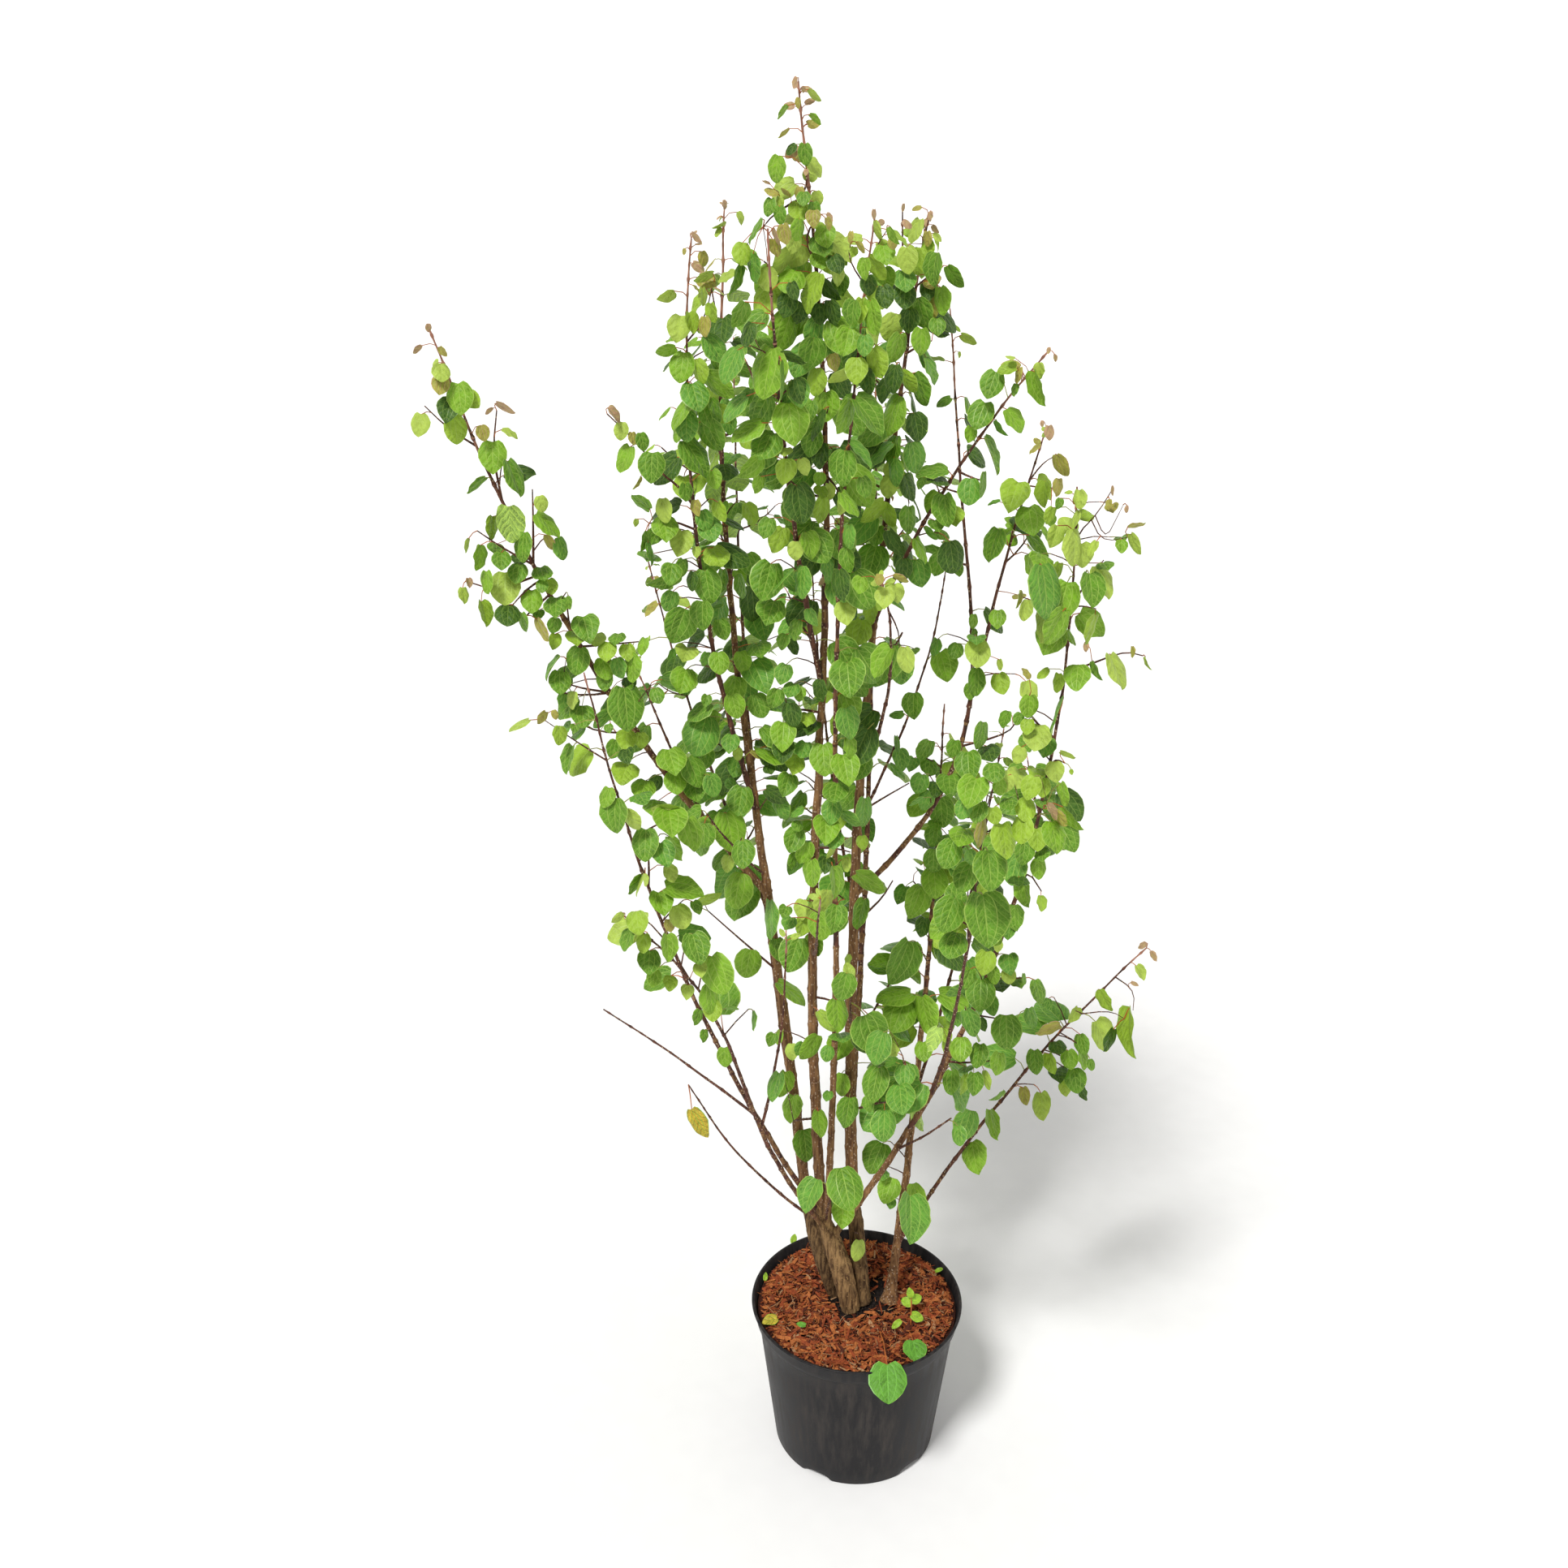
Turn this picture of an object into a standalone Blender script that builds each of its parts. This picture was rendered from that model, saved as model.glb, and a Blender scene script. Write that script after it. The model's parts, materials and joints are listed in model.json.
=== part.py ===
"""Potted katsura: a young many-stemmed tree in a ten-litre nursery pot.

A stool of three fused lobes stands on the mulch with one more stem beside it. Long whips rise from
them and carry opposite, rounded leaves. Every whip is one row in SHOOTS: its bare lower length is a
bough, and its leafy upper length is a mass of leaves that starts 0.3 mm above the bough's cut end.
Metres, +Z up, origin at the centre of the pot's flat underside, viewer on the -Y side.
"""
import math
import random
from collections import namedtuple

import bmesh
import bpy
import numpy as np
from mathutils import Matrix, Vector
from mathutils.bvhtree import BVHTree
from mathutils.kdtree import KDTree

# Fits
GAP = 0.0003
LEAF_CLEARANCE = 0.0010

# Pot
POT_HEIGHT = 0.222
POT_RIM_RADIUS = 0.140
POT_BASE_RADIUS = 0.108
POT_WALL = 0.0022
POT_FLOOR = 0.0030
COLLAR_HEIGHT = 0.024
COLLAR_STEP = 0.0035
COLLAR_FOOT_RADIUS = 0.1345
COLLAR_UNDERCUT = 0.001
COLLAR_INNER_RISE = 0.003
FOOT_CHAMFER = 0.004
LIP_HEIGHT = 0.0035
LIP_STAND = 0.0018
LIP_LOW_SHARE = 0.7
LIP_HIGH_SHARE = 0.2
LIP_DISH = 0.0005
POT_SEGMENTS = 40
DRAIN_COUNT = 5
DRAIN_FIRST_DEG = -120.0
DRAIN_WIDTH = 0.040
DRAIN_HEIGHT = 0.009
DRAIN_ARCH_STEPS = 6
DRAIN_CUT_INSIDE = 0.010
DRAIN_CUT_OUTSIDE = 0.020
DRAIN_CUT_BELOW = 0.005

# Soil and mulch
SOIL_FOOT_Z = 0.2050
SOIL_CREST_Z = 0.2120
SOIL_EDGE_Z = 0.2085
SOIL_SHOULDER = 0.0035
SOIL_FLAT_RADIUS = 0.060
SOIL_CREST_RADIUS = 0.095

# Limbs
HEAD_Z = 0.350
TIP_RADIUS = 0.0011
RING_SPACING = 0.075
LOBE_SIDES = 10
BOUGH_SIDES = 7
STEM_SIDES = 3
TWIG_SIDES = 3
FOOT_FLARE = 0.0035
FLARE_REACH = 0.022

# Leaves
NODE_SPACING = 0.070
FIRST_NODE = 0.020
SIDE_FIRST_NODE = 0.035
PAIR_JITTER_DEG = 15
TWIG_CHANCE = 0.20
TWIG_LENGTH = 0.070
TWIG_LENGTH_SPREAD = (0.7, 1.2)
TWIG_RADIUS = 0.0013
TWIG_RISE = 0.62
TWIG_SAG = 0.003
TWIG_BEARER_LENGTH = 0.20
TWIG_CLEAR_FROM = 0.12
TWIG_LEAF_SHARE = 0.90
TWIG_END_SHARE = 0.95
LEAF_LENGTH_LOW = 0.088
LEAF_LENGTH_TOP = 0.062
LEAF_LOW_HEIGHT = 0.45
LEAF_TOP_HEIGHT = 1.40
LEAF_LENGTH_SPREAD = (0.88, 1.10)

# Young leaves: their share of the full length at the tip, and how far down they grow to it
YOUNG_SHARE = 0.42
YOUNG_STRETCH = 0.20

LEAF_WIDTH = 0.64
LEAF_THICKNESS = 0.022
LEAF_DROOP = 0.10
BLADE_START = 0.36
ROOT_SINK = 0.0035
ROOT_START = 0.0002
NEIGHBOUR_SLACK = 0.012
MOST_ALONG_STEM = 0.72
AXIS_SPACING = 0.012
AXIS_NEIGHBOURS = 60
TURNS_TRIED = (0.0, 38.0, -38.0, 75.0, -75.0)

# How leaves face: up, out from the middle of the crown, along their own side, and to the front
CROWN_CENTRE = (-0.05, 0.06)
FACING_UP = 0.85
FACING_OUT = 0.42
FACING_SIDE = 0.18
FACING_FRONT = 0.22
FACING_JITTER = 0.16
TURN_JITTER_DEG = 14
LEAF_HANG = 0.30
LEAST_IN_FACE = 0.25

# Where along its length a leaf is widest, and where its ridge is highest
LEAF_WIDEST = 0.60
LEAF_RIDGE = 0.52

Shoot = namedtuple("Shoot", "name parent root tip bow wave base leafy")
NONE = (0.0, 0.0, 0.0)

# The stool: each lobe runs from the mulch to the head where its stem carries on
LOBES = (
    Shoot("front_lobe", None, (-0.012, -0.003), (-0.051, 0.016, HEAD_Z), (-0.002, -0.006, 0), NONE,
          (0.0100, 0.0150, 0.0082), None),
    Shoot("left_lobe", None, (-0.036, 0.030), (-0.067, 0.038, HEAD_Z), (0.002, -0.017, 0), NONE,
          (0.0095, 0.0128, 0.0080), None),
    Shoot("right_lobe", None, (0.007, 0.012), (0.006, 0.028, HEAD_Z), (0.003, 0.001, 0), NONE,
          (0.0115, 0.0098, 0.0088), None),
)

# name, parent, where it leaves the parent, tip, bow, second wave, foot diameter, leafy from
SHOOTS = (
    Shoot("leader_stem", "front_lobe", 1, (-0.083, 0.000, 1.712), (0.012, 0.002, 0), (-0.008, 0, 0),
          0.0145, 0.60),
    Shoot("front_stem", "right_lobe", 1, (0.057, 0.120, 1.582), (-0.030, -0.010, 0), NONE, 0.0170, 0.70),
    Shoot("left_stem", "left_lobe", 1, (-0.164, 0.220, 1.579), (-0.026, -0.012, 0), (0.009, 0, 0),
          0.0145, 0.46),
    Shoot("right_stem", "soil", (0.045, 0.012), (0.107, 0.220, 0.984), (0.009, -0.006, 0), NONE, 0.0120, 0.52),
    Shoot("middle_stem", "front_lobe", 0.86, (-0.010, -0.060, 1.592), (-0.022, -0.010, 0), NONE, 0.0095, 0.58),
    Shoot("right_arm", "front_lobe", 0.76, (0.190, -0.140, 1.348), (0.080, 0.006, -0.010), NONE, 0.0090, 0.56),
    Shoot("left_arm", "front_lobe", 0.93, (-0.307, -0.100, 1.141), (-0.034, 0.000, -0.014), NONE,
          0.0075, 0.30),
    Shoot("low_left_arm", "front_lobe", 0.80, (-0.260, -0.240, 0.925), (0.002, 0.012, 0.012),
          (-0.013, 0, -0.010), 0.0070, 0.52),
    Shoot("bare_low_twig", "left_lobe", 0.86, (-0.221, 0.060, 0.518), (-0.011, 0.010, -0.018), NONE, 0.0042, 1),
    Shoot("low_right_arm", "right_stem", 0.10, (0.347, 0.030, 0.737), (-0.012, 0.010, 0.007), NONE,
          0.0060, 0.42),
    Shoot("far_left_arm", "left_stem", 0.35, (-0.462, 0.000, 1.481), (-0.037, 0.004, -0.017), NONE,
          0.0100, 0.20),
    Shoot("left_fork", "left_stem", 0.44, (-0.192, 0.030, 1.564), (-0.032, 0.006, -0.006), NONE, 0.0070, 0),
    Shoot("crossing_stem", "leader_stem", 0.535, (-0.113, -0.130, 1.599), (-0.010, 0.004, 0), NONE, 0.0070, 0),
    Shoot("right_whip", "front_stem", 0.365, (0.088, 0.160, 1.479), (0.086, 0.002, -0.025),
          (0.023, 0, -0.008), 0.0070, 0.44),
    Shoot("right_fork", "right_whip", 0.38, (0.193, 0.090, 1.361), (-0.007, -0.016, 0.002), NONE, 0.0050, 0),
    Shoot("upper_right_arm", "front_stem", 0.64, (0.170, -0.040, 1.464), (-0.012, -0.006, 0.009), NONE,
          0.0055, 0),
    Shoot("curved_shoot", "front_stem", 0.49, (-0.001, -0.160, 1.259), (0.021, -0.005, 0.005), NONE, 0.0050, 0),
    Shoot("thin_twig", "front_stem", 0.44, (0.095, 0.150, 1.178), (0.014, 0, -0.005), NONE, 0.0038, 1),
    Shoot("low_left_side", "low_left_arm", 0.36, (-0.095, -0.050, 0.801), (0.009, 0.001, -0.002), NONE,
          0.0040, 0),
    Shoot("bare_left_twig", "left_arm", 0.24, (-0.326, 0.060, 0.632), (0, 0.006, 0), NONE, 0.0038, 1),
    Shoot("far_left_side", "far_left_arm", 0.16, (-0.277, 0.170, 1.047), (-0.003, 0.010, -0.003), NONE,
          0.0045, 0),
    Shoot("back_left_stem", "left_stem", 0.10, (-0.158, 0.330, 1.419), (-0.020, 0.020, -0.030), NONE,
          0.0090, 0.42),
    Shoot("back_right_stem", "front_stem", 0.10, (0.016, 0.330, 1.438), (0.010, 0.020, -0.030), NONE,
          0.0090, 0.42),
    Shoot("back_left_shoot", "back_left_stem", 0.30, (-0.270, 0.300, 1.150), (-0.010, 0.010, -0.010), NONE,
          0.0050, 0),
    Shoot("back_low_shoot", "back_right_stem", 0.26, (-0.060, 0.400, 1.130), (-0.010, 0.010, -0.020), NONE,
          0.0050, 0),
    Shoot("back_right_shoot", "right_stem", 0.36, (0.196, 0.300, 0.920), (0.010, 0.010, -0.010), NONE,
          0.0050, 0),
    Shoot("front_low_shoot", "leader_stem", 0.29, (-0.060, -0.230, 0.940), (0, -0.010, -0.020), NONE,
          0.0045, 0),
    Shoot("front_middle_shoot", "middle_stem", 0.42, (-0.041, -0.260, 1.200), (0, -0.010, -0.020), NONE,
          0.0045, 0),
    Shoot("front_high_shoot", "middle_stem", 0.55, (-0.049, -0.220, 1.366), (0, -0.010, -0.015), NONE,
          0.0045, 0),
    Shoot("right_cluster", "right_arm", 0.26, (0.096, -0.290, 1.060), (0.005, -0.010, -0.020), NONE,
          0.0055, 0),
    Shoot("foot_spur_front", "front_lobe", 0.90, (-0.035, -0.100, 0.495), (0, 0, 0.004), NONE, 0.0035, 0),
    Shoot("foot_spur_left", "leader_stem", 0.11, (-0.085, -0.080, 0.560), (0, 0, 0), NONE, 0.0035, 0),
    Shoot("foot_spur_right", "front_stem", 0.12, (0.035, -0.080, 0.590), (0, 0, 0), NONE, 0.0035, 0),
    Shoot("foot_spur_rim", "right_stem", 0.14, (0.066, -0.070, 0.400), (0, 0, 0), NONE, 0.0032, 0),
    Shoot("stem_spur_low", "front_stem", 0.22, (-0.020, -0.070, 0.745), (0, 0, -0.005), NONE, 0.0035, 0),
    Shoot("stem_spur_right", "right_stem", 0.34, (0.045, -0.060, 0.640), (0, 0, -0.005), NONE, 0.0035, 0),
    Shoot("arm_spur_right", "right_arm", 0.16, (0.118, -0.090, 0.585), (0, 0, -0.004), NONE, 0.0035, 0),
    Shoot("arm_spur_low", "low_right_arm", 0.26, (0.165, -0.050, 0.470), (0, 0, 0), NONE, 0.0032, 0),
    Shoot("stem_spur_left", "left_stem", 0.37, (-0.190, 0.010, 0.930), (0, 0, -0.006), NONE, 0.0035, 0),
    Shoot("stem_spur_high", "front_stem", 0.58, (0.045, -0.010, 1.180), (0, 0, -0.006), NONE, 0.0035, 0),
    Shoot("back_spur_low", "back_right_stem", 0.12, (0.060, 0.170, 0.640), (0, 0, -0.006), NONE, 0.0035, 0),
    Shoot("rim_sucker", "soil", (0.050, -0.082), (0.046, -0.128, 0.262), (0, 0.004, 0.006), NONE, 0.0030, 0),
)

BY_NAME = {shoot.name: shoot for shoot in LOBES + SHOOTS}

# Colours and surfaces: base colour, roughness
SURFACES = {
    "pot": ((0.035, 0.035, 0.037), 0.45),
    "soil": ((0.160, 0.055, 0.025), 0.95),
    "bark": ((0.150, 0.090, 0.055), 0.85),
    "leaves": ((0.110, 0.300, 0.045), 0.50),
}


def clear_scene():
    for obj in list(bpy.data.objects):
        bpy.data.objects.remove(obj, do_unlink=True)


def material(name):
    """One Principled material for each kind of surface."""
    found = bpy.data.materials.get(name)
    if found:
        return found
    colour, roughness = SURFACES[name]
    made = bpy.data.materials.new(name)
    made.use_nodes = True
    shader = made.node_tree.nodes["Principled BSDF"]
    shader.inputs["Base Color"].default_value = (*colour, 1.0)
    shader.inputs["Roughness"].default_value = roughness
    shader.inputs["Metallic"].default_value = 0.0
    return made


def add_object(name, vertices, faces, surface):
    """An object from vertices and faces, with its normals facing out."""
    mesh = bpy.data.meshes.new(name)
    mesh.from_pydata([tuple(v) for v in vertices], [], faces)
    work = bmesh.new()
    work.from_mesh(mesh)
    bmesh.ops.recalc_face_normals(work, faces=work.faces)
    work.to_mesh(mesh)
    work.free()
    mesh.materials.append(material(surface))
    obj = bpy.data.objects.new(name, mesh)
    bpy.context.scene.collection.objects.link(obj)
    return obj


def remove(objects):
    for obj in objects:
        mesh = obj.data
        bpy.data.objects.remove(obj, do_unlink=True)
        bpy.data.meshes.remove(mesh)


def keep_largest_piece(mesh):
    """Drops loose scraps and fills sealed hollows: only the outer skin of the largest piece stays."""
    work = bmesh.new()
    work.from_mesh(mesh)
    unseen = set(work.faces)
    pieces = []
    while unseen:
        front = [unseen.pop()]
        piece = list(front)
        while front:
            for edge in front.pop().edges:
                for face in edge.link_faces:
                    if face in unseen:
                        unseen.remove(face)
                        piece.append(face)
                        front.append(face)
        pieces.append(piece)
    pieces.sort(key=len, reverse=True)
    for piece in pieces[1:]:
        bmesh.ops.delete(work, geom=piece, context="FACES")
    work.to_mesh(mesh)
    work.free()


def is_sound(mesh):
    """True where every edge joins two faces that point the same way."""
    work = bmesh.new()
    work.from_mesh(mesh)
    sound = len(work.faces) > 0 and all(edge.is_contiguous for edge in work.edges)
    work.free()
    return sound


def boolean_mesh(obj, operation, solver, operand, collection):
    """The mesh that one Boolean makes, or None where it isn't one closed skin."""
    modifier = obj.modifiers.new(operation.title(), "BOOLEAN")
    modifier.operation = operation
    modifier.solver = solver
    if collection is None:
        modifier.object = operand
    else:
        modifier.operand_type = "COLLECTION"
        modifier.collection = collection
    graph = bpy.context.evaluated_depsgraph_get()
    mesh = bpy.data.meshes.new_from_object(obj.evaluated_get(graph))
    obj.modifiers.remove(modifier)
    keep_largest_piece(mesh)
    if is_sound(mesh):
        return mesh
    bpy.data.meshes.remove(mesh)
    return None


def boolean(obj, operation, operand=None, collection=None):
    """Applies one Boolean: the exact solver first, the manifold one where that fails."""
    for solver in ("EXACT", "MANIFOLD"):
        mesh = boolean_mesh(obj, operation, solver, operand, collection)
        if mesh:
            old = obj.data
            obj.data = mesh
            bpy.data.meshes.remove(old)
            return
    raise RuntimeError(f"{obj.name}: no solver gives one closed skin")


def fuse(obj, pieces):
    """One union of an object with a collection of pieces, which is then emptied and removed."""
    if not pieces:
        return
    collection = bpy.data.collections.new(obj.name + "_pieces")
    bpy.context.scene.collection.children.link(collection)
    for piece in pieces:
        bpy.context.scene.collection.objects.unlink(piece)
        collection.objects.link(piece)
    boolean(obj, "UNION", collection=collection)
    remove(pieces)
    bpy.data.collections.remove(collection)


def lathe(name, profile, segments, surface):
    """A turned solid from (radius, height) points that start and end on the axis."""
    vertices = []
    rings = []
    for radius, height in profile:
        if radius == 0:
            rings.append([len(vertices)])
            vertices.append((0, 0, height))
            continue
        rings.append(list(range(len(vertices), len(vertices) + segments)))
        for k in range(segments):
            angle = 2 * math.pi * k / segments
            vertices.append((radius * math.cos(angle), radius * math.sin(angle), height))
    faces = []
    for lower, upper in zip(rings, rings[1:]):
        for k in range(segments):
            after = (k + 1) % segments
            if len(lower) == 1:
                faces.append((lower[0], upper[k], upper[after]))
            elif len(upper) == 1:
                faces.append((lower[after], lower[k], upper[0]))
            else:
                faces.append((lower[after], lower[k], upper[k], upper[after]))
    obj = add_object(name, vertices, faces, surface)
    obj.data.shade_smooth()
    obj.data.set_sharp_from_angle(angle=math.radians(35))
    return obj


def wall_radius(height):
    """The pot's outer radius on its tapered wall."""
    top = POT_HEIGHT - COLLAR_HEIGHT
    share = height / top
    return POT_BASE_RADIUS + (COLLAR_FOOT_RADIUS - COLLAR_STEP - POT_BASE_RADIUS) * share


def inner_radius(height):
    """The inside of the pot: a plain cone that clears the collar's step."""
    return wall_radius(height) - POT_WALL


def add_pot():
    """A thin moulded cup with a collar, a rolled lip and arched drain slots round its foot."""
    top = POT_HEIGHT - COLLAR_HEIGHT
    profile = (
        (0, 0),
        (POT_BASE_RADIUS - FOOT_CHAMFER, 0),
        (wall_radius(FOOT_CHAMFER), FOOT_CHAMFER),
        (wall_radius(top), top),
        (COLLAR_FOOT_RADIUS, top + COLLAR_UNDERCUT),
        (POT_RIM_RADIUS - LIP_STAND, POT_HEIGHT - LIP_HEIGHT),
        (POT_RIM_RADIUS, POT_HEIGHT - LIP_HEIGHT * LIP_LOW_SHARE),
        (POT_RIM_RADIUS, POT_HEIGHT - LIP_HEIGHT * LIP_HIGH_SHARE),
        (POT_RIM_RADIUS - LIP_STAND / 2, POT_HEIGHT),
        (POT_RIM_RADIUS - LIP_STAND - POT_WALL, POT_HEIGHT - LIP_DISH),
        (COLLAR_FOOT_RADIUS - POT_WALL, top + COLLAR_INNER_RISE),
        (inner_radius(top), top),
        (inner_radius(POT_FLOOR), POT_FLOOR),
        (0, POT_FLOOR),
    )
    pot = lathe("pot", profile, POT_SEGMENTS, "pot")
    cutters = []
    for k in range(DRAIN_COUNT):
        angle = math.radians(DRAIN_FIRST_DEG + 360.0 * k / DRAIN_COUNT)
        cutters.append(drain_cutter(f"drain_{k}", angle))
    for cutter in cutters:
        boolean(pot, "DIFFERENCE", operand=cutter)
    remove(cutters)
    return pot


def drain_cutter(name, angle):
    """An arched bar across the pot's foot, from just inside the wall to well outside it."""
    inner = POT_BASE_RADIUS - DRAIN_CUT_INSIDE
    outer = POT_BASE_RADIUS + DRAIN_CUT_OUTSIDE
    outward = Vector((math.cos(angle), math.sin(angle), 0))
    across = Vector((-math.sin(angle), math.cos(angle), 0))
    arch = []
    for k in range(DRAIN_ARCH_STEPS + 1):
        turn = math.pi * k / DRAIN_ARCH_STEPS
        arch.append((math.cos(turn) * DRAIN_WIDTH / 2, math.sin(turn) * DRAIN_HEIGHT))
    arch = [(DRAIN_WIDTH / 2, -DRAIN_CUT_BELOW)] + arch + [(-DRAIN_WIDTH / 2, -DRAIN_CUT_BELOW)]
    vertices = []
    for reach in (inner, outer):
        for x, z in arch:
            vertices.append(outward * reach + across * x + Vector((0, 0, z)))
    count = len(arch)
    faces = [tuple(range(count)), tuple(range(2 * count - 1, count - 1, -1))]
    for k in range(count):
        after = (k + 1) % count
        faces.append((k, count + k, count + after, after))
    return add_object(name, vertices, faces, "pot")


def add_soil():
    """The root ball's soil with its mulch, filling the pot: flat where the stems stand."""
    floor = POT_FLOOR + GAP
    top = POT_HEIGHT - COLLAR_HEIGHT
    profile = (
        (0, floor),
        (inner_radius(floor) - GAP, floor),
        (inner_radius(top) - GAP, top),
        (COLLAR_FOOT_RADIUS - POT_WALL - 3 * GAP, top + SOIL_SHOULDER),
        (COLLAR_FOOT_RADIUS - POT_WALL, SOIL_EDGE_Z),
        (SOIL_CREST_RADIUS, SOIL_CREST_Z),
        (SOIL_FLAT_RADIUS, SOIL_FOOT_Z),
        (0, SOIL_FOOT_Z),
    )
    return lathe("soil", profile, POT_SEGMENTS, "soil")


def start_point(shoot):
    """Where a shoot's axis begins: on the mulch, or on its parent's axis."""
    if isinstance(shoot.root, tuple):
        height = SOIL_FOOT_Z + GAP
        if math.hypot(*shoot.root) > SOIL_FLAT_RADIUS:
            height = SOIL_CREST_Z + GAP
        return Vector((*shoot.root, height))
    return axis_point(BY_NAME[shoot.parent], shoot.root)


def axis_point(shoot, t):
    """The shoot's axis: a straight run, bowed once and, on some, waved once."""
    start = start_point(shoot)
    run = Vector(shoot.tip) - start
    bow = Vector(shoot.bow) * (4 * t * (1 - t))
    wave = Vector(shoot.wave) * math.sin(2 * math.pi * t)
    return start + run * t + bow + wave


def axis_tangent(shoot, t):
    step = 0.004
    return (axis_point(shoot, t + step) - axis_point(shoot, t - step)).normalized()


def axis_radius(shoot, t, rise):
    """Half the thickness: lobes swell and flare at the foot, shoots taper to the tip."""
    flare = FOOT_FLARE * math.exp(-rise / FLARE_REACH)
    if shoot in LOBES:
        foot, middle, head = shoot.base
        even = foot * (1 - t) + head * t
        return even + (middle - (foot + head) / 2) * 4 * t * (1 - t) + flare
    radius = TIP_RADIUS + (shoot.base / 2 - TIP_RADIUS) * (1 - t)
    if shoot.parent == "soil" and shoot.leafy:
        radius += flare
    return radius


def axis_length(shoot):
    points = [axis_point(shoot, k / 40) for k in range(41)]
    return sum((b - a).length for a, b in zip(points, points[1:]))


def tube(points, radii, sides, tangents=None, first_plane=None):
    """A closed tube of rings along points. The first ring can be sheared on to a plane."""
    if tangents is None:
        ends = [(points[max(k - 1, 0)], points[min(k + 1, len(points) - 1)]) for k in range(len(points))]
        tangents = [(after - before).normalized() for before, after in ends]
    side = tangents[0].orthogonal().normalized()
    vertices = []
    for k, (point, radius, tangent) in enumerate(zip(points, radii, tangents)):
        side = (side - tangent * side.dot(tangent)).normalized()
        across = tangent.cross(side)
        for s in range(sides):
            angle = 2 * math.pi * s / sides
            vertex = point + (side * math.cos(angle) + across * math.sin(angle)) * radius
            if k == 0 and first_plane:
                origin, normal = first_plane
                vertex += tangent * ((origin - vertex).dot(normal) / tangent.dot(normal))
            vertices.append(vertex)
    faces = [tuple(reversed(range(sides)))]
    for k in range(len(points) - 1):
        for s in range(sides):
            after = (s + 1) % sides
            low = k * sides
            high = low + sides
            faces.append((low + s, low + after, high + after, high + s))
    last = (len(points) - 1) * sides
    faces.append(tuple(range(last, last + sides)))
    return vertices, faces


def shoot_tube(shoot, low, high, sides, extra=0.0):
    """The stretch of a shoot from one fraction of its axis to another."""
    length = axis_length(shoot)
    count = max(2, round(length * (high - low) / RING_SPACING) + 1)
    if shoot in LOBES:
        count = 7
    fractions = [low + (high - low) * k / (count - 1) for k in range(count)]
    points = [axis_point(shoot, t) for t in fractions]
    tangents = [axis_tangent(shoot, t) for t in fractions]
    points[0] = points[0] - tangents[0] * extra
    points[-1] = points[-1] + tangents[-1] * extra
    radii = [axis_radius(shoot, t, t * length) + extra for t in fractions]
    plane = None
    up = Vector((0, 0, 1))
    if low == 0 and (isinstance(shoot.root, tuple) or shoot.root == 1):
        lift = 0.0 if isinstance(shoot.root, tuple) else GAP
        plane = (points[0] + up * lift, up)
    vertices, faces = tube(points, radii, sides, tangents, plane)
    if shoot in LOBES:
        for vertex in vertices[-sides:]:
            vertex.z = HEAD_Z + extra
    return vertices, faces


def as_tree(vertices, faces):
    return BVHTree.FromPolygons([tuple(v) for v in vertices], faces)


class Space:
    """Everything that is already in place, for testing what is added."""

    def __init__(self):
        self.owners = []
        self.trees = []
        self.low = np.zeros((0, 3))
        self.high = np.zeros((0, 3))

    def add(self, owner, vertices, faces):
        corners = np.array([tuple(v) for v in vertices])
        self.owners.append(owner)
        self.trees.append(as_tree(vertices, faces))
        self.low = np.vstack([self.low, corners.min(axis=0) - LEAF_CLEARANCE])
        self.high = np.vstack([self.high, corners.max(axis=0) + LEAF_CLEARANCE])

    def hits(self, vertices, faces, own=None, only_own=False):
        """The owners that a shape touches, either all but one owner or that owner alone."""
        corners = np.array([tuple(v) for v in vertices])
        near = (self.low <= corners.max(axis=0)).all(axis=1) & (self.high >= corners.min(axis=0)).all(axis=1)
        tree = None
        found = []
        for index in np.flatnonzero(near):
            owner = self.owners[index]
            if (owner == own) != only_own:
                continue
            tree = tree or as_tree(vertices, faces)
            if tree.overlap(self.trees[index]):
                found.append(owner)
        return found


def leaf_shape(root, along, normal, length, grow=0.0, blade_only=False):
    """A leaf: a four-cornered outline with a low ridge above, its narrow root at the stem."""
    along = along.normalized()
    normal = (normal - along * normal.dot(along)).normalized()
    across = along.cross(normal)
    half = LEAF_WIDTH * length / 2 + grow
    thick = LEAF_THICKNESS * length + grow

    def place(run, side, lift):
        droop = LEAF_DROOP * length * run * run
        return root + along * (run * length) + across * side + normal * (lift - droop - grow)

    first = place(BLADE_START, 0, 0) if blade_only else root.copy()
    right = place(LEAF_WIDEST, half, 0)
    left = place(LEAF_WIDEST, -half, 0)
    tip = place(1.0 + grow / length, 0, 0)
    ridge = place(LEAF_RIDGE, 0, thick)
    faces = [(0, 1, 4), (1, 2, 4), (2, 3, 4), (3, 0, 4), (2, 1, 0), (3, 2, 0)]
    return [first, right, tip, left, ridge], faces


def leaf_length(height):
    """Leaves are largest on the low wood and smallest at the top."""
    share = (height - LEAF_LOW_HEIGHT) / (LEAF_TOP_HEIGHT - LEAF_LOW_HEIGHT)
    share = min(max(share, 0.0), 1.0)
    return LEAF_LENGTH_LOW + (LEAF_LENGTH_TOP - LEAF_LENGTH_LOW) * share


def leaf_facing(point, azimuth):
    """Blades turn their faces up and out from the crown, and a little to the open side in front."""
    outward = Vector((point.x - CROWN_CENTRE[0], point.y - CROWN_CENTRE[1], 0))
    if outward.length > 0.001:
        outward.normalize()
    return Vector((0, -FACING_FRONT, FACING_UP)) + outward * FACING_OUT + azimuth * FACING_SIDE


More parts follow.
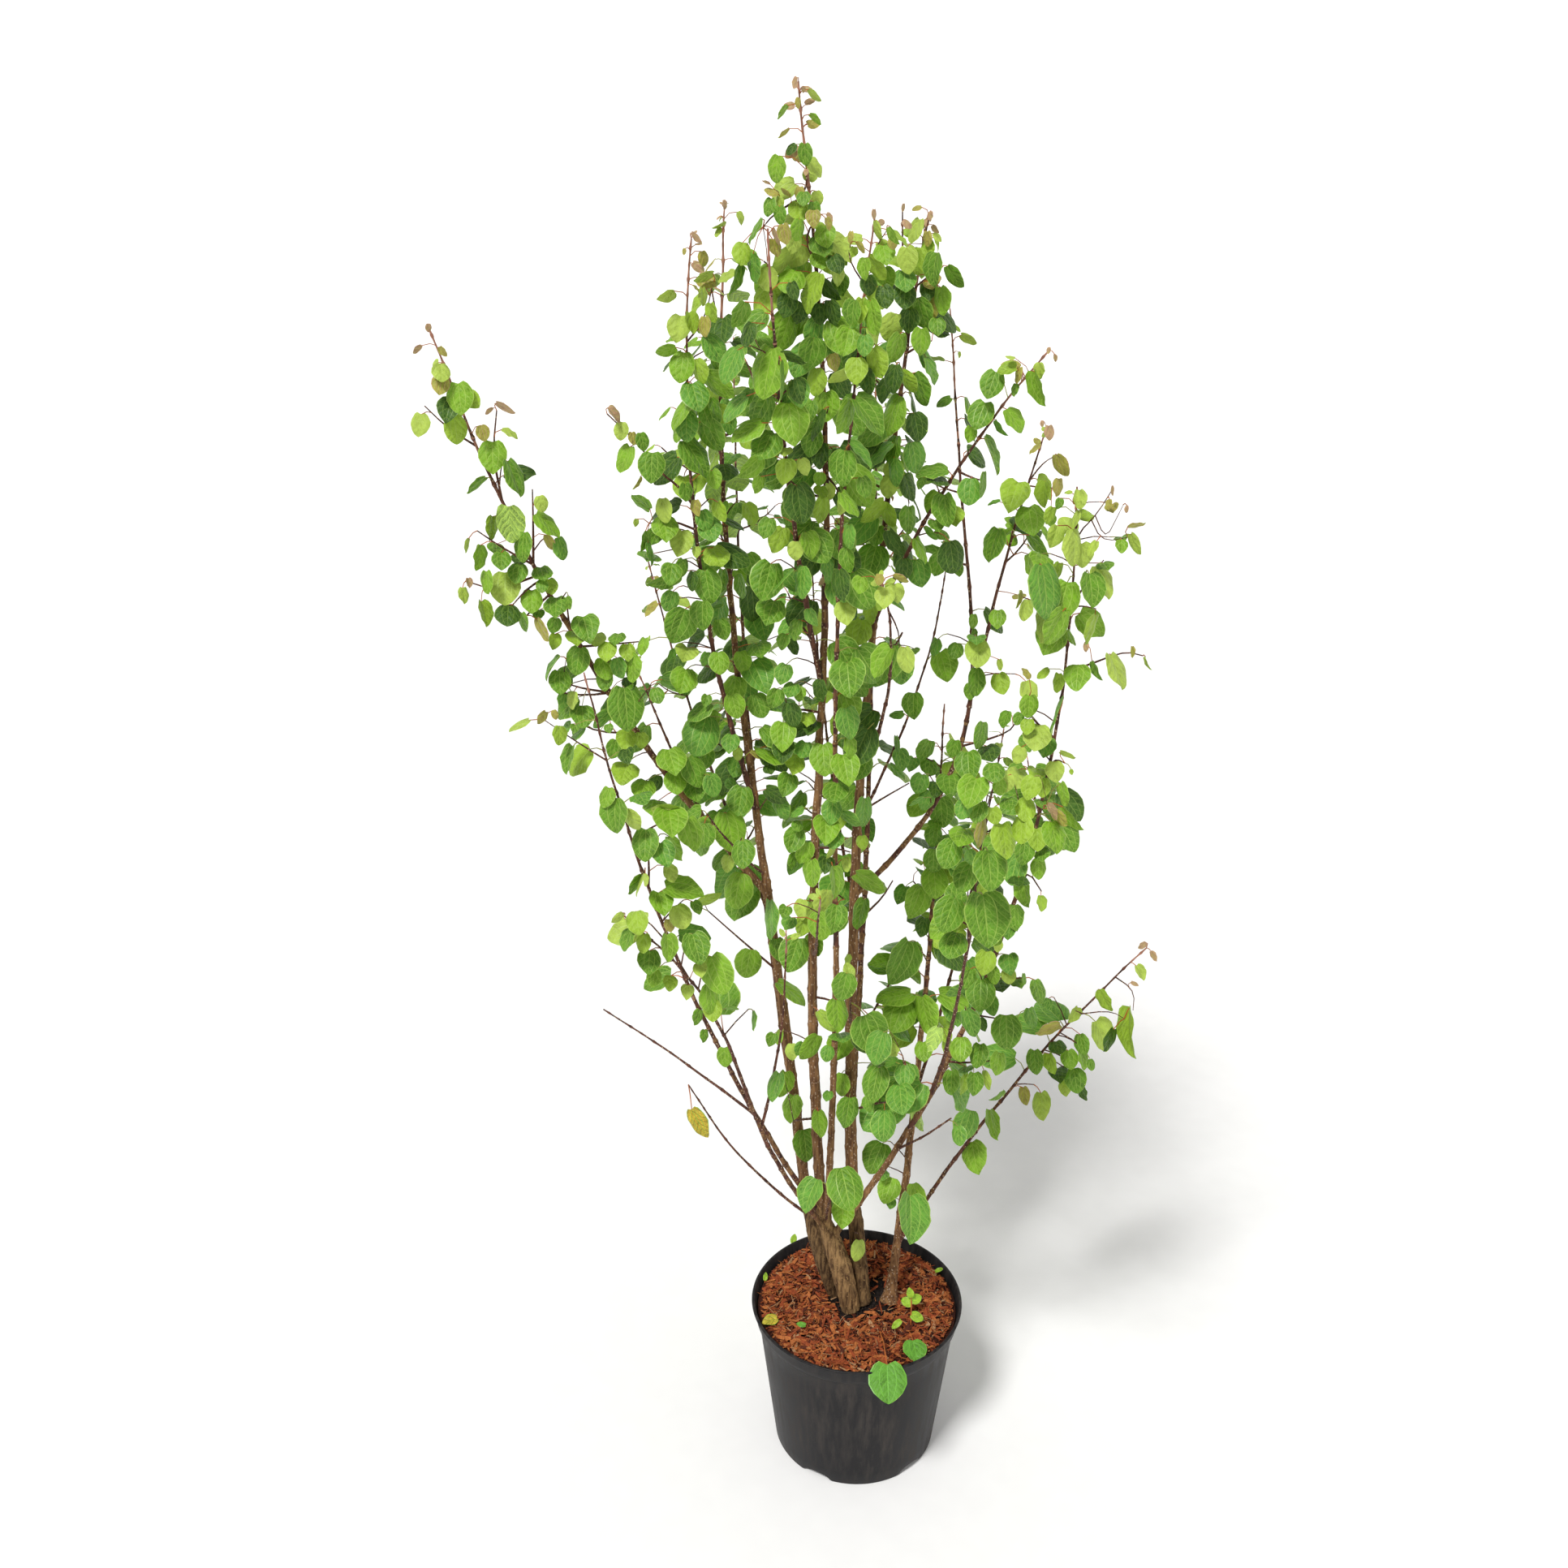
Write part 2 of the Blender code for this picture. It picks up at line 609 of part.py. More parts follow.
def leaf_direction(azimuth, normal):
    """A leaf leaves its stem sideways and hangs a little, within the plane of its face."""
    normal = normal.normalized()
    heading = azimuth + Vector((0, 0, -LEAF_HANG))
    flat = heading - normal * heading.dot(normal)
    if flat.length < LEAST_IN_FACE:
        flat = azimuth
    return flat.normalized()


class Mass:
    """The twigs and leaves of one leafy stretch, grown by a seeded rule and kept to its own space."""

    def __init__(self, shoot, space, axes, order):
        self.shoot = shoot
        self.space = space
        self.axes, self.owners = axes
        self.dice = random.Random(97 + order)
        self.shapes = []

    def own_space(self, point, root):
        """True where the point lies nearer this shoot's own axis than a neighbour's."""
        found = self.axes.find_n(point, AXIS_NEIGHBOURS)
        own = [distance for _, index, distance in found if self.owners[index] == self.shoot.name]
        others = [distance for _, index, distance in found if self.owners[index] != self.shoot.name]
        if not others:
            return True
        if not own:
            return (point - root).length < others[0] + NEIGHBOUR_SLACK
        return own[0] < others[0] + NEIGHBOUR_SLACK

    def leaf(self, root, azimuth, scale, carrier=None):
        """Tries a leaf, turned a little each time, and keeps the first that is clear."""
        stem = self.shoot.name
        for turn in TURNS_TRIED:
            heading = azimuth.copy()
            jitter = self.dice.uniform(-TURN_JITTER_DEG, TURN_JITTER_DEG)
            heading.rotate(Matrix.Rotation(math.radians(turn + jitter), 3, "Z"))
            length = leaf_length(root.z) * scale * self.dice.uniform(*LEAF_LENGTH_SPREAD)
            normal = leaf_facing(root, heading)
            normal += Vector([self.dice.uniform(-FACING_JITTER, FACING_JITTER) for _ in range(3)])
            along = leaf_direction(heading, normal)
            seat = root + along * ROOT_START
            middle = seat + along * (length * LEAF_RIDGE)
            if carrier and abs(along.dot(carrier)) > MOST_ALONG_STEM:
                continue
            if not self.own_space(middle, root):
                continue
            if self.space.hits(*leaf_shape(seat, along, normal, length, LEAF_CLEARANCE), own=stem):
                continue
            blade = leaf_shape(seat, along, normal, length, LEAF_CLEARANCE / 2, blade_only=True)
            if self.space.hits(*blade, own=stem, only_own=True):
                continue
            shape = leaf_shape(seat, along, normal, length)
            if self.space.hits(*shape, own=stem):
                continue
            self.shapes.append(shape)
            self.space.add(stem, *shape)
            return True
        return False

    def twig(self, root, azimuth, scale):
        """A short three-sided side twig with a pair of leaves and one at its end."""
        length = TWIG_LENGTH * scale * self.dice.uniform(*TWIG_LENGTH_SPREAD)
        heading = (azimuth + Vector((0, 0, TWIG_RISE))).normalized()
        middle = root + heading * (length * 0.55) + Vector((0, 0, -TWIG_SAG))
        end = root + heading * length
        shape = tube([root, middle, end], [TWIG_RADIUS, TWIG_RADIUS * 0.85, TWIG_RADIUS * 0.7], TWIG_SIDES)
        clear = root.lerp(end, TWIG_CLEAR_FROM)
        probe = tube([clear, middle, end], [TWIG_RADIUS + LEAF_CLEARANCE] * 3, TWIG_SIDES)
        stem = self.shoot.name
        if not self.own_space(end, root) or self.space.hits(*probe, own=stem):
            return False
        if self.space.hits(*probe, own=stem, only_own=True):
            return False
        self.shapes.append(shape)
        self.space.add(stem, *shape)
        side = heading.cross(Vector((0, 0, 1))).normalized()
        self.leaf(middle, (side + heading * 0.4).normalized(), scale * TWIG_LEAF_SHARE, heading)
        self.leaf(middle, (heading * 0.4 - side).normalized(), scale * TWIG_LEAF_SHARE, heading)
        self.leaf(end - heading * ROOT_SINK, heading, scale * TWIG_END_SHARE)
        return True

    def grow(self):
        """Opposite pairs up the stem, each pair a quarter turn on from the last."""
        shoot = self.shoot
        length = axis_length(shoot)
        low = shoot.leafy + (FIRST_NODE if shoot.leafy else SIDE_FIRST_NODE) / length
        count = max(2, round((1 - low) * length / NODE_SPACING) + 1)
        first = self.dice.uniform(0, 360)
        for k in range(count):
            t = low + (1 - low) * k / (count - 1)
            last = k == count - 1
            point = axis_point(shoot, min(t, 1 - ROOT_SINK / length))
            tangent = axis_tangent(shoot, t)
            side = tangent.orthogonal().normalized()
            across = tangent.cross(side)
            scale = min(1.0, YOUNG_SHARE + (1 - t) * length / YOUNG_STRETCH)
            for half in (0, 180):
                jitter = self.dice.uniform(-PAIR_JITTER_DEG, PAIR_JITTER_DEG)
                angle = math.radians(first + 90 * k + half + jitter)
                azimuth = side * math.cos(angle) + across * math.sin(angle)
                wants_twig = self.dice.random() < TWIG_CHANCE and not last and length > TWIG_BEARER_LENGTH
                if wants_twig and self.twig(point, azimuth, scale):
                    continue
                self.leaf(point, azimuth, scale, tangent)
            if last:
                self.leaf(point, tangent, scale)


def axis_samples():
    """Points along every axis in a search tree, with the name of the shoot that each belongs to."""
    points = []
    owners = []
    for shoot in LOBES + SHOOTS:
        count = max(3, round(axis_length(shoot) / AXIS_SPACING))
        for k in range(count + 1):
            points.append(axis_point(shoot, k / count))
            owners.append(shoot.name)
    tree = KDTree(len(points))
    for index, point in enumerate(points):
        tree.insert(point, index)
    tree.balance()
    return tree, owners


def cut_clear(obj, shoot, made):
    """Cuts a limb back from every limb made before it that it meets, 0.3 mm clear."""
    for other, low, high, sides in made:
        if other is shoot:
            continue
        swell = GAP / math.cos(math.pi / sides)
        vertices, faces = shoot_tube(other, low, high, sides, swell)
        own = as_tree([v.co for v in obj.data.vertices], [tuple(p.vertices) for p in obj.data.polygons])
        if not own.overlap(as_tree(vertices, faces)):
            continue
        cutter = add_object("seat_cutter", vertices, faces, "bark")
        boolean(obj, "DIFFERENCE", operand=cutter)
        remove([cutter])


def smooth(obj):
    obj.data.shade_smooth()
    obj.data.set_sharp_from_angle(angle=math.radians(60))


def add_trunk(made):
    """The stool: three lobes fused into one solid, with a flat cut on the mulch."""
    lobes = []
    for shoot in LOBES:
        vertices, faces = shoot_tube(shoot, 0, 1, LOBE_SIDES)
        lobes.append(add_object(shoot.name, vertices, faces, "bark"))
        made.append((shoot, 0, 1, LOBE_SIDES))
    trunk = lobes[0]
    trunk.name = "trunk"
    fuse(trunk, lobes[1:])
    smooth(trunk)
    return trunk


def main():
    clear_scene()
    pot = add_pot()
    soil = add_soil()
    made = []
    add_trunk(made)
    space = Space()
    for obj in (pot, soil):
        space.add(obj.name, [v.co for v in obj.data.vertices], [tuple(p.vertices) for p in obj.data.polygons])
    for shoot in LOBES:
        space.add(shoot.name, *shoot_tube(shoot, 0, 1, LOBE_SIDES, LEAF_CLEARANCE))
    stems = {}
    for shoot in SHOOTS:
        if shoot.leafy > 0:
            vertices, faces = shoot_tube(shoot, 0, shoot.leafy, BOUGH_SIDES)
            bough = add_object(shoot.name, vertices, faces, "bark")
            cut_clear(bough, shoot, made)
            smooth(bough)
            made.append((shoot, 0, shoot.leafy, BOUGH_SIDES))
            space.add(shoot.name, *shoot_tube(shoot, 0, shoot.leafy, BOUGH_SIDES, LEAF_CLEARANCE))
        if shoot.leafy < 1:
            low = shoot.leafy + (GAP / axis_length(shoot) if shoot.leafy else 0)
            vertices, faces = shoot_tube(shoot, low, 1, STEM_SIDES)
            stem = add_object(shoot.name + "_leaves", vertices, faces, "leaves")
            cut_clear(stem, shoot, made)
            made.append((shoot, low, 1, STEM_SIDES))
            space.add(shoot.name, *shoot_tube(shoot, low, 1, STEM_SIDES, LEAF_CLEARANCE))
            stems[shoot.name] = stem
    axes = axis_samples()
    for order, shoot in enumerate(s for s in SHOOTS if s.leafy < 1):
        mass = Mass(shoot, space, axes, order)
        mass.grow()
        pieces = [add_object("piece", *shape, "leaves") for shape in mass.shapes]
        fuse(stems[shoot.name], pieces)


main()
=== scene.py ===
"""Looks of a potted katsura, laid out as a Blender add-on and run as a script.

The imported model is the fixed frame. Around it come the bark of the stool and its stems, the side
twigs, the stalks and blades of the leaves, the pot, the mulch and what lies on the mulch.
Metres, +Z up, origin at the centre of the pot's flat underside, viewer on the -Y side.
"""
import json
import math
import random
from collections import namedtuple

import bpy
import numpy as np
from bpy.props import FloatProperty, FloatVectorProperty, IntProperty, PointerProperty
from mathutils import Matrix, Vector, noise
from mathutils.bvhtree import BVHTree
from mathutils.kdtree import KDTree

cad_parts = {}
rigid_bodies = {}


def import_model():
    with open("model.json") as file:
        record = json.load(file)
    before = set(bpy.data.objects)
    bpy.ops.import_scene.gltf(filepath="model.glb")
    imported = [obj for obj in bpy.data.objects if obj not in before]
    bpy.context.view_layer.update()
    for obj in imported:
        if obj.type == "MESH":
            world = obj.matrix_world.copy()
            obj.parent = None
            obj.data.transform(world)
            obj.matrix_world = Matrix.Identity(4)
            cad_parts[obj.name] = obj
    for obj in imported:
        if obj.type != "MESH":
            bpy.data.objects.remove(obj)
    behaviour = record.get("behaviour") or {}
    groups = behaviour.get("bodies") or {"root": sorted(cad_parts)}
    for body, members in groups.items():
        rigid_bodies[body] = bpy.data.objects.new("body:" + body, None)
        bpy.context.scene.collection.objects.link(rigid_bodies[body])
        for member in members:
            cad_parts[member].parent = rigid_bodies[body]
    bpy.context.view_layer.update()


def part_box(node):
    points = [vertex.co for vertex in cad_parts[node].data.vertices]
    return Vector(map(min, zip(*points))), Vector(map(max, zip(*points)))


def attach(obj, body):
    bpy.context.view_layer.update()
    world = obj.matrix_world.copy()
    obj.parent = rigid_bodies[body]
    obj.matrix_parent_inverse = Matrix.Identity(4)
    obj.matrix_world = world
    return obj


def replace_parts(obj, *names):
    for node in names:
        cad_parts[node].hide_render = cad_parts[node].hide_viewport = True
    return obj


bl_info = {
    "name": "Potted Katsura",
    "version": (1, 0, 0),
    "blender": (4, 5, 0),
    "location": "3D View > Sidebar > Katsura",
    "description": "Dresses the frame of a potted katsura in bark, leaves, pot and mulch",
    "category": "Object",
}

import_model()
POT_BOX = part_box("pot")
SOIL_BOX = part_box("soil")
MM = 0.001

# The pot, as the frame has it
POT_HEIGHT = POT_BOX[1].z
POT_RIM_RADIUS = POT_BOX[1].x
POT_BASE_RADIUS = 0.108
POT_WALL = 0.0022
POT_FLOOR = 0.0030
COLLAR_HEIGHT = 0.024
COLLAR_STEP = 0.0035
COLLAR_FOOT_RADIUS = 0.1345
LIP_HEIGHT = 0.0035
LIP_STAND = 0.0018
DRAIN_COUNT = 5
DRAIN_FIRST_DEG = -120.0
DRAIN_WIDTH = 0.040
DRAIN_HEIGHT = 0.009
DRAIN_DEPTH = 0.010

# The soil with its mulch
SOIL_CREST_Z = SOIL_BOX[1].z
SOIL_FOOT_Z = SOIL_CREST_Z - 0.0070
SOIL_EDGE_Z = SOIL_CREST_Z - 0.0035
SOIL_FLAT_RADIUS = 0.060
SOIL_CREST_RADIUS = 0.095
SOIL_EDGE_RADIUS = COLLAR_FOOT_RADIUS - POT_WALL
HOLLOW_CENTRE = (0.007, 0.016)
HOLLOW_RADII = (0.047, 0.040)

# Limbs
GAP = 0.0003
HEAD_Z = 0.350
TIP_RADIUS = 0.0008
FOOT_FLARE = 0.0035
FLARE_REACH = 0.022
WAVER = 0.0016
WAVER_LENGTH = 0.060

# The studio floor: flat to this radius, then bent up into a wall
COVE_FLAT = 5.0
COVE_BEND = 4.0

# The middle of the crown, which the leaves turn away from
CROWN_CENTRE = (-0.05, 0.06)

Shoot = namedtuple("Shoot", "name parent root tip bow wave base leafy")
NONE = (0.0, 0.0, 0.0)

# The stool: each lobe runs from the mulch to the head where its stem carries on
LOBES = (
    Shoot("front_lobe", None, (-0.008, -0.003), (-0.048, 0.014, HEAD_Z), (0.004, -0.006, 0), NONE,
          (0.0092, 0.0128, 0.0080), None),
    Shoot("left_lobe", None, (-0.026, 0.028), (-0.067, 0.038, HEAD_Z), (0.000, -0.014, 0), NONE,
          (0.0092, 0.0112, 0.0078), None),
    Shoot("right_lobe", None, (0.005, 0.012), (-0.006, 0.026, HEAD_Z), (0.003, 0.001, 0), NONE,
          (0.0120, 0.0105, 0.0090), None),
)

# How light the bark of each lobe is
LOBE_TINTS = (1.12, 0.62, 0.74)

# name, parent, where it leaves the parent, tip, bow, second wave, foot diameter, leafy from
SHOOTS = (
    Shoot("leader_stem", "front_lobe", 1, (-0.083, 0.000, 1.712), (0.010, 0.002, 0), (-0.013, 0, 0), 0.0145, 0.60),
    Shoot("front_stem", "right_lobe", 1, (0.057, 0.120, 1.582), (-0.030, -0.010, 0), NONE, 0.0170, 0.70),
    Shoot("left_stem", "left_lobe", 1, (-0.164, 0.220, 1.579), (-0.026, -0.012, 0), (0.009, 0, 0), 0.0145, 0.46),
    Shoot("right_stem", "soil", (0.045, 0.012), (0.107, 0.220, 0.984), (0.009, -0.006, 0), NONE, 0.0120, 0.52),
    Shoot("middle_stem", "front_lobe", 0.86, (-0.010, -0.060, 1.592), (-0.014, -0.010, 0), (0.008, 0, 0),
          0.0095, 0.58),
    Shoot("right_arm", "front_lobe", 0.76, (0.190, -0.140, 1.348), (0.080, 0.006, -0.022), NONE, 0.0090, 0.56),
    Shoot("left_arm", "front_lobe", 0.93, (-0.307, -0.100, 1.141), (-0.034, 0.000, -0.014), NONE, 0.0075, 0.30),
    Shoot("low_left_arm", "front_lobe", 0.80, (-0.260, -0.240, 0.925), (0.002, 0.012, 0.012), (-0.013, 0, -0.010),
          0.0070, 0.52),
    Shoot("bare_low_twig", "left_lobe", 0.86, (-0.221, 0.060, 0.518), (-0.011, 0.010, -0.018), NONE, 0.0042, 1),
    Shoot("low_right_arm", "right_stem", 0.10, (0.347, 0.030, 0.737), (-0.012, 0.010, 0.007), NONE, 0.0060, 0.42),
    Shoot("far_left_arm", "left_stem", 0.35, (-0.462, 0.000, 1.481), (-0.037, 0.004, -0.017), NONE, 0.0100, 0.20),
    Shoot("left_fork", "left_stem", 0.44, (-0.192, 0.030, 1.564), (-0.032, 0.006, -0.006), NONE, 0.0070, 0),
    Shoot("crossing_stem", "leader_stem", 0.535, (-0.113, -0.130, 1.599), (-0.010, 0.004, 0), NONE, 0.0070, 0),
    Shoot("right_whip", "front_stem", 0.365, (0.088, 0.160, 1.479), (0.086, 0.002, -0.025), (0.023, 0, -0.008),
          0.0070, 0.44),
    Shoot("right_fork", "right_whip", 0.38, (0.193, 0.090, 1.361), (-0.007, -0.016, 0.002), NONE, 0.0050, 0),
    Shoot("upper_right_arm", "front_stem", 0.64, (0.170, -0.040, 1.464), (-0.012, -0.006, 0.009), NONE, 0.0055, 0),
    Shoot("curved_shoot", "front_stem", 0.49, (-0.001, -0.160, 1.259), (0.021, -0.005, 0.005), NONE, 0.0050, 0),
    Shoot("thin_twig", "front_stem", 0.44, (0.095, 0.150, 1.178), (0.014, 0, -0.005), NONE, 0.0038, 1),
    Shoot("low_left_side", "low_left_arm", 0.36, (-0.095, -0.050, 0.801), (0.009, 0.001, -0.002), NONE, 0.0040, 0),
    Shoot("bare_left_twig", "left_arm", 0.24, (-0.326, 0.060, 0.632), (0, 0.006, 0), NONE, 0.0038, 1),
    Shoot("far_left_side", "far_left_arm", 0.16, (-0.277, 0.170, 1.047), (-0.003, 0.010, -0.003), NONE, 0.0045, 0),
    Shoot("back_left_stem", "left_stem", 0.10, (-0.158, 0.330, 1.419), (-0.020, 0.020, -0.030), NONE, 0.0090, 0.42),
    Shoot("back_right_stem", "front_stem", 0.10, (0.016, 0.330, 1.438), (0.010, 0.020, -0.030), NONE, 0.0090, 0.42),
    Shoot("back_left_shoot", "back_left_stem", 0.30, (-0.270, 0.300, 1.150), (-0.010, 0.010, -0.010), NONE,
          0.0050, 0),
    Shoot("back_low_shoot", "back_right_stem", 0.26, (-0.060, 0.400, 1.130), (-0.010, 0.010, -0.020), NONE,
          0.0050, 0),
    Shoot("back_right_shoot", "right_stem", 0.36, (0.196, 0.300, 0.920), (0.010, 0.010, -0.010), NONE, 0.0050, 0),
    Shoot("front_low_shoot", "leader_stem", 0.29, (-0.060, -0.230, 0.940), (0, -0.010, -0.020), NONE, 0.0045, 0),
    Shoot("front_middle_shoot", "middle_stem", 0.42, (-0.041, -0.260, 1.200), (0, -0.010, -0.020), NONE, 0.0045, 0),
    Shoot("front_high_shoot", "middle_stem", 0.55, (-0.049, -0.220, 1.366), (0, -0.010, -0.015), NONE, 0.0045, 0),
    Shoot("right_cluster", "right_arm", 0.26, (0.096, -0.290, 1.060), (0.005, -0.010, -0.020), NONE, 0.0055, 0),
    Shoot("foot_spur_front", "front_lobe", 0.90, (-0.035, -0.100, 0.495), (0, 0, 0.004), NONE, 0.0035, 0),
    Shoot("foot_spur_left", "leader_stem", 0.11, (-0.085, -0.080, 0.560), (0, 0, 0), NONE, 0.0035, 0),
    Shoot("foot_spur_right", "front_stem", 0.12, (0.035, -0.080, 0.590), (0, 0, 0), NONE, 0.0035, 0),
    Shoot("foot_spur_rim", "right_stem", 0.14, (0.066, -0.070, 0.400), (0, 0, 0), NONE, 0.0032, 0),
    Shoot("stem_spur_low", "front_stem", 0.22, (-0.020, -0.070, 0.745), (0, 0, -0.005), NONE, 0.0035, 0),
    Shoot("stem_spur_right", "right_stem", 0.34, (0.045, -0.060, 0.640), (0, 0, -0.005), NONE, 0.0035, 0),
    Shoot("arm_spur_right", "right_arm", 0.16, (0.118, -0.090, 0.585), (0, 0, -0.004), NONE, 0.0035, 0),
    Shoot("arm_spur_low", "low_right_arm", 0.26, (0.165, -0.050, 0.470), (0, 0, 0), NONE, 0.0032, 0),
    Shoot("stem_spur_left", "left_stem", 0.37, (-0.190, 0.010, 0.930), (0, 0, -0.006), NONE, 0.0035, 0),
    Shoot("stem_spur_high", "front_stem", 0.58, (0.045, -0.010, 1.180), (0, 0, -0.006), NONE, 0.0035, 0),
    Shoot("back_spur_low", "back_right_stem", 0.12, (0.060, 0.170, 0.640), (0, 0, -0.006), NONE, 0.0035, 0),
    Shoot("rim_sucker", "soil", (0.050, -0.082), (0.046, -0.128, 0.262), (0, 0.004, 0.006), NONE, 0.0030, 0),
)


# The camera of the photograph, and its focal length in the picture's own pixels
CAMERA_PLACE = (-0.097, -1.715, 1.716)
CAMERA_PITCH_DEG = 66.47
PICTURE_SIZE = 1932
FOCAL_PX = 2000.0

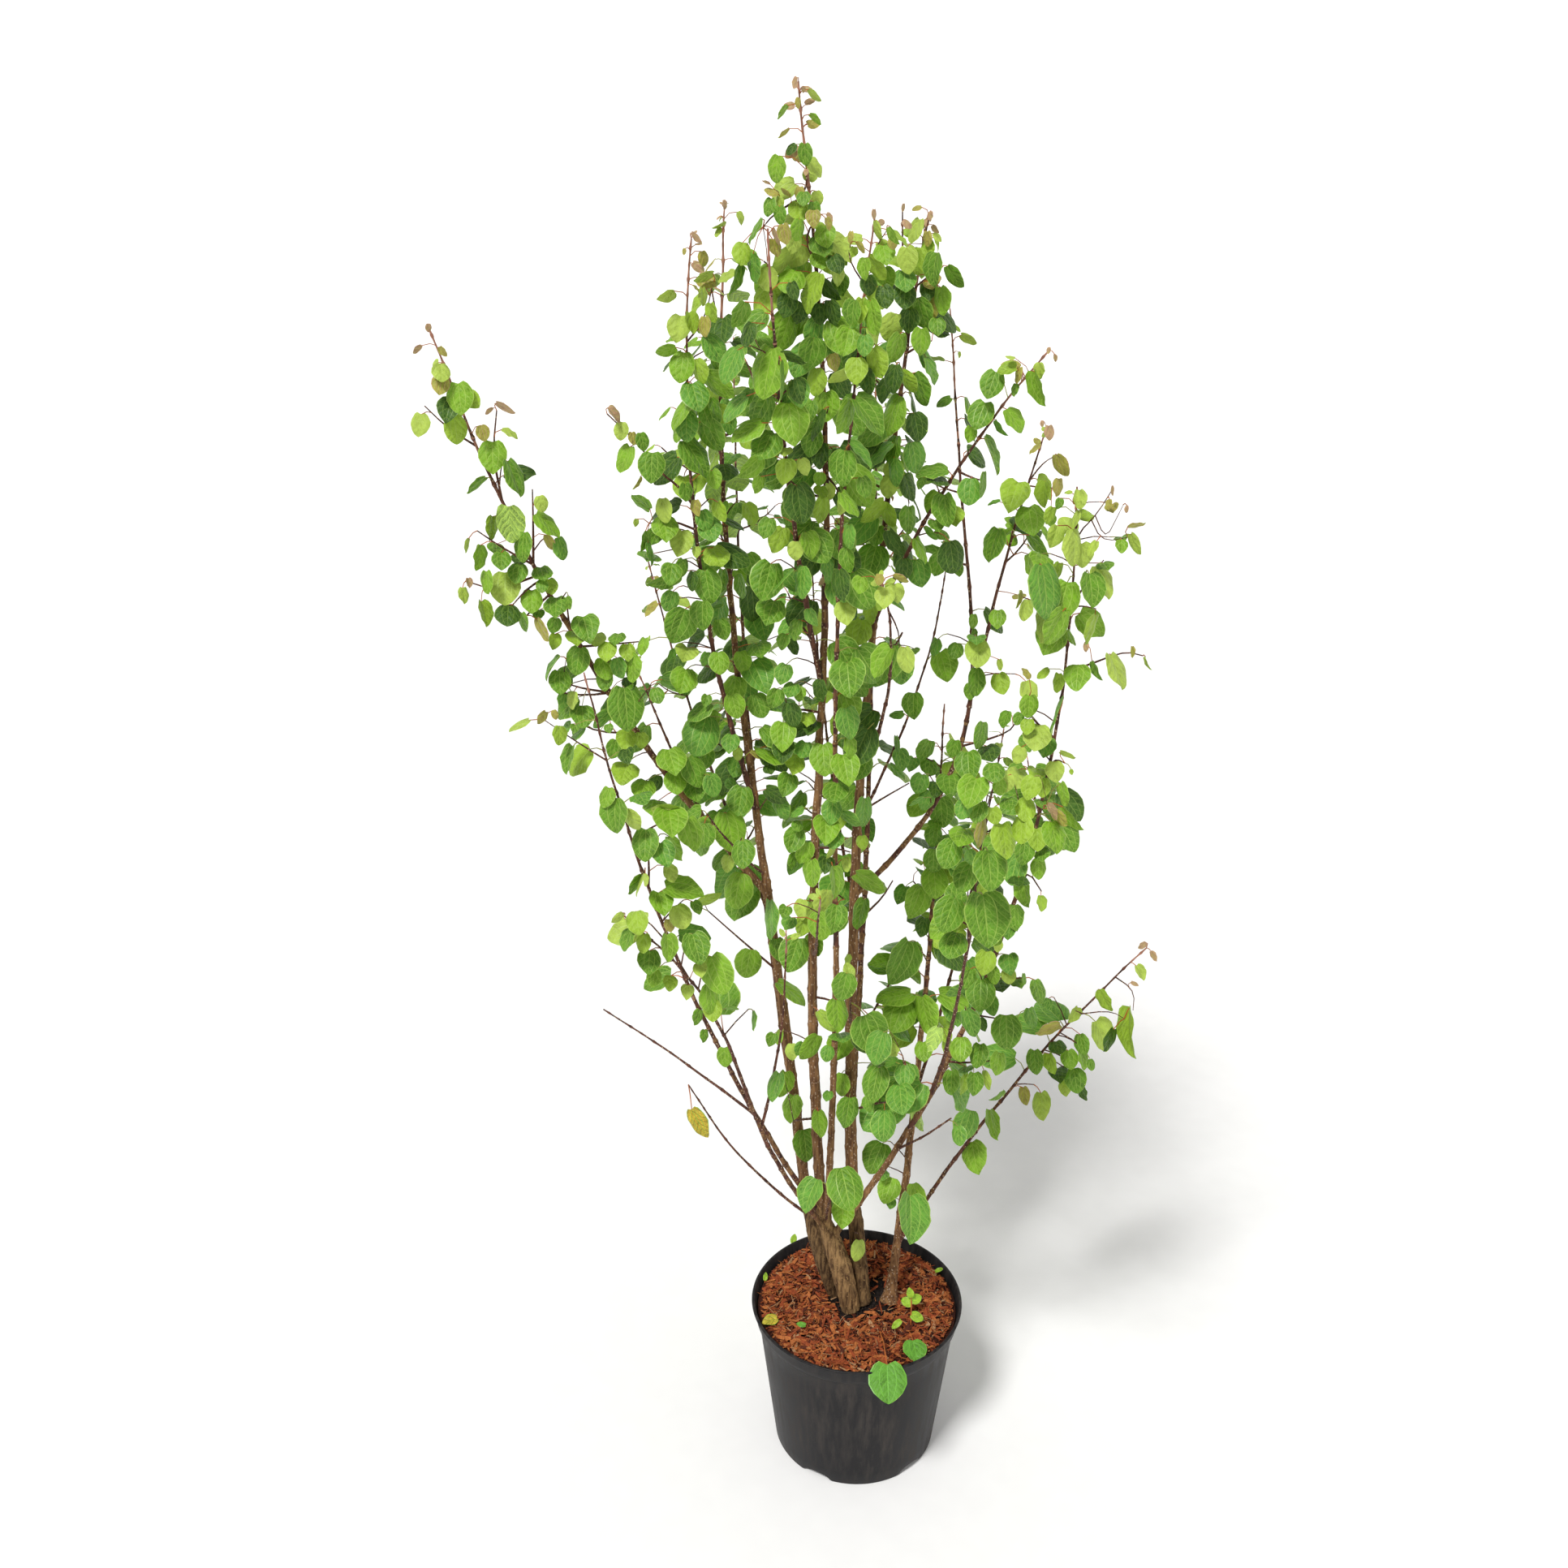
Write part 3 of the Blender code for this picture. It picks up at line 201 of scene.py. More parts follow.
# Leaves that stand out in the photograph, read from it. Each group names the shoots that bear
# it, then its side twigs as lines in the picture, then by kind each leaf's middle, width and length,
# all in the picture's pixels, and on some how many degrees their tip leans to the right of straight down
SEEN = (
    (("far_left_arm",),
     (((575, 552), (552, 528), (523, 500)), ((612, 622), (607, 560), (612, 506)), ((650, 697), (657, 640), (656, 603)),
      ((648, 697), (622, 677), (588, 654)), ((655, 712), (612, 728), (574, 716)), ((705, 795), (699, 765), (700, 733)),
      ((712, 800), (752, 794), (794, 790)), ((748, 858), (715, 848), (694, 840)), ((780, 900), (782, 890), (778, 880)),
      ((672, 735), (655, 752), (640, 768)), ((668, 712), (650, 725), (632, 745))),
     {"pink": ((516, 431, 7, 14), (528, 404, 7, 10), (622, 503, 6, 26), (604, 507, 6, 12), (578, 718, 10, 12)),
      "bronze": ((546, 433, 8, 14), (543, 473, 24, 24), (595, 533, 18, 20), (675, 668, 12, 20), (668, 776, 9, 30)),
      "lime": ((544, 456, 24, 16), (517, 523, 22, 28), (572, 733, 14, 20), (628, 533, 12, 22), (667, 620, 18, 20),
               (622, 722, 38, 40), (576, 672, 7, 18), (705, 862, 14, 22), (735, 787, 24, 16)),
      "fresh": ((562, 528, 28, 34), (597, 755, 20, 32), (711, 786, 30, 20), (683, 790, 15, 20), (748, 802, 26, 22),
                (773, 803, 20, 20), (678, 722, 20, 20), (772, 910, 28, 22), (790, 912, 18, 20), (770, 950, 36, 26)),
      "bright": ((566, 490, 30, 38), (607, 562, 36, 38), (675, 645, 22, 40), (592, 686, 20, 32), (600, 717, 20, 28),
                 (655, 740, 28, 26), (745, 822, 26, 26), (778, 822, 24, 36), (792, 796, 12, 22), (793, 970, 32, 24),
                 (832, 962, 28, 26), (828, 936, 38, 26), (812, 992, 38, 20)),
      "mature": ((588, 598, 13, 30), (634, 588, 28, 46), (643, 672, 20, 36), (618, 690, 26, 24), (638, 704, 26, 20),
                 (668, 706, 26, 18), (685, 746, 32, 22), (645, 766, 10, 24), (722, 772, 36, 30), (760, 786, 22, 16),
                 (712, 814, 28, 34), (745, 838, 20, 26), (690, 840, 28, 26), (718, 880, 32, 24), (772, 872, 42, 54),
                 (809, 855, 20, 18), (855, 950, 28, 40), (857, 975, 30, 26), (757, 922, 22, 24)),
      "cool": ((693, 674, 20, 28), (747, 886, 16, 32), (680, 820, 9, 34, -38), (878, 968, 24, 28)),
      "deep": ((553, 503, 30, 24), (626, 754, 32, 24)),
      "turned": ((628, 645, 34, 46),)}),
    (("left_arm", "low_left_arm"),
     (((740, 942), (712, 915), (672, 888)), ((812, 1088), (800, 1060), (795, 1030)), ((850, 1205), (815, 1150), (785, 1125)),
      ((775, 1035), (800, 1020), (835, 1005))),
     {"bronze": ((668, 884, 9, 18), (825, 1140, 12, 16), (684, 880, 8, 12)),
      "lime": ((640, 893, 9, 28), (762, 1131, 9, 18), (788, 1090, 8, 28), (820, 998, 14, 34), (776, 1010, 14, 30),
               (795, 1084, 7, 16), (826, 1076, 18, 22), (847, 1221, 18, 16), (863, 1195, 18, 18), (838, 1128, 28, 30)),
      "fresh": ((690, 905, 16, 24), (785, 1136, 26, 30), (793, 1162, 20, 24), (826, 1210, 20, 16), (878, 1245, 24, 26)),
      "bright": ((747, 982, 16, 26), (826, 1012, 44, 32), (852, 1026, 30, 42), (830, 1045, 22, 34), (842, 1097, 28, 48),
                 (815, 1112, 32, 28), (823, 1167, 26, 34), (884, 1200, 40, 50), (877, 1228, 22, 36), (893, 1302, 20, 24),
                 (806, 1205, 20, 20)),
      "mature": ((757, 1003, 36, 44), (701, 935, 16, 36), (795, 1040, 36, 40), (772, 1157, 16, 28), (858, 1168, 36, 38),
                 (800, 1184, 30, 28), (868, 1276, 13, 16), (902, 1243, 6, 16), (860, 1253, 10, 20)),
      "cool": ((928, 1257, 10, 24, 5),)}),
    (("far_left_arm", "left_stem", "left_arm"),
     (((950, 1196), (915, 1160), (872, 1122)),),
     {"fresh": ((874, 1108, 11, 30),), "bright": ((922, 1186, 32, 36), (900, 1024, 44, 50), (908, 1095, 40, 44)),
      "mature": ((915, 1052, 28, 34), (912, 986, 34, 34)), "lime": ((896, 1064, 18, 22), (848, 1096, 8, 10)),
      "cool": ((907, 945, 24, 24),)}),
    (("left_fork",),
     (((860, 622), (838, 600), (812, 582), (788, 548), (748, 510)), ((860, 652), (825, 640), (800, 645)),
      ((848, 420), (868, 395), (878, 352))),
     {"pink": ((757, 510, 6, 24), (858, 293, 6, 18)),
      "bronze": ((780, 540, 13, 16), (785, 595, 8, 18), (803, 751, 12, 22), (858, 625, 14, 20), (867, 318, 13, 18),
                 (843, 310, 5, 8), (858, 355, 6, 12), (868, 402, 18, 24)),
      "lime": ((765, 530, 20, 22), (838, 668, 32, 34), (817, 628, 22, 30), (868, 342, 13, 26), (822, 365, 14, 24),
               (866, 365, 14, 22), (836, 404, 30, 32), (784, 644, 6, 10),
               (858, 680, 12, 14), (845, 805, 30, 22)),
      "fresh": ((883, 685, 34, 28), (852, 397, 18, 26), (860, 456, 22, 30), (888, 630, 20, 26), (878, 385, 16, 24)),
      "bright": ((770, 565, 18, 34), (822, 433, 12, 26), (840, 450, 34, 36), (838, 510, 20, 40), (820, 650, 34, 32),
                 (885, 475, 26, 44), (842, 838, 34, 28), (886, 815, 26, 24), (880, 590, 18, 24)),
      "mature": ((803, 575, 34, 36), (790, 620, 14, 28), (858, 562, 24, 52), (876, 535, 30, 42), (876, 508, 28, 34),
                 (838, 770, 40, 46), (865, 757, 26, 36), (872, 722, 36, 42), (792, 543, 16, 22), (845, 606, 18, 22),
                 (820, 715, 22, 42), (840, 700, 18, 24), (795, 666, 9, 26), (883, 448, 14, 20), (880, 500, 16, 22)),
      "cool": ((802, 681, 8, 28), (826, 740, 20, 26), (881, 430, 22, 38), (868, 640, 22, 26))}),
    (("left_stem",), (((888, 420), (882, 385), (876, 352)),),
     {"pink": ((893, 252, 6, 12), (884, 358, 6, 18)), "lime": ((886, 277, 6, 18), (912, 268, 10, 16))}),
    (("leader_stem",),
     (((973, 240), (955, 262), (940, 280)), ((975, 235), (995, 228), (992, 208)), ((985, 330), (990, 290), (1010, 268))),
     {"pink": ((980, 102, 6, 14), (990, 110, 5, 8), (993, 212, 6, 8), (944, 225, 5, 10), (1022, 268, 6, 12),
               (957, 290, 8, 22)),
      "bronze": ((955, 305, 16, 22), (1002, 268, 20, 18), (984, 127, 9, 13), (966, 164, 6, 17), (952, 235, 9, 18), (968, 238, 7, 14), (1020, 276, 9, 16),
                 (985, 238, 12, 16)),
      "lime": ((1002, 118, 5, 20), (1003, 205, 12, 28), (1007, 244, 16, 18), (978, 300, 22, 24), (970, 322, 18, 44),
               (945, 342, 26, 28), (1032, 338, 20, 26), (960, 250, 12, 16)),
      "fresh": ((943, 368, 36, 44), (915, 310, 26, 26), (985, 260, 28, 20), (1000, 358, 28, 50)),
      "bright": ((965, 138, 8, 20), (1004, 147, 8, 18), (956, 207, 22, 32), (985, 282, 18, 26), (970, 405, 34, 50),
                 (975, 342, 36, 24), (1017, 290, 28, 26), (1010, 320, 26, 24)),
      "mature": ((992, 190, 22, 26), (948, 255, 14, 22), (961, 265, 14, 22), (1012, 303, 32, 28), (908, 343, 16, 38),
                 (930, 283, 9, 34), (1035, 350, 26, 26), (990, 243, 18, 16)),
      "deep": ((975, 183, 9, 16), (985, 385, 24, 26), (1010, 385, 24, 26), (970, 375, 28, 30),
               (1030, 325, 24, 24)),
      "cool": ((928, 330, 22, 36), (1003, 410, 28, 34))}),
    (("middle_stem", "front_stem", "leader_stem", "left_fork", "crossing_stem"),
     (((1060, 345), (1045, 320), (1048, 300)), ((1120, 420), (1112, 340), (1112, 256)), ((1095, 380), (1130, 350), (1160, 330)),
      ((1090, 330), (1082, 300), (1092, 285)), ((1130, 330), (1140, 290), (1146, 262)), ((1120, 440), (1135, 425), (1148, 420))),
     {"pink": ((1077, 264, 8, 12), (1146, 266, 7, 12), (1113, 256, 6, 10), (1152, 282, 6, 12), (1118, 275, 7, 14)),
      "bronze": ((1060, 305, 6, 16), (1143, 294, 14, 18), (1130, 256, 6, 12), (1147, 378, 22, 28), (1048, 292, 6, 14),
                 (1028, 446, 14, 22), (1100, 300, 12, 14)),
      "lime": ((1128, 284, 20, 30), (1080, 283, 8, 24), (1100, 402, 28, 34), (1075, 412, 14, 24), (1155, 292, 6, 14),
               (1118, 320, 24, 32), (1037, 465, 20, 34), (1098, 580, 20, 24)),
      "fresh": ((1130, 320, 26, 32), (1143, 308, 16, 24), (1080, 330, 18, 34), (1080, 446, 26, 38), (1055, 455, 30, 32),
                (1116, 470, 16, 32), (1060, 382, 20, 30), (1005, 470, 22, 34)),
      "bright": ((1100, 290, 14, 24), (1090, 312, 28, 22), (1075, 390, 26, 42), (1105, 428, 22, 36), (1160, 370, 26, 34),
                 (1018, 500, 32, 36), (1044, 512, 26, 44), (1097, 508, 24, 50), (945, 458, 50, 62), (975, 520, 48, 50),
                 (1090, 345, 30, 26), (1043, 420, 32, 34), (1135, 420, 22, 32), (1065, 330, 16, 26)),
      "mature": ((1150, 330, 20, 40), (1174, 341, 18, 32), (1050, 385, 26, 34), (1135, 385, 34, 40), (1130, 478, 28, 42),
                 (1155, 402, 22, 22), (1070, 512, 32, 56), (1000, 435, 34, 40)),
      "cool": ((1115, 345, 30, 24), (1148, 455, 14, 34), (900, 450, 28, 44), (905, 500, 18, 42), (1065, 425, 20, 26),
               (920, 490, 16, 24)),
      "deep": ((1130, 525, 28, 36), (1070, 470, 24, 30), (1120, 395, 26, 28), (985, 480, 26, 30),
               (1025, 385, 24, 32), (1070, 350, 22, 24), (1090, 365, 26, 26), (1115, 365, 28, 28),
               (1100, 465, 24, 34), (1090, 480, 22, 30))}),
    (("upper_right_arm",),
     (((1262, 466), (1275, 460), (1284, 452)), ((1180, 582), (1200, 590), (1212, 592))),
     {"pink": ((1292, 432, 6, 8), (1300, 441, 6, 9)),
      "bronze": ((1255, 462, 12, 20),),
      "lime": ((1245, 440, 6, 12), (1280, 456, 16, 20)),
      "fresh": ((1241, 455, 12, 24), (1175, 635, 28, 24)),
      "bright": ((1279, 478, 14, 44), (1195, 535, 16, 20), (1250, 516, 20, 34), (1135, 677, 16, 34)),
      "mature": ((1222, 473, 32, 32), (1250, 480, 11, 16), (1208, 511, 34, 34), (1222, 560, 11, 48), (1150, 580, 18, 40),
                 (1213, 596, 15, 32), (1165, 628, 30, 40), (1135, 595, 10, 16)),
      "cool": ((1232, 527, 6, 24), (1195, 603, 30, 30), (1132, 705, 32, 34), (1145, 657, 6, 22)),
      "deep": ((1174, 685, 36, 40), (1113, 702, 20, 30))}),
    (("right_whip",), (),
     {"lime": ((1193, 418, 9, 22), (1182, 437, 5, 8)), "fresh": ((1180, 405, 5, 10),), "mature": ((1163, 495, 11, 20),)}),
    (("right_fork", "right_whip", "thin_twig", "front_stem"),
     (((1268, 592), (1285, 570), (1300, 562)), ((1268, 600), (1290, 602), (1305, 600)), ((1215, 762), (1228, 758), (1235, 752))),
     {"pink": ((1293, 533, 12, 18), (1284, 522, 5, 8)),
      "bronze": ((1306, 573, 14, 30), (1304, 600, 14, 22), (1275, 552, 6, 18)),
      "lime": ((1205, 802, 34, 28), (1232, 819, 9, 14), (1268, 852, 24, 30)),
      "fresh": ((1250, 608, 40, 34), (1285, 607, 14, 32), (1233, 842, 24, 26)),
      "bright": ((1270, 640, 38, 38), (1229, 762, 22, 22), (1240, 657, 10, 20), (1200, 765, 14, 18), (1163, 820, 32, 38),
                 (1295, 640, 14, 14)),
      "mature": ((1223, 670, 30, 42), (1278, 672, 16, 36), (1200, 838, 26, 34), (1178, 800, 20, 20), (1200, 782, 10, 16),
                 (1125, 868, 28, 32), (1195, 852, 18, 20)),
      "cool": ((1225, 620, 7, 16), (1105, 880, 8, 18))}),
    (("right_arm", "right_cluster", "right_stem", "right_whip", "thin_twig"),
     (((1313, 700), (1325, 660), (1350, 636), (1370, 604)), ((1352, 640), (1362, 665), (1375, 640), (1384, 622)),
      ((1312, 748), (1340, 715), (1360, 690)), ((1313, 748), (1332, 746), (1350, 750)),
      ((1308, 828), (1345, 818), (1385, 802), (1408, 808)), ((1313, 752), (1285, 745), (1258, 735)),
      ((1285, 905), (1265, 880), (1268, 858)), ((1225, 935), (1240, 905), (1252, 890)), ((1270, 940), (1300, 935), (1312, 940)),
      ((1245, 1030), (1275, 1010), (1290, 990)), ((1235, 1100), (1265, 1070), (1283, 1098)), ((1345, 640), (1358, 668), (1390, 662))),
     {"pink": ((1370, 604, 6, 12), (1389, 627, 6, 9), (1338, 797, 8, 12), (1296, 1000, 12, 22)),
      "bronze": ((1366, 621, 9, 13), (1400, 648, 8, 22), (1255, 738, 8, 22), (1395, 803, 6, 14), (1306, 1008, 14, 24),
                 (1208, 1026, 18, 36), (1265, 830, 8, 16)),
      "lime": ((1330, 615, 20, 24), (1326, 672, 24, 44), (1325, 640, 10, 24), (1398, 670, 12, 28), (1300, 660, 24, 28),
               (1262, 750, 14, 26), (1360, 715, 22, 44), (1413, 817, 6, 18), (1300, 950, 24, 26), (1285, 768, 28, 46),
               (1376, 826, 18, 46), (1255, 958, 32, 24), (1278, 905, 36, 26), (1346, 675, 8, 20),
               (1240, 965, 20, 22), (1255, 930, 18, 22), (1315, 930, 8, 20)),
      "fresh": ((1301, 705, 18, 26), (1238, 1035, 32, 44), (1345, 775, 13, 38), (1303, 841, 18, 24), (1270, 970, 28, 30), (1285, 828, 8, 18),
                (1265, 995, 28, 26), (1258, 1020, 28, 34), (1225, 1005, 20, 22), (1278, 1034, 24, 28), (1284, 1112, 15, 20),
                (1320, 951, 5, 7), (1285, 970, 20, 24), (1266, 895, 18, 20)),
      "bright": ((1382, 672, 16, 16), (1300, 772, 24, 46), (1320, 785, 12, 22), (1327, 832, 34, 32), (1268, 870, 24, 28),
                 (1310, 978, 18, 30), (1300, 1030, 26, 40), (1198, 975, 40, 34), (1262, 1098, 18, 38), (1152, 1085, 36, 34),
                 (1320, 1008, 18, 38), (1185, 1030, 34, 24), (1232, 970, 18, 20), (1130, 1110, 30, 42), (1280, 1070, 22, 26)),
      "mature": ((1305, 620, 10, 14), (1345, 726, 32, 42), (1350, 826, 14, 26), (1193, 942, 36, 36), (1210, 905, 22, 34),
                 (1140, 925, 18, 30), (1170, 965, 34, 24), (1220, 1070, 44, 50), (1215, 1132, 52, 66), (1190, 1082, 32, 38),
                 (1170, 1125, 38, 44), (1238, 885, 14, 22), (1250, 1130, 20, 32), (1175, 1160, 38, 30), (1175, 922, 18, 22),
                 (1160, 1000, 32, 38), (1170, 1050, 34, 34), (1262, 1050, 26, 30), (1205, 1000, 26, 28), (1150, 1030, 22, 26),
                 (1150, 1060, 26, 30), (1145, 945, 24, 22)),
      "cool": ((1290, 725, 38, 66, 4), (1302, 880, 9, 46), (1110, 935, 20, 28), (1133, 965, 24, 24), (1105, 950, 10, 26),
               (1249, 1070, 28, 38), (1142, 985, 20, 26), (1130, 988, 6, 20), (1188, 995, 24, 26), (1105, 918, 10, 24))}),
    (("low_right_arm", "right_arm", "right_stem"),
     (((1195, 1200), (1225, 1205), (1262, 1205)), ((1180, 1245), (1205, 1250), (1250, 1260)), ((1150, 1300), (1190, 1310), (1232, 1306)),
      ((1345, 1265), (1335, 1250), (1325, 1245)), ((1350, 1260), (1368, 1245), (1385, 1255)), ((1200, 1400), (1198, 1395), (1200, 1390)),
      ((1385, 1215), (1398, 1220), (1396, 1245))),
     {"pink": ((1408, 1165, 7, 12), (1421, 1178, 7, 14), (1398, 1212, 5, 10)),
      "bronze": ((1293, 1269, 15, 32), (1262, 1350, 14, 22)),
      "lime": ((1323, 1250, 11, 22), (1243, 1200, 20, 20), (1230, 1166, 12, 14), (1283, 1362, 26, 34), (1213, 1330, 14, 24),
               (1312, 1340, 18, 20), (1405, 1198, 9, 20)),
      "fresh": ((1360, 1232, 13, 30), (1389, 1268, 18, 62, 3), (1213, 1186, 26, 30), (1295, 1310, 20, 26), (1188, 1335, 16, 26)),
      "bright": ((1183, 1290, 28, 28), (1108, 1250, 42, 40), (1200, 1425, 32, 40), (1222, 1385, 24, 38), (1140, 1250, 28, 48),
                 (1230, 1310, 16, 28), (1318, 1305, 22, 24), (1335, 1305, 16, 24), (1138, 1295, 24, 24), (1222, 1200, 20, 24)),
      "mature": ((1110, 1185, 42, 58), (1240, 1270, 38, 42), (1208, 1225, 36, 40), (1280, 1220, 20, 30), (1325, 1330, 28, 30),
                 (1275, 1308, 18, 30), (1172, 1333, 24, 30), (1200, 1335, 24, 28), (1205, 1300, 20, 30), (1332, 1286, 18, 26),
                 (1192, 1205, 20, 26), (1262, 1206, 8, 14), (1230, 1350, 8, 22)),
      "cool": ((1192, 1385, 30, 38), (1195, 1260, 18, 34), (1271, 1254, 16, 26), (1178, 1222, 8, 24)),
      "deep": ((1367, 1281, 9, 30),)}),
    (("front_stem", "middle_stem", "leader_stem", "crossing_stem", "left_stem", "left_fork", "curved_shoot"),
     (((1088, 690), (1085, 720), (1075, 735)), ((1095, 752), (1108, 778), (1108, 800)), ((1012, 1040), (1030, 1045), (1048, 1050)),
      ((1050, 1000), (1085, 985), (1120, 965)), ((1010, 590), (1030, 600), (1036, 612)), ((990, 880), (975, 872), (968, 890)),
      ((1098, 560), (1115, 590), (1120, 620))),
     {"pink": ((1098, 610, 7, 14), (1012, 716, 7, 12)),
      "bronze": ((1083, 714, 12, 14), (1108, 714, 9, 20), (932, 930, 10, 18)),
      "lime": ((1042, 755, 28, 28), (1095, 600, 22, 26), (1090, 735, 26, 26), (1115, 812, 20, 32), (1022, 605, 12, 20),
               (1038, 622, 18, 24), (1026, 1048, 12, 22), (910, 928, 12, 16), (1105, 730, 16, 24), (990, 575, 16, 22),
               (980, 678, 20, 24), (1043, 1065, 14, 18), (1002, 868, 6, 10)),
      "fresh": ((1058, 778, 34, 34), (1095, 635, 16, 30), (1012, 628, 24, 32), (995, 885, 22, 18),
                (960, 665, 30, 34), (968, 580, 26, 32), (925, 632, 24, 30), (1077, 630, 16, 38), (980, 940, 28, 26),
                (1063, 1038, 16, 18), (1073, 755, 20, 26)),
      "bright": ((998, 670, 28, 34), (1042, 945, 38, 38), (1087, 815, 24, 42), (1015, 935, 36, 40), (1018, 1020, 36, 34),
                 (1047, 620, 20, 36), (1010, 590, 16, 18), (1030, 1085, 18, 40), (905, 850, 26, 36), (1070, 1088, 22, 42),
                 (965, 905, 34, 34), (915, 815, 22, 28), (925, 575, 20, 36), (985, 855, 16, 18), (935, 597, 18, 22),
                 (1048, 920, 16, 26), (1000, 1075, 22, 34), (990, 1050, 22, 28), (905, 870, 24, 30), (1060, 720, 22, 22)),
      "mature": ((1075, 690, 40, 40), (1045, 835, 46, 40), (1038, 575, 38, 44), (1080, 660, 24, 26), (945, 715, 38, 48),
                 (925, 695, 26, 30), (950, 752, 38, 34), (970, 965, 28, 28), (978, 1035, 28, 30), (1045, 690, 22, 30),
                 (935, 800, 34, 22), (1065, 600, 22, 26), (935, 868, 28, 30), (955, 860, 22, 26), (890, 775, 20, 26),
                 (945, 650, 24, 26), (915, 720, 18, 30), (1030, 975, 34, 28), (1120, 640, 18, 34), (1100, 555, 22, 40),
                 (965, 790, 14, 20), (980, 775, 18, 26)),
      "cool": ((935, 830, 42, 34), (960, 995, 18, 30), (1020, 700, 18, 36), (982, 1000, 10, 20), (1025, 1000, 28, 30),
               (1045, 1010, 16, 28), (1065, 1000, 18, 36), (965, 830, 24, 26), (900, 915, 24, 24), (1060, 560, 16, 40),
               (965, 715, 9, 36), (1045, 660, 20, 30), (1000, 760, 12, 24), (985, 715, 18, 40), (1100, 580, 18, 34)),
      "deep": ((985, 620, 36, 48), (1010, 560, 26, 32), (1035, 720, 16, 40), (975, 880, 26, 30), (1010, 850, 18, 28),
               (965, 925, 30, 26), (1120, 600, 16, 34))}),
    (("leader_stem", "front_stem", "left_stem", "stem_spur_right", "stem_spur_low", "foot_spur_right"),
     (((1055, 1140), (1085, 1110), (1100, 1085)), ((1012, 1225), (1025, 1232), (1032, 1240)), ((1012, 1115), (1030, 1100), (1040, 1108))),
     {"lime": ((1018, 1112, 24, 34), (988, 1120, 20, 26), (975, 1295, 14, 20), (1003, 1125, 22, 28)),
      "fresh": ((1016, 1258, 14, 32), (1045, 1182, 10, 14), (990, 1140, 22, 26)),
      "bright": ((975, 1220, 22, 44), (1010, 1140, 30, 36), (965, 1335, 24, 32), (1033, 1250, 30, 40), (1035, 1290, 34, 30),
                 (960, 1278, 12, 18), (1010, 1384, 24, 32), (975, 1365, 26, 34), (1000, 1290, 16, 36), (1035, 1335, 22, 28)),
      "mature": ((978, 1175, 38, 44), (1040, 1215, 30, 36), (1045, 1370, 32, 38), (993, 1410, 32, 40), (1030, 1130, 30, 34),
                 (1060, 1125, 20, 38), (1078, 1335, 34, 44), (1004, 1164, 22, 28), (960, 1170, 22, 30)),
      "cool": ((948, 1132, 26, 48), (1082, 1290, 36, 42), (1090, 1385, 30, 38), (1115, 1325, 26, 28)),
      "turned": ((1132, 1378, 14, 30),)}),
    (("front_lobe", "right_lobe", "right_stem", "foot_spur_front", "foot_spur_rim"),
     (((1048, 1515), (1046, 1500), (1044, 1480)), ((1040, 1520), (1053, 1518), (1058, 1520))),
     {"lime": ((1058, 1540, 20, 26),),
      "yellow": ((1050, 1495, 12, 20),),
      "bright": ((1038, 1497, 30, 26), (1128, 1475, 22, 36), (1095, 1465, 30, 32)),
      "mature": ((1042, 1460, 48, 46), (1080, 1425, 36, 40)),
      "cool": ((998, 1470, 30, 42), (1123, 1500, 38, 58))}),
    (("left_stem", "left_fork", "crossing_stem", "leader_stem"), (),
     {"bronze": ((967, 288, 16, 24),),
      "lime": ((968, 556, 18, 12),),
      "bright": ((921, 530, 18, 44),),
      "mature": ((913, 387, 26, 34), (913, 456, 18, 36), (944, 548, 40, 36), (997, 506, 20, 28), (966, 468, 14, 50)),
      "deep": ((920, 410, 22, 30), (893, 577, 34, 9), (976, 442, 16, 34), (978, 358, 16, 22)),
      "turned": ((878, 606, 20, 30),)}),
    (("leader_stem", "middle_stem", "front_stem", "upper_right_arm"), (),
     {"fresh": ((1107, 291, 10, 30), (1052, 310, 12, 12), (1012, 605, 20, 14)),
      "bronze": ((1120, 303, 18, 8), (1148, 345, 24, 10)),
      "mature": ((1003, 258, 16, 20),),
      "cool": ((1128, 562, 28, 38), (1084, 560, 16, 46)),
      "deep": ((1022, 355, 12, 36), (1145, 358, 24, 20), (1005, 520, 14, 40), (1156, 592, 30, 14))}),
    (("left_stem", "left_fork", "left_arm", "far_left_side", "low_left_arm", "low_left_side", "back_left_stem",
      "stem_spur_left"), (),
     {"mature": ((806, 662, 24, 22), (800, 686, 32, 10), (827, 705, 28, 26), (890, 715, 18, 28), (870, 863, 14, 14),
                 (750, 897, 12, 10), (784, 1090, 10, 28), (858, 1118, 14, 18), (708, 897, 12, 8)),
      "cool": ((875, 652, 32, 28), (938, 767, 44, 36), (869, 812, 14, 18), (828, 806, 12, 16), (832, 840, 20, 36),
               (865, 902, 48, 46), (818, 1052, 30, 30), (790, 982, 30, 10)),
      "deep": ((903, 645, 12, 30), (852, 715, 16, 24), (932, 710, 30, 34), (929, 742, 28, 44), (977, 796, 16, 22),
               (772, 930, 22, 16), (808, 965, 18, 22), (948, 948, 16, 14), (955, 980, 16, 30))}),
    (("front_stem", "middle_stem", "leader_stem", "front_low_shoot", "right_stem", "stem_spur_low",
      "foot_spur_left", "foot_spur_right"), (),
     {"mature": ((983, 1016, 16, 12), (978, 1060, 14, 22), (967, 1123, 18, 14), (951, 1280, 16, 16),
                 (1080, 1312, 24, 12), (1070, 1360, 16, 20)),
      "cool": ((975, 850, 22, 20), (1046, 890, 34, 40), (990, 923, 24, 22), (1028, 1032, 24, 20), (972, 1137, 20, 16),
               (986, 1292, 14, 18), (1036, 1275, 32, 12), (1020, 1297, 18, 18), (955, 1338, 24, 36),
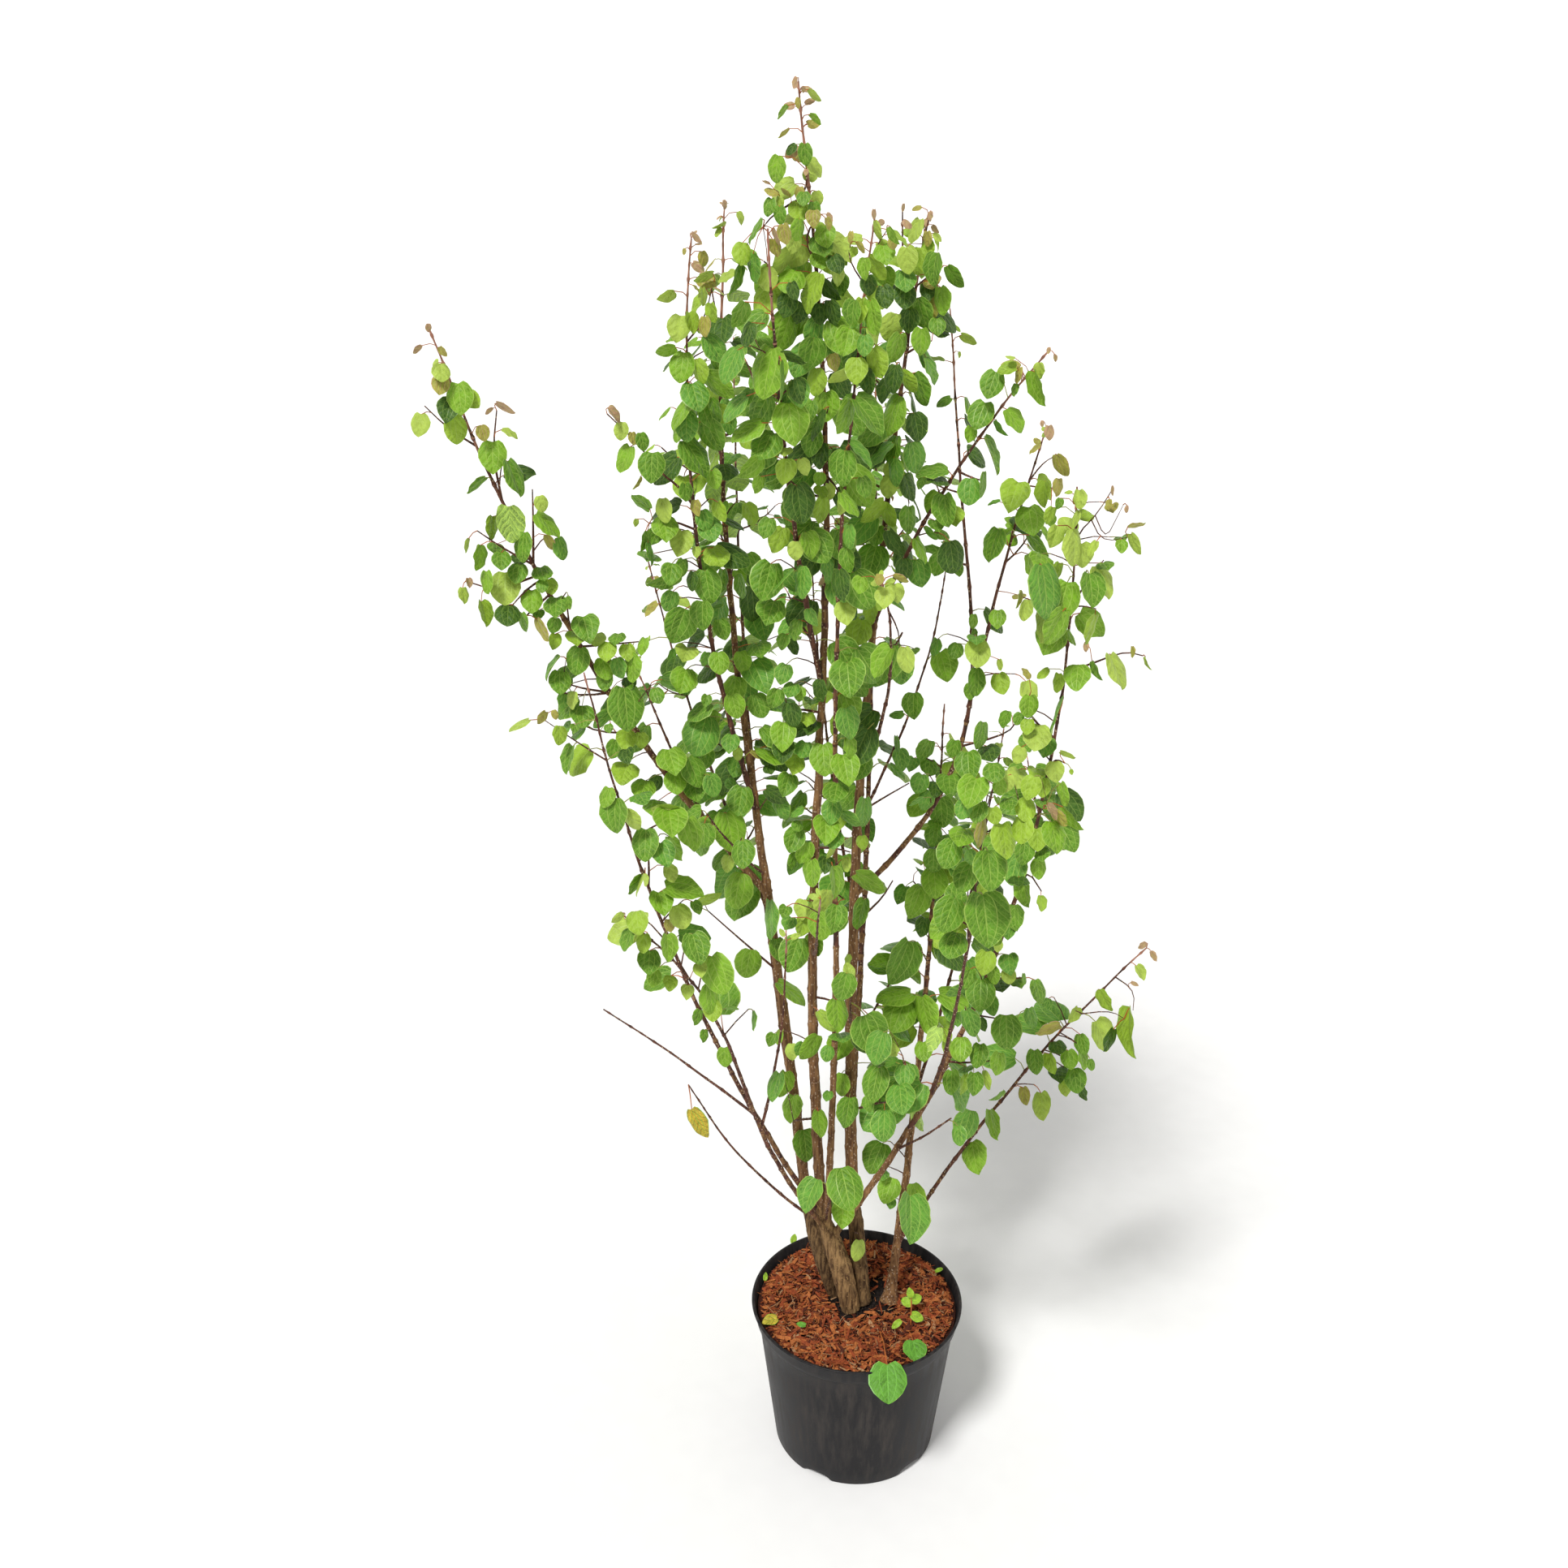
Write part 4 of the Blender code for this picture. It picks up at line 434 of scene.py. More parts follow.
               (1020, 1350, 14, 14), (1110, 1353, 38, 36), (1029, 1484, 18, 30), (1087, 1445, 20, 14),
               (1098, 1482, 14, 14)),
      "deep": ((1000, 864, 24, 12), (1000, 895, 24, 18), (1018, 1064, 22, 16))}),
    (("right_whip", "right_fork", "right_arm", "right_cluster", "low_right_arm", "upper_right_arm", "front_stem",
      "right_stem", "arm_spur_right", "arm_spur_low"), (),
     {"bronze": ((1256, 735, 18, 8), (1370, 626, 18, 8)),
      "fresh": ((1294, 635, 16, 22), (1277, 952, 24, 14)),
      "bright": ((1283, 690, 34, 18),),
      "mature": ((1154, 647, 22, 12), (1127, 802, 14, 10), (1382, 663, 20, 8), (1362, 697, 24, 14),
                 (1225, 948, 30, 20), (1255, 885, 14, 16), (1243, 990, 24, 12), (1286, 990, 24, 10),
                 (1152, 1018, 20, 16), (1284, 1052, 22, 12), (1255, 1210, 20, 14), (1345, 1311, 12, 14)),
      "cool": ((1152, 797, 16, 22), (1203, 788, 24, 12), (1124, 940, 20, 18), (1288, 920, 26, 26),
               (1165, 1035, 16, 14), (1243, 1148, 20, 18), (1243, 1186, 26, 22), (1221, 1238, 18, 26),
               (1290, 1237, 14, 16), (1190, 1318, 22, 12), (1180, 1398, 16, 24)),
      "deep": ((1104, 668, 20, 36), (1153, 971, 22, 16), (1218, 925, 30, 20), (1255, 1085, 30, 16),
               (1137, 1142, 20, 24), (1232, 1213, 30, 16), (1210, 1262, 14, 18), (1303, 1290, 22, 18),
               (1304, 1322, 26, 14), (1333, 1345, 14, 22)),
      "turned": ((1152, 1280, 22, 32),)}),
    (("far_left_arm",), (),
     {"fresh": ((607, 650, 18, 30),),
      "mature": ((612, 676, 24, 10), (668, 722, 16, 16), (663, 757, 16, 14), (683, 770, 18, 20), (700, 742, 10, 16)),
      "cool": ((695, 862, 16, 20), (762, 822, 18, 26)),
      "deep": ((640, 690, 22, 14), (775, 840, 20, 16))}),
)


def linear(hex_colour):
    """An sRGB hex colour as linear red, green and blue."""
    channels = [int(hex_colour[k:k + 2], 16) / 255 for k in (1, 3, 5)]
    return tuple(c / 12.92 if c <= 0.04045 else ((c + 0.055) / 1.055) ** 2.4 for c in channels)


def colour_property(name, description, hex_colour):
    return FloatVectorProperty(name=name, description=description, default=linear(hex_colour), size=3,
                               min=0.0, max=1.0, subtype="COLOR")


class KatsuraLeafSettings(bpy.types.PropertyGroup):
    """Sizes and colours of the leaves and their stalks."""

    node_spacing: FloatProperty(name="Node spacing", description="Between two pairs of leaves on a stem",
                                default=0.027, min=0.02, max=0.12, unit="LENGTH")
    twig_chance: FloatProperty(name="Side twigs", description="Share of the leaves that are a side twig instead",
                               default=0.38, min=0.0, max=1.0, subtype="FACTOR")
    twig_length: FloatProperty(name="Side twig length", description="Length of a middling side twig",
                               default=0.056, min=0.01, max=0.12, unit="LENGTH")
    low_length: FloatProperty(name="Low blade length", description="Blade length on the low wood",
                              default=0.052, min=0.01, max=0.12, unit="LENGTH")
    top_length: FloatProperty(name="Top blade length", description="Blade length at the top of the crown",
                              default=0.038, min=0.01, max=0.12, unit="LENGTH")
    stalk_share: FloatProperty(name="Stalk length", description="Stalk length as a share of the blade's",
                               default=0.36, min=0.1, max=0.8, subtype="FACTOR")
    seed: IntProperty(name="Seed", description="Another plant of the same build", default=97, min=0)
    # Deep green is painted shade, dealt to leaves inside and behind the crown and to listed leaves that lie in shade.
    deep: colour_property("Deep green", "Old leaves inside the crown", "#385D14")
    mature: colour_property("Mature green", "Grown leaves of the year", "#5E8E1F")
    bright: colour_property("Bright green", "Grown leaves in full light", "#7BA925")
    fresh: colour_property("Fresh green", "Leaves that have just grown out", "#97B933")
    lime: colour_property("Lime", "Young leaves near the tips", "#AEC651")
    cool: colour_property("Cool green", "Large smooth leaves on the low wood", "#5E9630")
    bronze: colour_property("Bronze", "Leaves that are still unfolding", "#A8A046")
    pink: colour_property("Pink", "Buds and the first small leaves of a tip", "#BE9676")
    yellow: colour_property("Yellow", "Leaves about to drop", "#CDB53A")
    vein: colour_property("Vein", "Ribs of the green leaves", "#B1CC5E")
    underside: colour_property("Underside", "Pale lower face of the leaves", "#9ABB5E")
    red_stalk: colour_property("Red stalk", "Stalks in full light", "#BE6A2C")
    green_stalk: colour_property("Green stalk", "Stalks in the shade", "#A5A44C")


class KatsuraBarkSettings(bpy.types.PropertyGroup):
    """Colours and relief of the bark."""

    ridge_height: FloatProperty(name="Ridge height", description="Depth of the furrows on the stool",
                                default=0.0011, min=0.0, max=0.005, unit="LENGTH", precision=4)
    knob_height: FloatProperty(name="Knob height", description="Stand of the spurs at each node",
                               default=0.0010, min=0.0, max=0.004, unit="LENGTH", precision=4)
    ridge: colour_property("Ridge", "Weathered ridges of the stool", "#98784F")
    furrow: colour_property("Furrow", "Furrows of the stool", "#4B3520")
    stem: colour_property("Stem", "Bark of the thick stems", "#936D47")
    stem_dark: colour_property("Stem, dark", "Shaded streaks of the thick stems", "#5B3D27")
    whip: colour_property("Whip", "Bark of one-year wood", "#6E4232")
    whip_dark: colour_property("Whip, dark", "Dark patches of one-year wood", "#3D251E")
    lenticel: colour_property("Lenticel", "Pale breathing spots of the bark", "#B79B80")
    tip: colour_property("Tip", "Soft pink wood of the growing tips", "#AD7660")


class KatsuraPotSettings(bpy.types.PropertyGroup):
    """Colours of the pot and what fills it."""

    plastic: colour_property("Plastic", "Black of the moulded pot", "#19181A")
    dust: colour_property("Dust", "Dried splashes that run down the wall", "#4A4440")
    chip_count: IntProperty(name="Mulch chips", description="Number of bark chips", default=4200, min=0)
    fibre_count: IntProperty(name="Mulch fibres", description="Number of loose fibres", default=1100, min=0)
    chip_length: FloatProperty(name="Chip length", description="Length of a middling chip",
                               default=0.0105, min=0.002, max=0.05, unit="LENGTH")
    red_chip: colour_property("Red chips", "Most of the shredded bark", "#A44F29")
    # The dark chips are partly wet dark bark and partly painted shade for the chips that lie low in the layer; the bed
    # takes it, darker still, as painted shade between the chips.
    dark_chip: colour_property("Dark chips", "Wet and shaded bark", "#5E2B19")
    orange_chip: colour_property("Orange chips", "Freshly torn bark", "#C5743D")
    pale_chip: colour_property("Pale chips", "Splinters of bare wood", "#C79B70")
    soil: colour_property("Soil", "Moist peat round the feet", "#17100D")


class KatsuraStageSettings(bpy.types.PropertyGroup):
    """Camera, floor and lights."""

    camera_place: FloatVectorProperty(name="Camera place", description="Where the camera stands",
                                      default=CAMERA_PLACE, size=3, subtype="TRANSLATION")
    camera_pitch: FloatProperty(name="Camera pitch", description="Turn up from straight down",
                                default=math.radians(CAMERA_PITCH_DEG), subtype="ANGLE")
    camera_lens: FloatProperty(name="Lens", description="Focal length on a 36 mm sensor, in millimetres",
                               default=37.27, min=10.0, max=200.0)
    floor: colour_property("Floor", "Pale plain floor", "#F7F6F4")


def add_node(tree, kind, settings=None, inputs=None):
    """Adds one node: its own settings, then its inputs, each a value or another node's output."""
    made = tree.nodes.new(kind)
    for name, value in (settings or {}).items():
        setattr(made, name, value)
    for name, value in (inputs or {}).items():
        socket = made.inputs[name]
        if isinstance(value, bpy.types.NodeSocket):
            tree.links.new(value, socket)
        elif socket.type == "RGBA":
            socket.default_value = (*value[:3], 1.0)
        else:
            socket.default_value = value
    return made


def new_material(name):
    """A material with an empty tree, and the object's own coordinates."""
    made = bpy.data.materials.new(name)
    made.use_nodes = True
    made.node_tree.nodes.clear()
    return made, made.node_tree, add_node(made.node_tree, "ShaderNodeTexCoord").outputs["Object"]


def per_mm(size):
    """The texture scale at which one feature measures so many millimetres."""
    return 1.0 / (size * MM)


def per_mm3(sizes):
    """The same along X, Y and Z."""
    return tuple(per_mm(size) for size in sizes)


def dimmed(colour, share):
    """A colour of the same hue, darker or lighter."""
    return tuple(min(1.0, channel * share) for channel in colour)


def finish_material(made, inputs):
    """A Principled shader on the material's output."""
    tree = made.node_tree
    shader = add_node(tree, "ShaderNodeBsdfPrincipled", inputs=inputs)
    add_node(tree, "ShaderNodeOutputMaterial", inputs={"Surface": shader.outputs["BSDF"]})
    return made


def blade_material(name, colour, pale):
    """Leaf tissue under a thin waxy skin: pale side veins run out from the midrib, and the tissue between
    them stands up in soft quilts that catch the light."""
    made, tree, place = new_material(name)
    flat = add_node(tree, "ShaderNodeUVMap", {"uv_map": "blade"})
    parts = add_node(tree, "ShaderNodeSeparateXYZ", None, {"Vector": flat.outputs["UV"]})
    out = add_node(tree, "ShaderNodeMath", {"operation": "ABSOLUTE"}, {0: parts.outputs["X"]})
    rise = add_node(tree, "ShaderNodeMath", {"operation": "MULTIPLY_ADD"},
                    {0: out.outputs["Value"], 1: -1.15, 2: parts.outputs["Y"]})
    mottle = add_node(tree, "ShaderNodeTexNoise", None, {"Vector": place, "Scale": per_mm(12), "Detail": 3.0})
    waver = add_node(tree, "ShaderNodeMath", {"operation": "MULTIPLY_ADD"},
                     {0: mottle.outputs["Fac"], 1: 11 * MM, 2: rise.outputs["Value"]})
    rows = add_node(tree, "ShaderNodeMath", {"operation": "MULTIPLY"},
                    {0: waver.outputs["Value"], 1: per_mm(8.5)})
    quilt = add_node(tree, "ShaderNodeMath", {"operation": "PINGPONG"}, {0: rows.outputs["Value"], 1: 0.5})
    side = add_node(tree, "ShaderNodeMapRange", {"interpolation_type": "SMOOTHSTEP"},
                    {"Value": quilt.outputs["Value"], "From Min": 0.02, "From Max": 0.13})
    share = add_node(tree, "ShaderNodeMapRange", None,
                     {"Value": mottle.outputs["Fac"], "From Min": 0.34, "From Max": 0.66})
    base = add_node(tree, "ShaderNodeMix", {"data_type": "RGBA"},
                    {0: share.outputs["Result"], 6: dimmed(colour, 1.14), 7: dimmed(colour, 0.70)})
    net = add_node(tree, "ShaderNodeTexVoronoi", {"feature": "DISTANCE_TO_EDGE"},
                   {"Vector": place, "Scale": per_mm(3.6)})
    cell = add_node(tree, "ShaderNodeMapRange", None,
                    {"Value": net.outputs["Distance"], "From Min": 0.0, "From Max": 0.22, "To Min": 0.55})
    seen = add_node(tree, "ShaderNodeMath", {"operation": "MULTIPLY"},
                    {0: side.outputs["Result"], 1: cell.outputs["Result"]})
    paint = add_node(tree, "ShaderNodeMix", {"data_type": "RGBA"},
                     {0: seen.outputs["Value"], 6: pale, 7: base.outputs[2]})
    height = add_node(tree, "ShaderNodeMath", {"operation": "MULTIPLY_ADD"},
                      {0: quilt.outputs["Value"], 1: 2.4, 2: cell.outputs["Result"]})
    pucker = add_node(tree, "ShaderNodeBump", None, {"Height": height.outputs["Value"], "Distance": 0.5 * MM})
    return finish_material(made, {"Base Color": paint.outputs[2], "Roughness": 0.5, "Specular IOR Level": 0.30,
                                  "Normal": pucker.outputs["Normal"]})


def plain_material(name, colour, spot_mm, darker, roughness, specular, sheen=0.0):
    """Smooth juicy tissue: a slow change of shade along it shows that it grew and was not drawn."""
    made, tree, place = new_material(name)
    blush = add_node(tree, "ShaderNodeTexNoise", None, {"Vector": place, "Scale": per_mm(spot_mm), "Detail": 1.5})
    share = add_node(tree, "ShaderNodeMapRange", None,
                     {"Value": blush.outputs["Fac"], "From Min": 0.35, "From Max": 0.65})
    paint = add_node(tree, "ShaderNodeMix", {"data_type": "RGBA"},
                     {0: share.outputs["Result"], 6: colour, 7: dimmed(colour, darker)})
    return finish_material(made, {"Base Color": paint.outputs[2], "Roughness": roughness,
                                  "Specular IOR Level": specular, "Sheen Weight": sheen})


def bark_material(name, pale, dark, spot, streak_mm, roughness):
    """Katsura bark: streaks along the limb tell its age, and pale corky lenticels across it its kind."""
    made, tree, place = new_material(name)
    drawn = add_node(tree, "ShaderNodeMapping", None, {"Vector": place, "Scale": per_mm3(streak_mm)})
    streak = add_node(tree, "ShaderNodeTexNoise", None,
                      {"Vector": drawn.outputs["Vector"], "Scale": 1.0, "Detail": 4.0})
    share = add_node(tree, "ShaderNodeMapRange", None,
                     {"Value": streak.outputs["Fac"], "From Min": 0.36, "From Max": 0.64})
    base = add_node(tree, "ShaderNodeMix", {"data_type": "RGBA"}, {0: share.outputs["Result"], 6: dark, 7: pale})
    dotted = add_node(tree, "ShaderNodeMapping", None, {"Vector": place, "Scale": per_mm3((3.4, 3.4, 5.0))})
    corks = add_node(tree, "ShaderNodeTexVoronoi", {"feature": "F1"},
                     {"Vector": dotted.outputs["Vector"], "Scale": 1.0})
    cork = add_node(tree, "ShaderNodeMapRange", None,
                    {"Value": corks.outputs["Distance"], "From Min": 0.30, "From Max": 0.18})
    paint = add_node(tree, "ShaderNodeMix", {"data_type": "RGBA"},
                     {0: cork.outputs["Result"], 6: base.outputs[2], 7: spot})
    height = add_node(tree, "ShaderNodeMath", {"operation": "ADD"},
                      {0: streak.outputs["Fac"], 1: cork.outputs["Result"]})
    relief = add_node(tree, "ShaderNodeBump", None, {"Height": height.outputs["Value"], "Distance": 0.5 * MM})
    return finish_material(made, {"Base Color": paint.outputs[2], "Roughness": roughness,
                                  "Specular IOR Level": 0.3, "Normal": relief.outputs["Normal"]})


def pot_material(settings):
    """Injection-moulded polypropylene: satin black, and the dust that ran down it shows its use."""
    made, tree, place = new_material("moulded_polypropylene")
    drawn = add_node(tree, "ShaderNodeMapping", None, {"Vector": place, "Scale": per_mm3((9, 9, 70))})
    runs = add_node(tree, "ShaderNodeTexNoise", None,
                    {"Vector": drawn.outputs["Vector"], "Scale": 1.0, "Detail": 6.0, "Roughness": 0.62})
    run = add_node(tree, "ShaderNodeMapRange", None,
                   {"Value": runs.outputs["Fac"], "From Min": 0.42, "From Max": 0.74})
    clouds = add_node(tree, "ShaderNodeTexNoise", None, {"Vector": place, "Scale": per_mm(85), "Detail": 3.0})
    cloud = add_node(tree, "ShaderNodeMapRange", None,
                     {"Value": clouds.outputs["Fac"], "From Min": 0.2, "From Max": 0.7})
    dusty = add_node(tree, "ShaderNodeMath", {"operation": "MULTIPLY"},
                     {0: run.outputs["Result"], 1: cloud.outputs["Result"]})
    specks = add_node(tree, "ShaderNodeTexNoise", None, {"Vector": place, "Scale": per_mm(1.6), "Detail": 2.0})
    speck = add_node(tree, "ShaderNodeMapRange", None,
                     {"Value": specks.outputs["Fac"], "From Min": 0.62, "From Max": 0.80})
    dust = add_node(tree, "ShaderNodeMath", {"operation": "MULTIPLY_ADD", "use_clamp": True},
                    {0: speck.outputs["Result"], 1: 0.35, 2: dusty.outputs["Value"]})
    paint = add_node(tree, "ShaderNodeMix", {"data_type": "RGBA"},
                     {0: dust.outputs["Value"], 6: tuple(settings.plastic), 7: tuple(settings.dust)})
    rough = add_node(tree, "ShaderNodeMapRange", None,
                     {"Value": dusty.outputs["Value"], "To Min": 0.46, "To Max": 0.85})
    grain = add_node(tree, "ShaderNodeTexNoise", None, {"Vector": place, "Scale": per_mm(0.9), "Detail": 2.0})
    relief = add_node(tree, "ShaderNodeBump", None, {"Height": grain.outputs["Fac"], "Distance": 0.05 * MM})
    return finish_material(made, {"Base Color": paint.outputs[2], "Roughness": rough.outputs["Result"],
                                  "Specular IOR Level": 0.20, "Normal": relief.outputs["Normal"]})


def crumb_material(name, colour, crumb_mm, low, high, darker, lighter, roughness, relief_mm):
    """Torn bark or moist peat: fibres and crumbs that break up the light."""
    made, tree, place = new_material(name)
    crumb = add_node(tree, "ShaderNodeTexNoise", None, {"Vector": place, "Scale": per_mm(crumb_mm), "Detail": 5.0})
    share = add_node(tree, "ShaderNodeMapRange", None,
                     {"Value": crumb.outputs["Fac"], "From Min": low, "From Max": high})
    paint = add_node(tree, "ShaderNodeMix", {"data_type": "RGBA"},
                     {0: share.outputs["Result"], 6: dimmed(colour, darker), 7: dimmed(colour, lighter)})
    relief = add_node(tree, "ShaderNodeBump", None, {"Height": crumb.outputs["Fac"], "Distance": relief_mm * MM})
    return finish_material(made, {"Base Color": paint.outputs[2], "Roughness": roughness,
                                  "Specular IOR Level": 0.3, "Normal": relief.outputs["Normal"]})


class Pile:
    """Gathers the shapes of one kind and joins them into one piece."""

    def __init__(self):
        self.points = []
        self.faces = []
        self.slots = []
        self.flat = []

    def add(self, points, faces, slots=0, flat=()):
        start = len(self.points)
        self.flat.extend(flat)
        self.points.extend(tuple(p) for p in points)
        self.faces.extend(tuple(index + start for index in face) for face in faces)
        self.slots.extend([slots] * len(faces) if isinstance(slots, int) else slots)

    def make(self, name, materials, slot, sharp_deg=50.0):
        """One mesh object that rides on the plant's only body."""
        mesh = bpy.data.meshes.new(name)
        mesh.from_pydata(self.points, [], self.faces)
        for material in materials:
            mesh.materials.append(material)
        mesh.polygons.foreach_set("material_index", self.slots)
        if self.flat:
            corners = np.zeros(len(mesh.loops), dtype=np.int32)
            mesh.loops.foreach_get("vertex_index", corners)
            flat = np.array(self.flat, dtype=np.float32)[corners]
            mesh.uv_layers.new(name="blade").data.foreach_set("uv", flat.ravel())
        mesh.shade_smooth()
        mesh.set_sharp_from_angle(angle=math.radians(sharp_deg))
        obj = bpy.data.objects.new(name, mesh)
        bpy.context.scene.collection.objects.link(obj)
        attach(obj, "root")
        return obj


class Axis:
    """One shoot's line, bowed once and, on some, waved once, with the slight waver of real wood."""

    def __init__(self, shoot, start, order, spacing, seed):
        self.shoot = shoot
        self.start = start
        self.run = Vector(shoot.tip) - start
        self.shift = Vector((order * 7.3, 1.7, 4.1))
        points = [self.point(k / 60) for k in range(61)]
        self.length = sum((b - a).length for a, b in zip(points, points[1:]))
        self.pairs = self.find_pairs(random.Random(seed + order), spacing)

    def point(self, t):
        bow = Vector(self.shoot.bow) * (4 * t * (1 - t))
        wave = Vector(self.shoot.wave) * math.sin(2 * math.pi * t)
        along = Vector((0, 0, t * self.run.length / WAVER_LENGTH))
        waver = noise.noise_vector(self.shift + along) * WAVER * min(1.0, 10 * t)
        return self.start + self.run * t + bow + wave + waver

    def tangent(self, t):
        step = 0.004
        return (self.point(t + step) - self.point(t - step)).normalized()

    def radius(self, t):
        """Lobes swell and flare at the foot, shoots taper to the tip."""
        flare = FOOT_FLARE * math.exp(-t * self.length / FLARE_REACH)
        shoot = self.shoot
        if isinstance(shoot.base, tuple):
            foot, middle, head = shoot.base
            return foot * (1 - t) + head * t + (middle - (foot + head) / 2) * 4 * t * (1 - t) + flare
        left = (1 - t) ** 0.85 if shoot.base > 0.012 and t < 1 else 1 - t
        radius = TIP_RADIUS + (shoot.base / 2 - TIP_RADIUS) * left
        if shoot.parent == "soil" and shoot.leafy:
            radius += flare
        return radius

    def find_pairs(self, dice, spacing):
        """Where the opposite pairs stand, from the tip down, closer together on young wood."""
        leafy = self.shoot.leafy
        if leafy is None:
            return []
        run = self.length - 0.009
        angle = dice.uniform(0, 360)
        pairs = []
        while run > 0.022:
            t = run / self.length
            tangent = self.tangent(min(t, 0.99))
            side = tangent.orthogonal().normalized()
            turn = math.radians(angle + dice.uniform(-15, 15))
            azimuth = side * math.cos(turn) + tangent.cross(side) * math.sin(turn)
            pairs.append((t, azimuth, t >= leafy and leafy < 1))
            angle += 90
            near_tip = smoothed((self.length - run) / 0.13)
            run -= spacing * (0.52 + 0.48 * near_tip) * dice.uniform(0.85, 1.15)
        return pairs


def find_axes(spacing, seed):
    """Every axis by name, parents before what grows on them."""
    axes = {}
    for order, shoot in enumerate(LOBES + SHOOTS):
        if isinstance(shoot.root, tuple):
            far = math.hypot(*shoot.root) > SOIL_FLAT_RADIUS
            start = Vector((*shoot.root, (SOIL_CREST_Z if far else SOIL_FOOT_Z) + GAP))
        else:
            start = axes[shoot.parent].point(shoot.root)
        axes[shoot.name] = Axis(shoot, start, order, spacing, seed)
    return axes


def tube(points, radii, sides):
    """A closed tube of rings along points, ended in two flat caps."""
    points = [Vector(p) for p in points]
    last = len(points) - 1
    tangents = [(points[min(k + 1, last)] - points[max(k - 1, 0)]).normalized() for k in range(last + 1)]
    side = tangents[0].orthogonal().normalized()
    vertices = []
    for point, radius, tangent in zip(points, radii, tangents):
        side = (side - tangent * side.dot(tangent)).normalized()
        across = tangent.cross(side)
        for s in range(sides):
            angle = 2 * math.pi * s / sides
            vertices.append(point + (side * math.cos(angle) + across * math.sin(angle)) * radius)
    faces = [tuple(reversed(range(sides)))]
    for k in range(last):
        for s in range(sides):
            after = (s + 1) % sides
            low = k * sides
            faces.append((low + s, low + after, low + sides + after, low + sides + s))
    faces.append(tuple(range(last * sides, (last + 1) * sides)))
    return vertices, faces


def ring_fractions(axis, low, high):
    """Rings every 8 mm, and closer round each node so that its knobs show."""
    length = axis.length
    count = max(3, round(length * (high - low) / 0.008))
    wanted = [low + (high - low) * k / count for k in range(count + 1)]
    for t, _, _ in axis.pairs:
        wanted.extend(t + offset * MM / length for offset in (-3.2, -1.3, 0.6, 2.6))
    wanted = sorted(t for t in wanted if low <= t <= high)
    kept = [wanted[0]]
    for t in wanted[1:]:
        if (t - kept[-1]) * length > 0.9 * MM:
            kept.append(t)
    return kept


def limb(axis, low, high, sides, knob_height, dice):
    """A limb with its bark's relief: knobs at the nodes, ripples between them."""
    length = axis.length
    fractions = ring_fractions(axis, low, high)
    old = axis.radius(low)
    side = axis.tangent(low).orthogonal().normalized()
    knots = [(t * length, azimuth) for t, azimuth, _ in axis.pairs]
    vertices = []
    slots = []
    for t in fractions:
        point = axis.point(t)
        tangent = axis.tangent(t)
        side = (side - tangent * side.dot(tangent)).normalized()
        across = tangent.cross(side)
        run = t * length
        radius = axis.radius(t)
        collar = 1 + 0.45 * math.exp(-run / (1.6 * old)) if axis.shoot.root != 1 else 1
        near = [(run - place, azimuth) for place, azimuth in knots if abs(run - place) < 0.009]
        for s in range(sides):
            angle = 2 * math.pi * s / sides
            outward = side * math.cos(angle) + across * math.sin(angle)
            stand = radius * collar
            for offset, azimuth in near:
                bell = math.exp(-(offset / 0.0026) ** 2)
                stand += knob_height * bell * (0.22 + 0.78 * abs(outward.dot(azimuth)) ** 3)
            spot = point + outward * radius
            ripple = noise.noise(Vector((spot.x * 260, spot.y * 260, spot.z * 70)))
            stand += ripple * radius * 0.10
            vertices.append(point + outward * stand)
        soft = 0.11 if axis.shoot.tip[2] > 1.4 else 0.03
        young = (1 - t) * length < soft * (0.55 + 0.9 * dice.random()) and axis.shoot.leafy < 1
        thin = radius < 0.0030 + dice.uniform(-0.0012, 0.0012)
        slots.append(2 if young and length > 0.2 else (1 if thin else 0))
    faces = [tuple(reversed(range(sides)))]
    face_slots = [slots[0]]
    for k in range(len(fractions) - 1):
        for s in range(sides):
            after = (s + 1) % sides
            base = k * sides
            faces.append((base + s, base + after, base + sides + after, base + sides + s))
            face_slots.append(slots[k])
    last = (len(fractions) - 1) * sides
    faces.append(tuple(range(last, last + sides)))
    face_slots.append(slots[-1])
    return vertices, faces, face_slots


def nearest_lobes(axes, places):
    """The lobe that each place on the stool belongs to."""
    shares = [k / 20 for k in range(21)]
    risen = np.clip((places[:, 2] - SOIL_FOOT_Z) / (HEAD_Z - SOIL_FOOT_Z), 0, 1)
    away = []
    for shoot in LOBES:
        axis = axes[shoot.name]
        across = np.interp(risen, shares, [axis.point(t).x for t in shares])
        deep = np.interp(risen, shares, [axis.point(t).y for t in shares])
        thick = np.interp(risen, shares, [axis.radius(t) for t in shares])
        away.append(np.hypot(places[:, 0] - across, places[:, 1] - deep) - thick)
    return np.argmin(away, axis=0)


